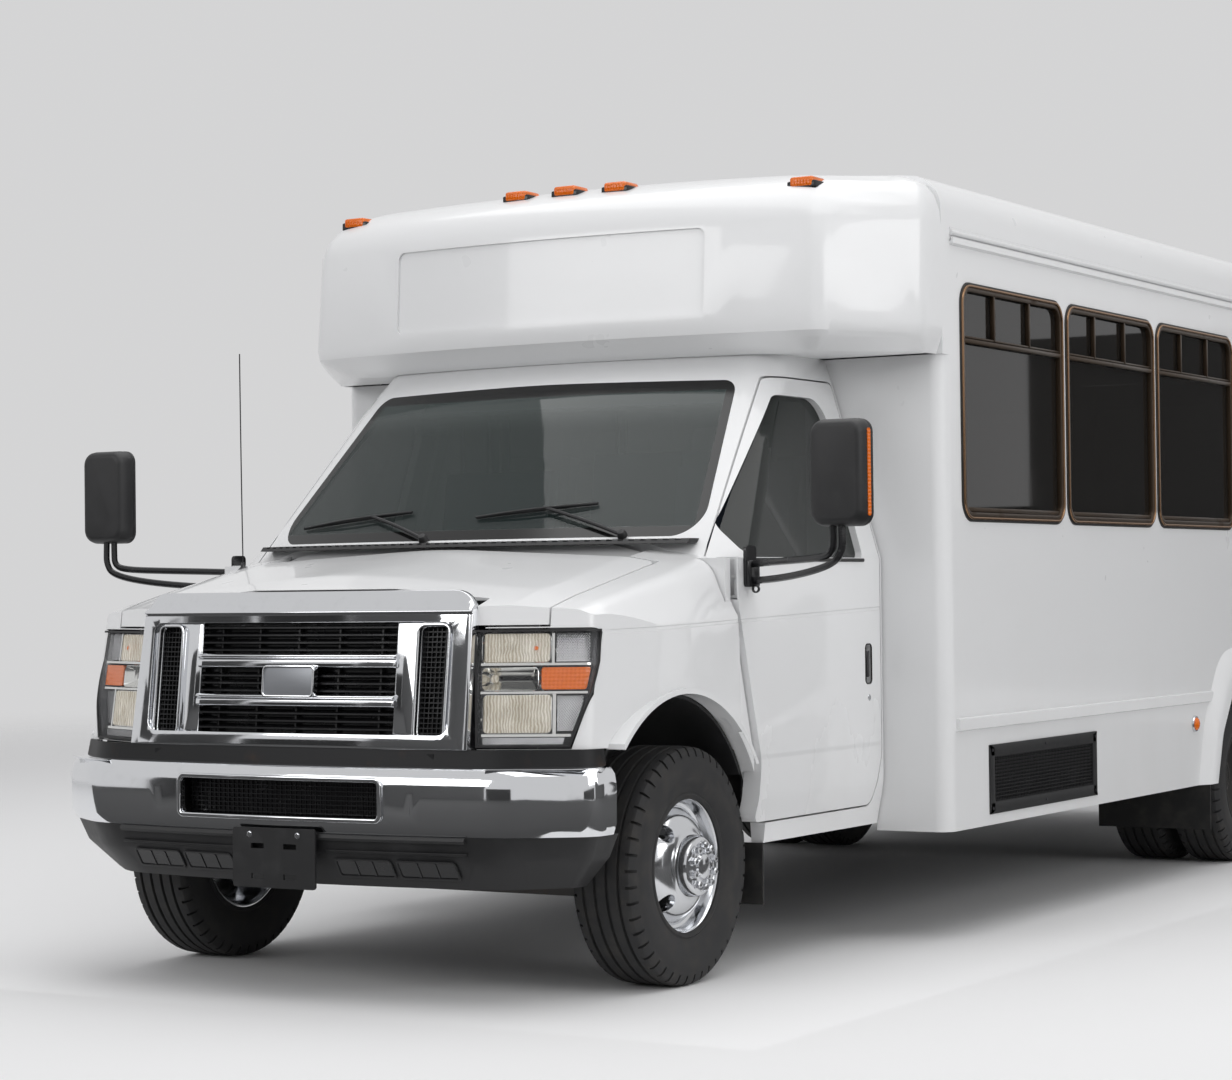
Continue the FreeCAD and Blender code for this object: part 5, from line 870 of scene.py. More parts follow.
def onto_corner(obj):
    """Wraps a flat lamp piece round the raked corner of the nose, on the driver's side."""
    first, turn = LAMP_TURN
    for vertex in obj.data.vertices:
        u, d, z = vertex.co.x, vertex.co.y - AXLE_Y, vertex.co.z
        h = nose_share(z)
        corner_x, corner_s = nose_corner(h)
        straight = LAMP_STRAIGHT - 0.002 * h
        bent = min(max((u - straight) / LAMP_BEND, 0.0), turn)
        rest = max(u - straight - LAMP_BEND * turn, 0.0)
        now, u = first + bent, min(u, straight)
        x = u * math.cos(first) + LAMP_BEND * (math.sin(now) - math.sin(first)) + rest * math.cos(now)
        y = u * math.sin(first) + LAMP_BEND * (math.cos(first) - math.cos(now)) + rest * math.sin(now)
        vertex.co.x = corner_x + x - d * math.sin(now)
        vertex.co.y = corner_s + y + d * math.cos(now) + AXLE_Y
    obj.data.update()
    return obj


def lamp_face(points, station, deep, radius=0.0):
    """Part of a lamp with this front outline, cut across so that it can follow the corner."""
    obj = slab([at(u, station, z) for u, z in points], BACK * deep, radius, 3)
    return sliced(obj, LAMP_SLICES, ACROSS)


def box_uz(u0, u1, z0, z1):
    return ((u0, z0), (u1, z0), (u1, z1), (u0, z1))


def lamp_wall(station, deep):
    """Wall that follows a lamp's outline, cut across in the same way."""
    obj = rimmed([at(u, station, z) for u, z in LAMP_OUTLINE], BACK * deep, 0.006)
    return sliced(obj, LAMP_SLICES, ACROSS)


def reflector_bowl(u, z, wide, high, station, deep):
    """Bright bowl behind a lamp's lens, sunk in steps from a rectangular mouth to a round seat."""
    obj = plate(rect_xz(u - wide, u + wide, z - high, z + high, station), 0.012, 3)
    for inset, down in ((0.004, 0.2), (0.009, 0.35), (0.012, 0.3), (0.008, 0.15)):
        bpy.ops.mesh.inset(thickness=min(inset, high * 0.22), depth=0.0)
        bpy.ops.transform.translate(value=BACK * (deep * down))
    bpy.ops.object.mode_set(mode="OBJECT")
    return modify(settle(obj), "SOLIDIFY", thickness=0.002, offset=1.0)


def bulb(u, z, station, radius):
    profile = ((0.0, -1.5), (0.6, -1.2), (1.0, -0.4), (1.0, 0.5), (0.6, 1.2), (0.0, 1.3))
    return turned([(r * radius, d * radius) for r, d in profile], at(u, station, z), BACK, 16)


# Edge of the lens; bright strips as u and z from and to, and depth; bowls as reflector_bowl takes them
LAMP_INNER = ((0.010, 0.760), (0.276, 0.760), (0.334, 0.906), (0.362, 1.002), (0.368, 1.088), (0.003, 1.088))

LAMP_STRIPS = ((0.014, 0.362, 0.990, 0.997, -0.052), (0.014, 0.334, 0.908, 0.915, -0.052),
               (0.018, 0.280, 0.784, 0.792, -0.052), (0.222, 0.230, 0.995, 1.086, -0.050),
               (0.226, 0.236, 0.792, 0.910, -0.050))

LAMP_BOWLS = ((0.118, 1.040, 0.100, 0.042, 0.014, 0.046), (0.100, 0.951, 0.082, 0.032, 0.016, 0.042),
              (0.122, 0.849, 0.100, 0.054, 0.014, 0.048))


def headlamp_pieces():
    """Pieces of the driver's-side headlamp: name, piece and material."""
    bright = [lamp_face(box_uz(*strip), 0.064, deep) for *strip, deep in LAMP_STRIPS]
    bright += [reflector_bowl(*bowl) for bowl in LAMP_BOWLS]
    lit = [lamp_face(box_uz(0.024, u1, z0, z1), 0.016, -0.003, 0.010)
           for u1, z0, z1 in ((0.222, 0.796, 0.904), (0.216, 1.000, 1.082))]
    amber = lamp_face(((0.192, 0.920), (0.330, 0.920), (0.350, 0.984), (0.192, 0.984)), 0.040, -0.024, 0.008)
    grids = [
        lamp_face(((0.238, 0.800), (0.284, 0.800), (0.322, 0.902), (0.238, 0.902)), 0.030, -0.004),
        lamp_face(box_uz(0.234, 0.358, 1.000, 1.082), 0.030, -0.004),
        lamp_face(((0.022, 0.762), (0.256, 0.762), (0.262, 0.782), (0.022, 0.782)), 0.020, -0.006),
    ]
    housing = [lamp_face(LAMP_OUTLINE, 0.070, -0.006), lamp_wall(0.068, -0.066)]
    return [
        ("housing", joined("housing", housing), "lamp_grey"), ("gasket", lamp_wall(0.006, -0.012), "black"),
        ("lens", lamp_face(LAMP_INNER, 0.004, -0.006, 0.006), "clear"),
        ("reflectors", joined("bright", bright), "reflector"), ("flutes", joined("lit", lit), "warm_flutes_painted_light"),
        ("amber", joined("amber", [amber, bulb(0.176, 1.040, 0.034, 0.016)]), "amber"),
        ("bulb", bulb(0.052, 0.951, 0.036, 0.012), "warm_flutes_painted_light"),
        ("grids", joined("grids", grids), "lamp_facets_painted_light"),
    ]


class MINIBUS_OT_headlamps(bpy.types.Operator):
    """Model both headlamps: housings, reflectors, bulbs, amber blocks, gaskets and clear lenses"""
    bl_idname = "minibus.headlamps"
    bl_label = "Headlamps"

    def execute(self, context):
        for name, piece, finish in headlamp_pieces():
            for obj in pair(smooth(onto_corner(piece), 30.0), "headlamp_" + name + "_%s", finish):
                if name == "housing":
                    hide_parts("headlamps")
        return {"FINISHED"}


# Wheels and tyres

TYRE_R, TYRE_WIDE, BEAD_R = 0.364, 0.225, 0.205
WHEELBASE = 4.470
FRONT_X, REAR_OUTER_X, REAR_INNER_X = 0.848, 1.080, 0.806


def about(centre, angle):
    """Turn by an angle about the line that runs across through a centre."""
    return Matrix.Translation(centre) @ Matrix.Rotation(angle, 4, "X") @ Matrix.Translation(-Vector(centre))


def ring_of(obj, count, centre, first=0.0):
    """Copies a piece round a wheel's axle, as one mesh, from a first angle on."""
    parts = [obj]
    for i in range(1, count):
        twin = copied(obj, obj.name + str(i))
        twin.data.transform(about(centre, math.tau * i / count))
        parts.append(twin)
    if first:
        for part in parts:
            part.data.transform(about(centre, first))
    return joined(obj.name, parts)


# Profile of a tyre's side: radius over the bead or below the tread, and share of the width
TYRE_SIDE = (
    (-0.002, -0.42), (0.010, -0.44), (0.016, -0.425), (0.030, -0.455), (0.052, -0.485), (0.060, -0.49),
    (0.066, -0.495), (0.090, -0.498), (0.112, -0.492), (0.118, -0.482),
)
TYRE_SHOULDER = ((0.028, -0.478), (0.014, -0.456), (0.005, -0.425), (0.0015, -0.385))


def tyre(centre):
    """Tyre with four tread grooves, cut shoulder blocks and ribbed plain sidewalls."""
    half = TYRE_WIDE / 2
    side = [(BEAD_R + r, w) for r, w in TYRE_SIDE] + [(TYRE_R - r, w) for r, w in TYRE_SHOULDER]
    ribs = []
    for groove in (-0.27, -0.09, 0.09, 0.27):
        ribs += [(TYRE_R, groove - 0.026), (TYRE_R - 0.009, groove - 0.018),
                 (TYRE_R - 0.009, groove + 0.018), (TYRE_R, groove + 0.026)]
    profile = side + ribs + [(r, -w) for r, w in reversed(side)] + [side[0]]
    body = turned([(r, w * TYRE_WIDE) for r, w in profile], centre, ACROSS, 72)
    x, y, z = centre
    blocks = []
    for way in (1.0, -1.0):
        corners = ((0.74, -0.012), (1.02, -0.040), (1.08, 0.006), (0.74, 0.006))
        points = [(x + way * half * share, y - 0.0045, z + TYRE_R + up) for share, up in corners]
        blocks.append(ring_of(slab(points, BACK * 0.009), 46, centre, 0.03 * way))
    cut_out(body, [joined("tread_cuts", blocks)])
    return smooth(body, 28.0)


def nut(centre, radius, length, axis=ACROSS):
    """Wheel nut with six flats, a flange and a domed end."""
    profile = ((0.0, 0.0), (1.25, 0.0), (1.25, 0.16), (1.0, 0.22), (1.0, 0.72), (0.82, 0.9), (0.0, 1.0))
    return smooth(turned([(radius * r, length * d) for r, d in profile], centre, axis, 6), 20.0)


# Profiles of the wheels, as radius and distance out
FRONT_PROFILE = (
    (0.196, -0.092), (0.221, -0.092), (0.222, -0.086), (0.206, -0.080), (0.196, -0.060), (0.196, 0.066),
    (0.204, 0.080), (0.220, 0.083), (0.2225, 0.088), (0.220, 0.092), (0.210, 0.092), (0.203, 0.087),
    (0.199, 0.078), (0.196, 0.060), (0.191, 0.047), (0.183, 0.043), (0.176, 0.046), (0.168, 0.058),
    (0.156, 0.074), (0.142, 0.085), (0.126, 0.093), (0.108, 0.098), (0.098, 0.100), (0.094, 0.103),
    (0.092, 0.110), (0.092, 0.128), (0.088, 0.137), (0.080, 0.1415), (0.060, 0.142), (0.044, 0.1425),
    (0.040, 0.145), (0.037, 0.152), (0.030, 0.156), (0.0, 0.1565), (0.0, 0.0), (0.150, 0.030),
    (0.186, 0.030), (0.190, -0.060), (0.196, -0.092),
)
REAR_PROFILE = (
    (0.196, -0.092), (0.221, -0.092), (0.2222, -0.086), (0.206, -0.080), (0.197, -0.060), (0.197, 0.066),
    (0.204, 0.080), (0.220, 0.083), (0.2225, 0.088), (0.220, 0.092), (0.210, 0.092), (0.203, 0.087),
    (0.199, 0.076), (0.196, 0.050), (0.193, -0.030), (0.188, -0.046), (0.176, -0.056), (0.160, -0.066),
    (0.150, -0.0695), (0.100, -0.070), (0.094, -0.064), (0.088, -0.050), (0.084, 0.000), (0.080, 0.009),
    (0.072, 0.013), (0.066, 0.016), (0.0, 0.018), (0.0, -0.060), (0.060, -0.090), (0.150, -0.092),
    (0.190, -0.080), (0.196, -0.092),
)


# Hand holes: radius, depth, and place out and up; nuts: length, and place out and up
FRONT_HOLE, FRONT_NUT = (0.027, 0.2, 0.01, 0.148), (0.022, 0.141, 0.064)
REAR_HOLE, REAR_NUT = (0.026, 0.10, -0.11, 0.138), (0.020, -0.070, 0.110)


def wheel(centre, profile, hole, nut_place):
    """Wheel spun from a profile, with four hand holes, and its ring of ten nuts."""
    x, y, z = centre
    disc = turned(profile, centre, ACROSS, 72)
    radius, deep, out, up = hole
    bore = ((0.0, 0.0), (radius, 0.0), (radius, deep), (0.0, deep))
    cutter = turned(bore, (x + out, y, z + up), ACROSS, 20)
    cut_out(disc, [ring_of(cutter, 4, centre, math.pi / 4)])
    length, out, up = nut_place
    return disc, ring_of(nut((x + out, y, z + up), 0.0115, length), 10, centre)


class MINIBUS_OT_wheels(bpy.types.Operator):
    """Model the bright wheels with their nuts, and the treaded tyres"""
    bl_idname = "minibus.wheels"
    bl_label = "Wheels and tyres"

    def execute(self, context):
        front_centre = at(FRONT_X, 0.0, TYRE_R)
        rear_centre = at(REAR_OUTER_X, WHEELBASE, TYRE_R)
        round_tyre = tyre(front_centre)
        twins = []
        for x in (REAR_INNER_X, REAR_OUTER_X):
            twin = copied(round_tyre, "rear_tyre")
            twin.data.transform(Matrix.Translation((x - FRONT_X, WHEELBASE, 0.0)))
            twins.append(twin)
        rear_tyres = joined("rear_tyres", twins)
        disc, nuts = wheel(front_centre, FRONT_PROFILE, FRONT_HOLE, FRONT_NUT)
        soften(disc, 0.0025, 2, 55.0)
        rear_disc, rear_nuts = wheel(rear_centre, REAR_PROFILE, REAR_HOLE, REAR_NUT)
        sets = (
            (round_tyre, "tyre_front_%s_tread", "rubber", "wheel_front_%s", "tyre_front_%s"),
            (rear_tyres, "tyres_rear_%s_tread", "rubber", "wheels_rear_%s", "tyres_rear_%s"),
            (smooth(disc, 32.0), "wheel_front_%s_disc", "wheel_bright", "wheel_front_%s", "wheel_front_%s"),
            (nuts, "wheel_front_%s_nuts", "bolt", "wheel_front_%s", None),
            (smooth(rear_disc, 32.0), "wheels_rear_%s_disc", "wheel_bright", "wheels_rear_%s", None),
            (rear_nuts, "wheels_rear_%s_nuts", "bolt", "wheels_rear_%s", None),
        )
        for piece, name, finish, node, replaced in sets:
            for obj, side in zip(pair(piece, name, finish, both_bodies(node)), ("left", "right")):
                if replaced:
                    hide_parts(replaced % side)
        return {"FINISHED"}


# Bumper and valance: a rolled slot rim, a mesh insert, screws, frames and pockets on the CAD's shells

# Bow of the bumper: half width, stations of its end and its middle, and the share that is an arc
BUMPER_BOW = (0.760, -0.762, -0.822, 0.76)


def bumper_front(x, _):
    """Station of the bumper's fullest face at a place across, the same at every height."""
    return bow(x, *BUMPER_BOW)


def valance_front(x, z):
    """Station of the valance's face, which leans back below the bumper, and more so at its foot."""
    lean = 0.014 * (0.4997 - z) / 0.0697 if z > 0.430 else 0.014 + (0.430 - z) * 0.636
    return bumper_front(x, z) + 0.014 + lean


POCKETS = (-0.500, -0.290, 0.290, 0.500)


def valance_frames():
    """Raised frames round the four pockets of the valance, and the long rib above them."""
    pieces = []
    for x in POCKETS:
        outline = rect_xz(x - 0.098, x + 0.098, 0.369, 0.427, 0.002)
        pieces.append(rimmed(outline, BACK * -0.007, 0.006, 0.012))
    for x in (-0.640, 0.170):
        pieces.append(board(x, x + 0.470, 0.444, 0.452, 0.002, -0.006))
    whole = joined("valance_frames", pieces)
    soften(whole, 0.0015)
    return bowed(whole, valance_front)


def valance_pockets():
    """Dark floors of the pockets, each with two upright ribs."""
    pieces = []
    for x in POCKETS:
        pieces.append(board(x - 0.092, x + 0.092, 0.375, 0.421, 0.000, -0.0015))
        for rib in (x - 0.030, x + 0.030):
            pieces.append(board(rib - 0.003, rib + 0.003, 0.376, 0.420, 0.000, -0.0045))
    return bowed(joined("valance_pockets", pieces), valance_front)


def bumper_top():
    """Bright top edge of the bumper where it runs back to the nose at each end."""
    outline = ((0.700, -0.758), (0.870, -0.684), (0.955, -0.632), (0.955, -0.560), (0.700, -0.560))
    return soften(slab([at(x, s, 0.6965) for x, s in outline], UP * -0.004), 0.0015)


class MINIBUS_OT_bumper(bpy.types.Operator):
    """Finish the bumper and valance: rolled slot rim, mesh, bracket screws, pockets and lower lip"""
    bl_idname = "minibus.bumper"
    bl_label = "Bumper and valance"

    def execute(self, context):
        rim = rimmed(rect_xz(-0.380, 0.380, 0.534, 0.668, 0.004), BACK * -0.013, 0.015, 0.024)
        soften(rim, 0.005, 3)
        finished(smooth(bowed(rim, bumper_front), 40.0), "bumper_slot_rim", "chrome")
        mesh = [
            row_of(board(-0.372, 0.372, 0.552, 0.555, 0.050, 0.006), UP * 0.0135, 8),
            row_of(board(-0.366, -0.363, 0.542, 0.662, 0.052, 0.006), ACROSS * 0.0183, 41),
            board(-0.375, 0.375, 0.540, 0.664, 0.066, 0.003),
        ]
        finished(smooth(bowed(joined("mesh", mesh), bumper_front), 30.0), "bumper_slot_mesh", "gloss_black")
        screws = [nut(at(x, -0.830, 0.492), 0.0085, 0.0035, -BACK) for x in (-0.089, 0.089)]
        finished(joined("screws", screws), "bracket_screws", "bolt")
        feet = row_of(board(-0.110, -0.080, 0.344, 0.352, -0.829, 0.006), ACROSS * 0.190, 2)
        finished(feet, "bracket_feet", "black")
        roll = ((0.0, 0.4985), (-0.006, 0.4965), (-0.010, 0.488), (-0.004, 0.480), (0.004, 0.482))
        strip = bowed(slab([at(-0.64, d - 0.022, z) for d, z in roll], ACROSS * 1.28), bumper_front)
        set_back(strip, lambda x, z: 0.036)
        finished(smooth(strip, 40.0), "valance_top_roll", "black")
        finished(smooth(valance_frames(), 36.0), "valance_frames", "black")
        finished(smooth(valance_pockets(), 36.0), "valance_pockets", "gloss_black")
        pair(smooth(bumper_top(), 36.0), "bumper_top_%s", "chrome")
        return {"FINISHED"}


# Side windows: thin double frames of bronze metal round dark glass

# First window's front edge, size, pitch, sill and corner radius, and the transom's height
WINDOW_FIRST, WINDOW_WIDE, WINDOW_HIGH = 1.392, 0.922, 0.824
WINDOW_PITCH, WINDOW_BASE, WINDOW_CORNER = 0.948, 1.425, 0.078
TRANSOM = 2.048
BODY_HALF = 1.245
BACK_FACE = 6.700
LEFT_WINDOWS, RIGHT_WINDOWS = (0, 1, 2, 3, 4), (1, 2, 3, 4)


def window_ring(inset, x0, x1, wide):
    """Rounded frame of the foremost side window, between two distances from the middle of the bus."""
    s0 = WINDOW_FIRST + inset
    s1 = s0 + WINDOW_WIDE - 2 * inset
    outline = rect_yz(s0, s1, WINDOW_BASE + inset, WINDOW_BASE + WINDOW_HIGH - inset, BODY_HALF + x0)
    return soften(rimmed(outline, ACROSS * (x1 - x0), wide, max(WINDOW_CORNER - inset, 0.01), 8), 0.0022)


def window_unit():
    """Pieces of the foremost window: gasket, bright bead, and the frame with its bars."""
    gasket = window_ring(0.0005, -0.020, 0.005, 0.010)
    bead = window_ring(0.008, -0.004, 0.0108, 0.009)
    parts = [window_ring(0.016, -0.016, 0.006, 0.017)]
    s0, s1, top = WINDOW_FIRST, WINDOW_FIRST + WINDOW_WIDE, WINDOW_BASE + WINDOW_HIGH
    bars = [
        (-0.014, 0.007, s0 + 0.026, s1 - 0.026, TRANSOM - 0.010, TRANSOM + 0.006, 0.003),
        (-0.012, 0.002, s0 + 0.026, s1 - 0.026, TRANSOM + 0.008, TRANSOM + 0.016, 0.002),
    ]
    for s in (s0 + 0.32 * WINDOW_WIDE, s0 + 0.66 * WINDOW_WIDE):
        bars.append((-0.012, 0.004, s - 0.007, s + 0.007, TRANSOM + 0.010, top - 0.028, 0.002))
    bars.append((-0.012, 0.001, s0 + 0.026, s1 - 0.026, WINDOW_BASE + 0.034, WINDOW_BASE + 0.050, 0.002))
    parts += [block(BODY_HALF + x0, BODY_HALF + x1, *rest) for x0, x1, *rest in bars]
    return gasket, bead, joined("frame", parts)


class MINIBUS_OT_windows(bpy.types.Operator):
    """Model the framed side windows on both sides"""
    bl_idname = "minibus.windows"
    bl_label = "Side windows"

    def execute(self, context):
        first = [smooth(part, 36.0) for part in window_unit()]
        looks = (("window_gaskets", "rubber_seal"), ("window_beads", "bronze_bead"),
                 ("window_frames_bronze", "bronze"))
        for part, (name, finish) in zip(first, looks):
            copies = []
            for index in LEFT_WINDOWS + RIGHT_WINDOWS:
                twin = copied(part, name)
                twin.data.transform(Matrix.Translation((0.0, index * WINDOW_PITCH, 0.0)))
                if len(copies) >= len(LEFT_WINDOWS):
                    flipped(twin)
                copies.append(twin)
            bpy.data.objects.remove(part)
            whole = finished(joined(name, copies), name, finish)
        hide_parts("window_frames")
        return {"FINISHED"}


# Side vent, roof gutters, back door and rear step

VENT_FRONT, VENT_WIDE, VENT_BASE, VENT_HIGH = 1.590, 1.000, 0.412, 0.240


def side_vent_pieces():
    """Frame of the side vent with the grid across it, its dark tray, and its screws."""
    s0, s1, z0, z1 = VENT_FRONT, VENT_FRONT + VENT_WIDE, VENT_BASE, VENT_BASE + VENT_HIGH
    x = BODY_HALF
    outline = rect_yz(s0 + 0.001, s1 - 0.001, z0 + 0.001, z1 - 0.001, x - 0.004)
    ring = soften(rimmed(outline, ACROSS * 0.010, 0.038, 0.006), 0.003)
    across = block(x - 0.0020, x + 0.0005, s0 + 0.036, s1 - 0.036, z0 + 0.044, z0 + 0.0465)
    up = block(x - 0.0010, x + 0.0015, s0 + 0.046, s0 + 0.0485, z0 + 0.036, z1 - 0.036)
    grid = [row_of(across, UP * 0.0125, 13), row_of(up, BACK * 0.0140, 66)]
    tray = slab(rect_yz(s0 + 0.020, s1 - 0.020, z0 + 0.020, z1 - 0.020, x - 0.026), ACROSS * 0.003)
    screws = [nut(at(x + 0.0055, s, z), 0.0055, 0.004)
              for s in (s0 + 0.020, (s0 + s1) / 2, s1 - 0.020) for z in (z0 + 0.019, z1 - 0.019)]
    return joined("vent", [ring] + grid), tray, joined("vent_screws", screws)


def roof_gutter():
    """Drip rail along the eaves of one side: a rolled lip over a narrow seat."""
    section = (
        (1.2445, 2.398), (1.2510, 2.398), (1.2560, 2.402), (1.2575, 2.408), (1.2560, 2.414),
        (1.2515, 2.417), (1.2480, 2.414), (1.2480, 2.424), (1.2445, 2.426),
    )
    return smooth(slab([at(x, 1.320, z) for x, z in section], BACK * 5.3), 40.0)


def back_door_fittings():
    """Lever handle on its plate, and a seal round the emergency door."""
    face = BACK_FACE + 0.004
    bracket = block(-0.392, -0.352, face, face + 0.008, 1.330, 1.450, 0.004, 3)
    grip = ((-0.372, 0.010, 1.400), (-0.372, 0.036, 1.398), (-0.330, 0.042, 1.392), (-0.250, 0.038, 1.388))
    lever = rod([at(x, face + d, z) for x, d, z in grip], 0.009)
    profile = ((0.0, 0.0), (0.019, 0.0), (0.018, 0.010), (0.013, 0.014), (0.0, 0.016))
    boss = turned(profile, at(-0.372, face + 0.006, 1.400), BACK, 28)
    seal = rimmed(rect_xz(-0.443, 0.443, 0.829, 2.243, face - 0.004), BACK * 0.006, 0.010, 0.036)
    return joined("lever", [bracket, lever, boss]), seal


def rear_step():
    """Tread plate on the rear bumper: rows of short raised bars."""
    bar = block(-1.110, -1.070, 6.742, 6.748, 0.586, 0.5885, 0.001)
    return row_of(row_of(bar, ACROSS * 0.060, 37), BACK * 0.013, 3)


class MINIBUS_OT_body_fittings(bpy.types.Operator):
    """Model the side vent's grid, the roof gutters, the back door's lever and the rear step's tread"""
    bl_idname = "minibus.body_fittings"
    bl_label = "Body fittings"

    def execute(self, context):
        vent, tray, screws = side_vent_pieces()
        finished(smooth(vent, 36.0), "side_vent_grid", "black")
        finished(tray, "side_vent_tray", "gloss_black")
        finished(screws, "side_vent_screws", "bolt_dark")
        pair(roof_gutter(), "roof_gutter_%s", "white")
        lever, seal = back_door_fittings()
        finished(smooth(lever, 40.0), "back_door_lever", "bolt", body_name("back_door"))
        finished(smooth(seal, 40.0), "back_door_seal", "rubber_seal", body_name("back_door"))
        finished(rear_step(), "rear_step_tread", "steel")
        return {"FINISHED"}


# Mirrors, which ride on the cab doors

MIRROR_X, MIRROR_S, MIRROR_LOW, MIRROR_HIGH = 1.427, 0.090, 1.389, 0.322


# Points of a mirror's upper and lower arm, as X, station and Z
MIRROR_ARMS = (
    ((1.014, 0.296, 1.282), (1.10, 0.250, 1.286), (1.22, 0.175, 1.290), (1.36, 0.108, 1.296),
     (1.40, 0.096, 1.312), (1.402, 0.096, 1.36), (1.402, 0.096, 1.41)),
    ((1.014, 0.296, 1.230), (1.12, 0.236, 1.232), (1.30, 0.136, 1.252), (1.41, 0.094, 1.280),
     (1.434, 0.093, 1.320), (1.434, 0.093, 1.36), (1.432, 0.093, 1.41)),
)


def mirror_pieces():
    """Towing mirror of the driver's side: head, glass, marker strip, and arms with their foot."""
    x, s, z0, high = MIRROR_X, MIRROR_S, MIRROR_LOW, MIRROR_HIGH
    head = plate(rect_xz(x - 0.092, x + 0.092, z0, z0 + high, s + 0.042), 0.040, 6)
    for narrow, forward in ((0.0, 0.034), (0.010, 0.026), (0.020, 0.014)):
        push(BACK * -forward)
        bpy.ops.transform.resize(value=(1.0 - narrow * 6.0, 1.0, 1.0 - narrow * 3.2))
    outwards()
    soften(settle(head), 0.014, 4, 26.0)
    rim = rect_xz(x - 0.0925, x + 0.0925, z0 - 0.0005, z0 + high + 0.0005, s + 0.044)
    lip = rimmed(rim, BACK * -0.012, 0.010, 0.040, 6)
    faces = [board(x - 0.080, x + 0.080, z0 + low, z0 + top, s + 0.041, 0.003, radius)
             for low, top, radius in ((0.090, high - 0.012, 0.026), (0.012, 0.082, 0.022))]
    outline = rect_yz(s + 0.006, s + 0.026, z0 + 0.030, z0 + high - 0.030, x + 0.086)
    strip = slab(outline, ACROSS * 0.0075, 0.008)
    arms = [rod([at(*place) for place in arm], 0.0112) for arm in MIRROR_ARMS]
    foot = block(1.0055, 1.0305, 0.264, 0.328, 1.210, 1.294, 0.006, 3)
    base = slab(rect_yz(0.262, 0.330, 1.210, 1.340, 1.0055), ACROSS * 0.010, 0.014)
    profile = ((0.008, -0.004), (0.013, -0.004), (0.013, 0.004), (0.008, 0.004), (0.008, -0.004))
    eye = turned(profile, at(1.036, 0.286, 1.204), BACK, 20)
    return [
        ("mirror_%s_head", joined("head", [head, lip]), "black"),
        ("mirror_%s_glass", joined("face", faces), "mirror"),
        ("mirror_%s_marker", strip, "amber"),
        ("mirror_%s_arms", joined("arms", arms + [foot, base, eye]), "gloss_black"),
    ]


class MINIBUS_OT_mirrors(bpy.types.Operator):
    """Model the tall mirrors with their twin arms, which ride on the cab doors"""
    bl_idname = "minibus.mirrors"
    bl_label = "Mirrors"

    def execute(self, context):
        for name, piece, finish in mirror_pieces():
            both = pair(smooth(piece, 40.0), name, finish, both_bodies("mirror_%s"))
            if name == "mirror_%s_head":
                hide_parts("mirror_left")
                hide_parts("mirror_right")
        return {"FINISHED"}


# Cab doors: seals, handles and key cylinders

DOOR_SKIN_X = 1.005


def door_pieces():
    """Furniture of the driver's door: handle in its cup, key cylinder and waist seal."""
    x = DOOR_SKIN_X
    cup = rimmed(rect_yz(1.117, 1.171, 0.877, 1.015, x - 0.003), ACROSS * 0.0045, 0.006, 0.018)
    floor = slab(rect_yz(1.121, 1.167, 0.881, 1.011, x - 0.021), ACROSS * 0.002, 0.014)
    lever = block(x - 0.016, x - 0.001, 1.131, 1.157, 0.900, 0.992, 0.006, 3)
    soften(cup, 0.0015, 2, 30.0)
    profile = ((0.0, 0.003), (0.007, 0.003), (0.010, 0.002), (0.011, 0.0), (0.0, -0.002))
    key = turned(profile, at(x, 1.146, 0.832), ACROSS, 24)
    slot = block(x + 0.0025, x + 0.0036, 1.1452, 1.1468, 0.827, 0.837)
    strip = block(x - 0.012, x + 0.005, 0.316, 1.116, 1.290, 1.302, 0.004, 3)
    return [
        ("door_%s_handle", joined("handle", [cup, floor, lever]), "gloss_black"),
        ("door_%s_key", key, "bolt"), ("door_%s_keyslot", slot, "gloss_black"),
        ("door_%s_waist_seal", strip, "rubber_seal"),
    ]


class MINIBUS_OT_door_furniture(bpy.types.Operator):
    """Model the handles, key cylinders and seals of the cab doors"""
    bl_idname = "minibus.door_furniture"
    bl_label = "Cab door furniture"

    def execute(self, context):
        doors = [body_name("driver_door"), body_name("passenger_door")]
        for name, piece, finish in door_pieces():
            pair(smooth(piece, 40.0), name, finish, doors, ("driver", "passenger"))
        return {"FINISHED"}


# Windscreen: wipers laid on the glass, and the aerial

def glass_point(x, z, proud):
    """Point just ahead of the windscreen at a place across and up."""
    hit, place, _, _ = frame["nodes"]["windscreen"].ray_cast(Vector((x, -9.0, z)), BACK)
    if not hit:
        raise RuntimeError("the windscreen wasn't met at %.2f, %.2f" % (x, z))
    return place - Vector((0.0, proud, -proud * 0.4))


def along_glass(start, end, prouds):
    """Points ahead of the windscreen between two places, one for each height over the glass."""
    (x0, z0), (x1, z1), last = start, end, len(prouds) - 1.0
    return [glass_point(x0 + (x1 - x0) * i / last, z0 + (z1 - z0) * i / last, proud)
            for i, proud in enumerate(prouds)]


def wiper(x_foot, middle, start, end):
    """Wiper with a bent arm and a blade of rubber under a slim bridge."""
    foot = glass_point(x_foot, 1.392, 0.020) + Vector((0.0, -0.012, -0.020))
    middle = glass_point(*middle, 0.016)
    blade = rod(along_glass(start, end, [0.008] * 7), 0.0048)
    bridge = rod(along_glass(start, end, (0.010, 0.018, 0.021, 0.018, 0.010)), 0.0040)
    elbow = foot.lerp(middle, 0.45) + Vector((0.0, -0.006, 0.010))
    arm = rod([foot, elbow, middle], 0.0062)
    profile = ((0.0, 0.016), (0.012, 0.014), (0.016, 0.006), (0.017, -0.006), (0.0, -0.006))
    cap = turned(profile, foot, (0.0, -0.6, 0.8), 20)
    return smooth(joined("wiper", [blade, bridge, arm, cap]), 40.0)


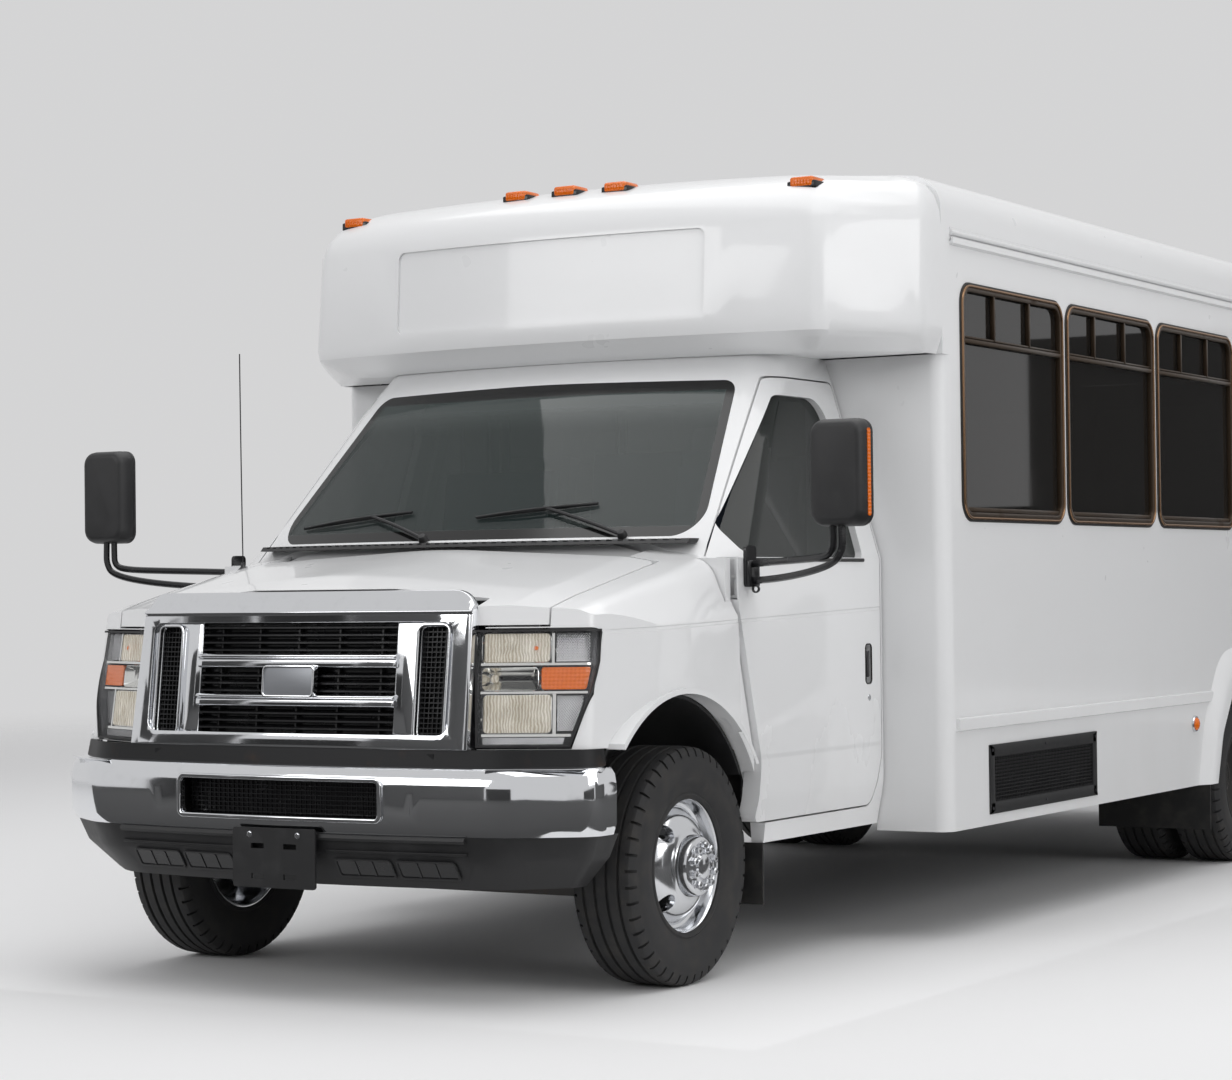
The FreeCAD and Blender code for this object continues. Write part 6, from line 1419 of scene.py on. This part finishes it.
class MINIBUS_OT_windscreen(bpy.types.Operator):
    """Model the wipers and the aerial"""
    bl_idname = "minibus.windscreen"
    bl_label = "Wipers and aerial"

    def execute(self, context):
        finished(wiper(0.60, (0.28, 1.470), (0.04, 1.445), (0.46, 1.482)), "wiper_left", "black")
        finished(wiper(-0.12, (-0.40, 1.455), (-0.72, 1.425), (-0.24, 1.470)), "wiper_right", "black")
        foot = at(-0.860, 0.130, 1.285)
        profile = (
            (0.0, 0.030), (0.006, 0.028), (0.010, 0.012), (0.018, 0.006), (0.020, -0.016), (0.0, -0.016),
        )
        base = turned(profile, foot, UP, 20)
        bends = ((0.0, 0.0, 0.0), (-0.002, -0.004, 0.35), (0.006, -0.016, 0.74))
        whip = rod([foot + Vector(bend) for bend in bends], 0.0022)
        finished(smooth(joined("aerial", [base, whip]), 40.0), "aerial", "gloss_black")
        return {"FINISHED"}


# Lamps on the roof, the sides and the back

# Marker lamps of the brow as X, station and Z; of the back as X; heights of the tail lamps
FRONT_MARKERS = (
    (0.0, 0.903, 2.597), (0.203, 0.905, 2.595), (-0.203, 0.905, 2.595), (0.915, 0.922, 2.556),
    (-0.915, 0.922, 2.556),
)
BACK_MARKERS = (0.0, 0.165, -0.165, 0.330, -0.330)
BACK_MARKER_Z = 2.546
TAIL_X, RED_LAMPS, CLEAR_LAMPS = 1.080, (1.200, 1.050), (0.900,)


def front_marker(x, station, z):
    """Marker lamp of the brow: a black foot, and an amber lens with ribs."""
    foot = block(x - 0.054, x + 0.054, station - 0.056, station + 0.050, z - 0.030, z + 0.002, 0.006)
    cover = block(x - 0.044, x + 0.044, station - 0.058, station + 0.040, z - 0.020, z + 0.0165, 0.010, 3)
    rib = block(x - 0.036, x - 0.033, station - 0.060, station - 0.050, z - 0.012, z + 0.008, 0.001)
    return foot, joined("marker_lens", [cover, row_of(rib, ACROSS * 0.011, 7)])


def back_marker(x):
    """Marker lamp across the back of the roof: a base with a round-edged red lens."""
    s, z = BACK_FACE, BACK_MARKER_Z
    base = block(x - 0.046, x + 0.046, s, s + 0.008, z - 0.016, z + 0.016, 0.002)
    return base, block(x - 0.040, x + 0.040, s + 0.006, s + 0.0195, z - 0.012, z + 0.012, 0.005, 3)


# Profiles of the round lamps, as radius and distance out
TAIL_RING = (
    (0.050, 0.001), (0.0535, 0.001), (0.0535, 0.010), (0.051, 0.0135), (0.048, 0.010), (0.048, 0.004),
    (0.050, 0.001),
)
TAIL_LENS = (
    (0.0, 0.0148), (0.014, 0.0146), (0.016, 0.0128), (0.028, 0.0125), (0.030, 0.0110), (0.042, 0.0105),
    (0.0485, 0.007), (0.0485, 0.002), (0.0, 0.002),
)
SIDE_RING = ((0.027, 0.0), (0.033, 0.0), (0.034, 0.004), (0.031, 0.010), (0.027, 0.010), (0.027, 0.0))
SIDE_DOME = ((0.0, 0.022), (0.012, 0.021), (0.022, 0.017), (0.0265, 0.010), (0.0268, 0.0), (0.0, 0.0))


class MINIBUS_OT_lamps(bpy.types.Operator):
    """Model the rings, feet and lenses of the marker, side and tail lamps"""
    bl_idname = "minibus.lamps"
    bl_label = "Marker and tail lamps"

    def execute(self, context):
        place = at(BODY_HALF, 3.681, 0.629)
        ring, dome = (smooth(turned(profile, place, ACROSS, 32), 40.0) for profile in (SIDE_RING, SIDE_DOME))
        pair(ring, "side_lamp_ring_%s", "bolt")
        pair(dome, "side_lamp_lens_%s", "amber")
        feet, lenses = zip(*[front_marker(*place) for place in FRONT_MARKERS])
        finished(joined("front_marker_feet", feet), "front_marker_feet", "gloss_black")
        whole = finished(smooth(joined("front_markers", lenses), 40.0), "front_marker_lenses", "amber")
        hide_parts("marker_lamps")
        bases, reds = zip(*[back_marker(x) for x in BACK_MARKERS])
        finished(joined("back_marker_bases", bases), "back_marker_bases", "gloss_black")
        finished(smooth(joined("back_markers", reds), 40.0), "back_marker_lenses", "red")
        sets = (
            (TAIL_RING, RED_LAMPS + CLEAR_LAMPS, "tail_lamp_rings_%s", "bolt"),
            (TAIL_LENS, RED_LAMPS, "tail_lamp_lenses_%s", "red"),
            (TAIL_LENS, CLEAR_LAMPS, "reversing_lamp_lenses_%s", "clear_lamp"),
        )
        for profile, heights, name, finish in sets:
            parts = [turned(profile, at(TAIL_X, BACK_FACE, z), BACK, 48) for z in heights]
            for obj in pair(smooth(joined("lamps", parts), 40.0), name, finish):
                if heights == RED_LAMPS:
                    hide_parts("tail_lamps")
        return {"FINISHED"}


# Seats: one padded piece each, on steel legs

def pad(x0, x1, lower, upper, thick, crown, seams):
    """Crowned foam pad between two lines seen from the side, with sewn channels pulled in.

    lower and upper are the ends of its underside as (station, z); thick stands square to them.
    """
    alone()
    bpy.ops.mesh.primitive_cube_add(size=2.0, location=(0.0, 0.0, 0.0))
    obj = bpy.context.object
    bpy.ops.object.mode_set(mode="EDIT")
    bpy.ops.mesh.select_all(action="SELECT")
    bpy.ops.mesh.subdivide(number_cuts=13)
    bpy.ops.object.mode_set(mode="OBJECT")
    start, end = at(0.0, *lower), at(0.0, *upper)
    along = end - start
    normal = Vector((0.0, -along.z, along.y)).normalized()
    middle, half = (x0 + x1) / 2.0, (x1 - x0) / 2.0
    for vertex in obj.data.vertices:
        u, v, w = vertex.co
        edge = max(abs(u), abs(v)) ** 6
        swell = crown * (1.0 - u * u) * (1.0 - v ** 4)
        seam = sum(math.exp(-((u - place) / 0.045) ** 2) for place in seams)
        seam += 0.9 * math.exp(-((max(abs(u), abs(v)) - 0.90) / 0.035) ** 2)
        share = (1.0 if w > 0 else -0.15) * abs(w)
        height = w * thick / 2.0 * (1.0 - 0.22 * edge) + (swell - 0.007 * seam) * share
        pull = 1.0 - 0.012 * (1.0 - v * v)
        place = start + along * ((v + 1.0) / 2.0) + normal * (thick / 2.0 + height)
        vertex.co = (middle + u * half * pull, place.y, place.z)
    obj.data.update()
    return settle(soften(obj, 0.010, 2, 60.0))


def seat(station, x0, x1, floor, rise, name):
    """Seat with a place or two: cushions, leaning backs with head pads, legs and a rear shell."""
    low = floor + rise
    places = 2 if x1 - x0 > 0.6 else 1
    wide = (x1 - x0) / places
    pads = []
    for i in range(places):
        a, b = x0 + i * wide + 0.005, x0 + (i + 1) * wide - 0.005
        for inset, foot, top, thick, crown, seams in SEAT_PADS:
            ends = [(station + s, low + z) for s, z in (foot, top)]
            pads.append(pad(a + inset, b - inset, *ends, thick, crown, seams))
    cushion = smooth(joined(name, pads), 50.0)
    for vertex in cushion.data.vertices:
        vertex.co.z = min(vertex.co.z, low + 0.668)
    steel = []
    middle = (x0 + x1) / 2.0
    for x in (middle - 0.11, middle + 0.11):
        for stations in ((0.10, 0.16, 0.14), (0.34, 0.28, 0.30)):
            heights = (floor + 0.004, floor + rise * 0.5, low + 0.02)
            steel.append(rod([at(x, station + s, z) for s, z in zip(stations, heights)], 0.016))
        s0, z0 = station + 0.06, floor + 0.0005
        steel.append(block(x - 0.02, x + 0.02, s0, station + 0.38, z0, floor + 0.010, 0.003))
    section = (
        (-0.005, 0.002), (0.430, -0.004), (0.555, 0.640), (0.540, 0.648), (0.420, 0.022), (-0.005, 0.014),
    )
    shell = slab([at(x0 + 0.02, station + s, low + z) for s, z in section], ACROSS * (x1 - x0 - 0.04))
    return cushion, joined(name + "_legs", steel), smooth(shell, 30.0)


# Pads of a seat: inset at the sides, foot and top of the underside, thickness, crown and seams
SEAT_PADS = (
    (0.0, (-0.015, 0.012), (0.385, 0.006), 0.100, 0.014, (-0.42, 0.42)),
    (0.0, (0.505, 0.660), (0.398, 0.090), 0.072, 0.012, (-0.42, 0.42)),
    (0.02, (0.522, 0.655), (0.488, 0.480), 0.070, 0.010, ()),
)
BODY_FLOOR_Z = 0.800
# Seats: station, X from and to, floor and rise
SEAT_ROWS = [(0.650, 0.255, 0.725, 0.722, 0.260), (0.650, -0.725, -0.255, 0.722, 0.260)]
SEAT_ROWS += [(1.560 + i * 0.760, 0.300, 1.170, 0.800, 0.330) for i in range(6)]
SEAT_ROWS += [(2.440 + i * 0.760, -1.170, -0.300, 0.800, 0.330) for i in range(5)]


class MINIBUS_OT_seats(bpy.types.Operator):
    """Model the padded seats with their shells and legs"""
    bl_idname = "minibus.seats"
    bl_label = "Seats"

    def execute(self, context):
        made = {}
        for index, (station, x0, x1, floor, rise) in enumerate(SEAT_ROWS):
            name = "seat_%02d" % index
            kind = (round(x1 - x0, 3), rise)
            if kind not in made:
                parts = seat(station, x0, x1, floor, rise, name)
                made[kind] = parts, Vector((x0, station, floor))
            else:
                first, origin = made[kind]
                parts = [copied(part, name) for part in first]
                for part in parts:
                    part.data.transform(Matrix.Translation(Vector((x0, station, floor)) - origin))
            cushion, legs, shell = parts
            finished(cushion, name, "cloth")
            finished(legs, name + "_legs", "bolt_dark")
            finished(shell, name + "_shell", "dark_grey")
            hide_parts("cab_seats" if floor < BODY_FLOOR_Z else "seats")
        return {"FINISHED"}


# Dashboard: instrument hood and vents over the CAD's shape

class MINIBUS_OT_dashboard(bpy.types.Operator):
    """Model the instrument hood and the vents of the dashboard"""
    bl_idname = "minibus.dashboard"
    bl_label = "Dashboard details"

    def execute(self, context):
        section = (
            (0.44, 1.272), (0.50, 1.285), (0.525, 1.262), (0.515, 1.18), (0.505, 1.18), (0.50, 1.25),
            (0.44, 1.256),
        )
        cowl = slab([at(0.28, s, z) for s, z in section], ACROSS * 0.40)
        soften(cowl, 0.004, 2, 30.0)
        finished(smooth(cowl, 40.0), "instrument_hood", "dark_grey")
        vents = []
        for x in (-0.72, -0.30, 0.05, 0.78):
            vents.append(rimmed(rect_xz(x - 0.06, x + 0.06, 1.12, 1.17, 0.519), BACK * 0.010, 0.006, 0.008))
            vents.append(row_of(board(x - 0.056, x + 0.056, 1.128, 1.130, 0.521, 0.006), UP * 0.009, 5))
        finished(smooth(joined("vents", vents), 30.0), "dashboard_vents", "gloss_black")
        return {"FINISHED"}


class MINIBUS_OT_stage(bpy.types.Operator):
    """Lay the studio floor, set the cards, the lamps and the world, and place the camera"""
    bl_idname = "minibus.stage"
    bl_label = "Studio and camera"

    def execute(self, context):
        alone()
        bpy.ops.mesh.primitive_plane_add(size=160.0, location=(0.0, 0.0, 0.0))
        floor = bpy.context.object
        floor.name = "studio_floor"
        f = Finish("studio_floor", tuple(context.scene.minibus_finishes.floor), 0.7)
        f.set(Roughness=0.62 + f.noise(0.8, 4.0) * 0.15)
        across, along, _ = f.axes()
        away = f.maths("SQRT", across * across + along * along)
        f.set(Alpha=1.0 - away.clamp(7.0, 20.0))
        floor.data.materials.append(f.material)
        for name, grey, xs, stations, heights in CARDS:
            card = block(*xs, *stations, *heights)
            card.name = card.data.name = name
            card.data.materials.append(Finish(name, (grey, grey, grey), 0.9).material)
            card.visible_camera = card.visible_shadow = False
            card.visible_diffuse = card.visible_transmission = False
        for name, place, aim, size, power in LAMPS:
            alone()
            bpy.ops.object.light_add(type="AREA", location=place)
            lamp = bpy.context.object
            lamp.name = name
            lamp.data.shape = "RECTANGLE"
            lamp.data.size, lamp.data.size_y = size
            lamp.data.energy = power
            lamp.rotation_euler = (Vector(aim) - Vector(place)).to_track_quat("-Z", "Y").to_euler()
        make_world(context.scene)
        make_camera(context.scene)
        return {"FINISHED"}


# Grey cards that only shiny surfaces reflect: name, grey, then X, station and Z from and to
CARDS = (
    ("front_ground", 0.05, (-15.0, 9.0), (-12.0, -1.0), (0.002, 0.004)),
    ("side_ground", 0.06, (1.7, 11.0), (-1.0, 16.0), (0.002, 0.004)),
    ("front_block_far", 0.10, (-15.0, -10.6), (-12.0, -11.8), (0.0, 4.6)),
    ("front_block_low", 0.05, (-10.3, -6.4), (-12.2, -12.0), (0.0, 2.6)),
    ("front_block_tall", 0.13, (-6.0, -1.6), (-11.8, -11.6), (0.0, 5.2)),
    ("front_block_near", 0.06, (-1.2, 4.5), (-12.0, -11.8), (0.0, 2.2)),
    ("side_block_low", 0.07, (10.0, 10.2), (-9.0, -1.0), (0.0, 1.9)),
    ("side_block_tall", 0.12, (10.4, 10.6), (-0.4, 9.0), (0.0, 3.0)),
    ("rear_block_1", 0.09, (3.0, 6.0), (23.0, 23.2), (0.0, 3.4)),
    ("rear_block_2", 0.05, (6.0, 7.6), (23.2, 23.4), (0.0, 2.4)),
    ("rear_block_3", 0.12, (7.6, 10.0), (23.0, 23.2), (0.0, 4.0)),
    ("rear_block_4", 0.06, (10.0, 11.2), (23.2, 23.4), (0.0, 2.1)),
    ("rear_block_5", 0.10, (11.2, 16.0), (23.0, 23.2), (0.0, 3.1)),
)


# Studio lamps: name, place, aim, size and power
LAMPS = (
    ("overhead_soft", (1.0, -1.0, 9.0), (0.0, 0.0, 0.0), (9.0, 14.0), 560.0),
    ("front_soft", (-4.0, -13.0, 5.5), (0.0, -3.0, 1.2), (7.0, 4.0), 280.0),
    ("side_soft", (12.0, -4.0, 5.0), (0.0, 0.0, 1.2), (8.0, 4.0), 300.0),
)


# Nodes of the world and their links; the two maximums pick the rays that see the plain backdrop
WORLD_NODES = {
    "coordinates": "TexCoord", "parts": "SeparateXYZ", "shift": "Math", "ramp": "ValToRGB",
    "sky": "Background", "plain": "Background", "paths": "LightPath", "seen": "Math", "shiny": "Math",
    "mix": "MixShader", "out": "OutputWorld",
}
WORLD_LINKS = (
    ("coordinates", "Generated", "parts", 0), ("parts", "Z", "shift", 0), ("shift", 0, "ramp", 0),
    ("ramp", 0, "sky", 0), ("paths", "Is Camera Ray", "seen", 0),
    ("paths", "Is Transmission Ray", "seen", 1), ("seen", 0, "shiny", 0),
    ("paths", "Is Glossy Ray", "shiny", 1), ("shiny", 0, "mix", 0), ("sky", 0, "mix", 1),
    ("plain", 0, "mix", 2), ("mix", 0, "out", 0),
)
SKY_STOPS = ((0.0, 0.42), (0.5, 0.40), (0.56, 0.52), (0.72, 0.88), (1.0, 0.95))
SKY_STRENGTH, BACKDROP = 0.55, (0.66, 0.66, 0.665, 1.0)


def make_world(scene):
    """Soft sky that lights the bus; the camera, glass and bright metal see a plain backdrop."""
    world = bpy.data.worlds.new("studio_world")
    scene.world = world
    world.use_nodes = True
    tree = world.node_tree
    tree.nodes.clear()
    nodes = {name: tree.nodes.new("ShaderNode" + kind) for name, kind in WORLD_NODES.items()}
    for source, output, target, socket in WORLD_LINKS:
        tree.links.new(nodes[source].outputs[output], nodes[target].inputs[socket])
    nodes["shift"].operation = "MULTIPLY_ADD"
    nodes["shift"].inputs[1].default_value = nodes["shift"].inputs[2].default_value = 0.5
    nodes["seen"].operation = nodes["shiny"].operation = "MAXIMUM"
    stops = nodes["ramp"].color_ramp.elements
    while len(stops) < len(SKY_STOPS):
        stops.new(1.0)
    for stop, (place, value) in zip(stops, SKY_STOPS):
        stop.position = place
        stop.color = (value, value, value * 1.02, 1.0)
    nodes["sky"].inputs["Strength"].default_value = SKY_STRENGTH
    nodes["plain"].inputs["Color"].default_value = BACKDROP


# Camera: place, then heading, tilt and roll in degrees, then focal length in millimetres
CAMERA_PLACE = (5.27035, -10.62136, 1.21047)
CAMERA_TURN = (30.88, 0.965, -0.688)
CAMERA_LENS = 84.097


def make_camera(scene):
    """Camera of the photograph: its place, its heading, tilt and roll in degrees, and its lens."""
    a, e, r = (math.radians(v) for v in CAMERA_TURN)
    forward = Vector((-math.sin(a) * math.cos(e), math.cos(a) * math.cos(e), math.sin(e)))
    level = Vector((math.cos(a), math.sin(a), 0.0))
    up = level.cross(forward)
    right = level * math.cos(r) + up * math.sin(r)
    top = up * math.cos(r) - level * math.sin(r)
    data = bpy.data.cameras.new("photo_camera")
    data.sensor_width = 36.0
    data.lens = CAMERA_LENS
    data.clip_start, data.clip_end = 0.1, 300.0
    camera = bpy.data.objects.new("photo_camera", data)
    scene.collection.objects.link(camera)
    turn = Matrix((right, top, -forward)).transposed().to_4x4()
    camera.matrix_world = Matrix.Translation(CAMERA_PLACE) @ turn
    scene.camera = camera
    scene.view_settings.view_transform = "Standard"


STEPS = (
    MINIBUS_OT_bodywork, MINIBUS_OT_grille, MINIBUS_OT_headlamps, MINIBUS_OT_bumper, MINIBUS_OT_wheels,
    MINIBUS_OT_windows, MINIBUS_OT_lamps, MINIBUS_OT_body_fittings, MINIBUS_OT_mirrors,
    MINIBUS_OT_door_furniture, MINIBUS_OT_windscreen, MINIBUS_OT_seats, MINIBUS_OT_dashboard,
    MINIBUS_OT_stage,
)


class MINIBUS_PT_panel(bpy.types.Panel):
    """Colours of the minibus, and the steps that build it"""
    bl_idname = "MINIBUS_PT_panel"
    bl_label = "Minibus"
    bl_space_type = "VIEW_3D"
    bl_region_type = "UI"
    bl_category = "Minibus"

    def draw(self, context):
        finishes = context.scene.minibus_finishes
        for key in ("paint", "window_tint", "floor"):
            self.layout.prop(finishes, key)
        for step in STEPS:
            self.layout.operator(step.bl_idname)


CLASSES = (MinibusFinishes,) + STEPS + (MINIBUS_PT_panel,)


def register():
    for cls in CLASSES:
        bpy.utils.register_class(cls)
    bpy.types.Scene.minibus_finishes = bpy.props.PointerProperty(type=MinibusFinishes)


def unregister():
    del bpy.types.Scene.minibus_finishes
    for cls in reversed(CLASSES):
        bpy.utils.unregister_class(cls)


def main():
    register()
    for step in STEPS:
        getattr(bpy.ops.minibus, step.bl_idname.split(".")[1])()


if __name__ == "__main__":
    main()
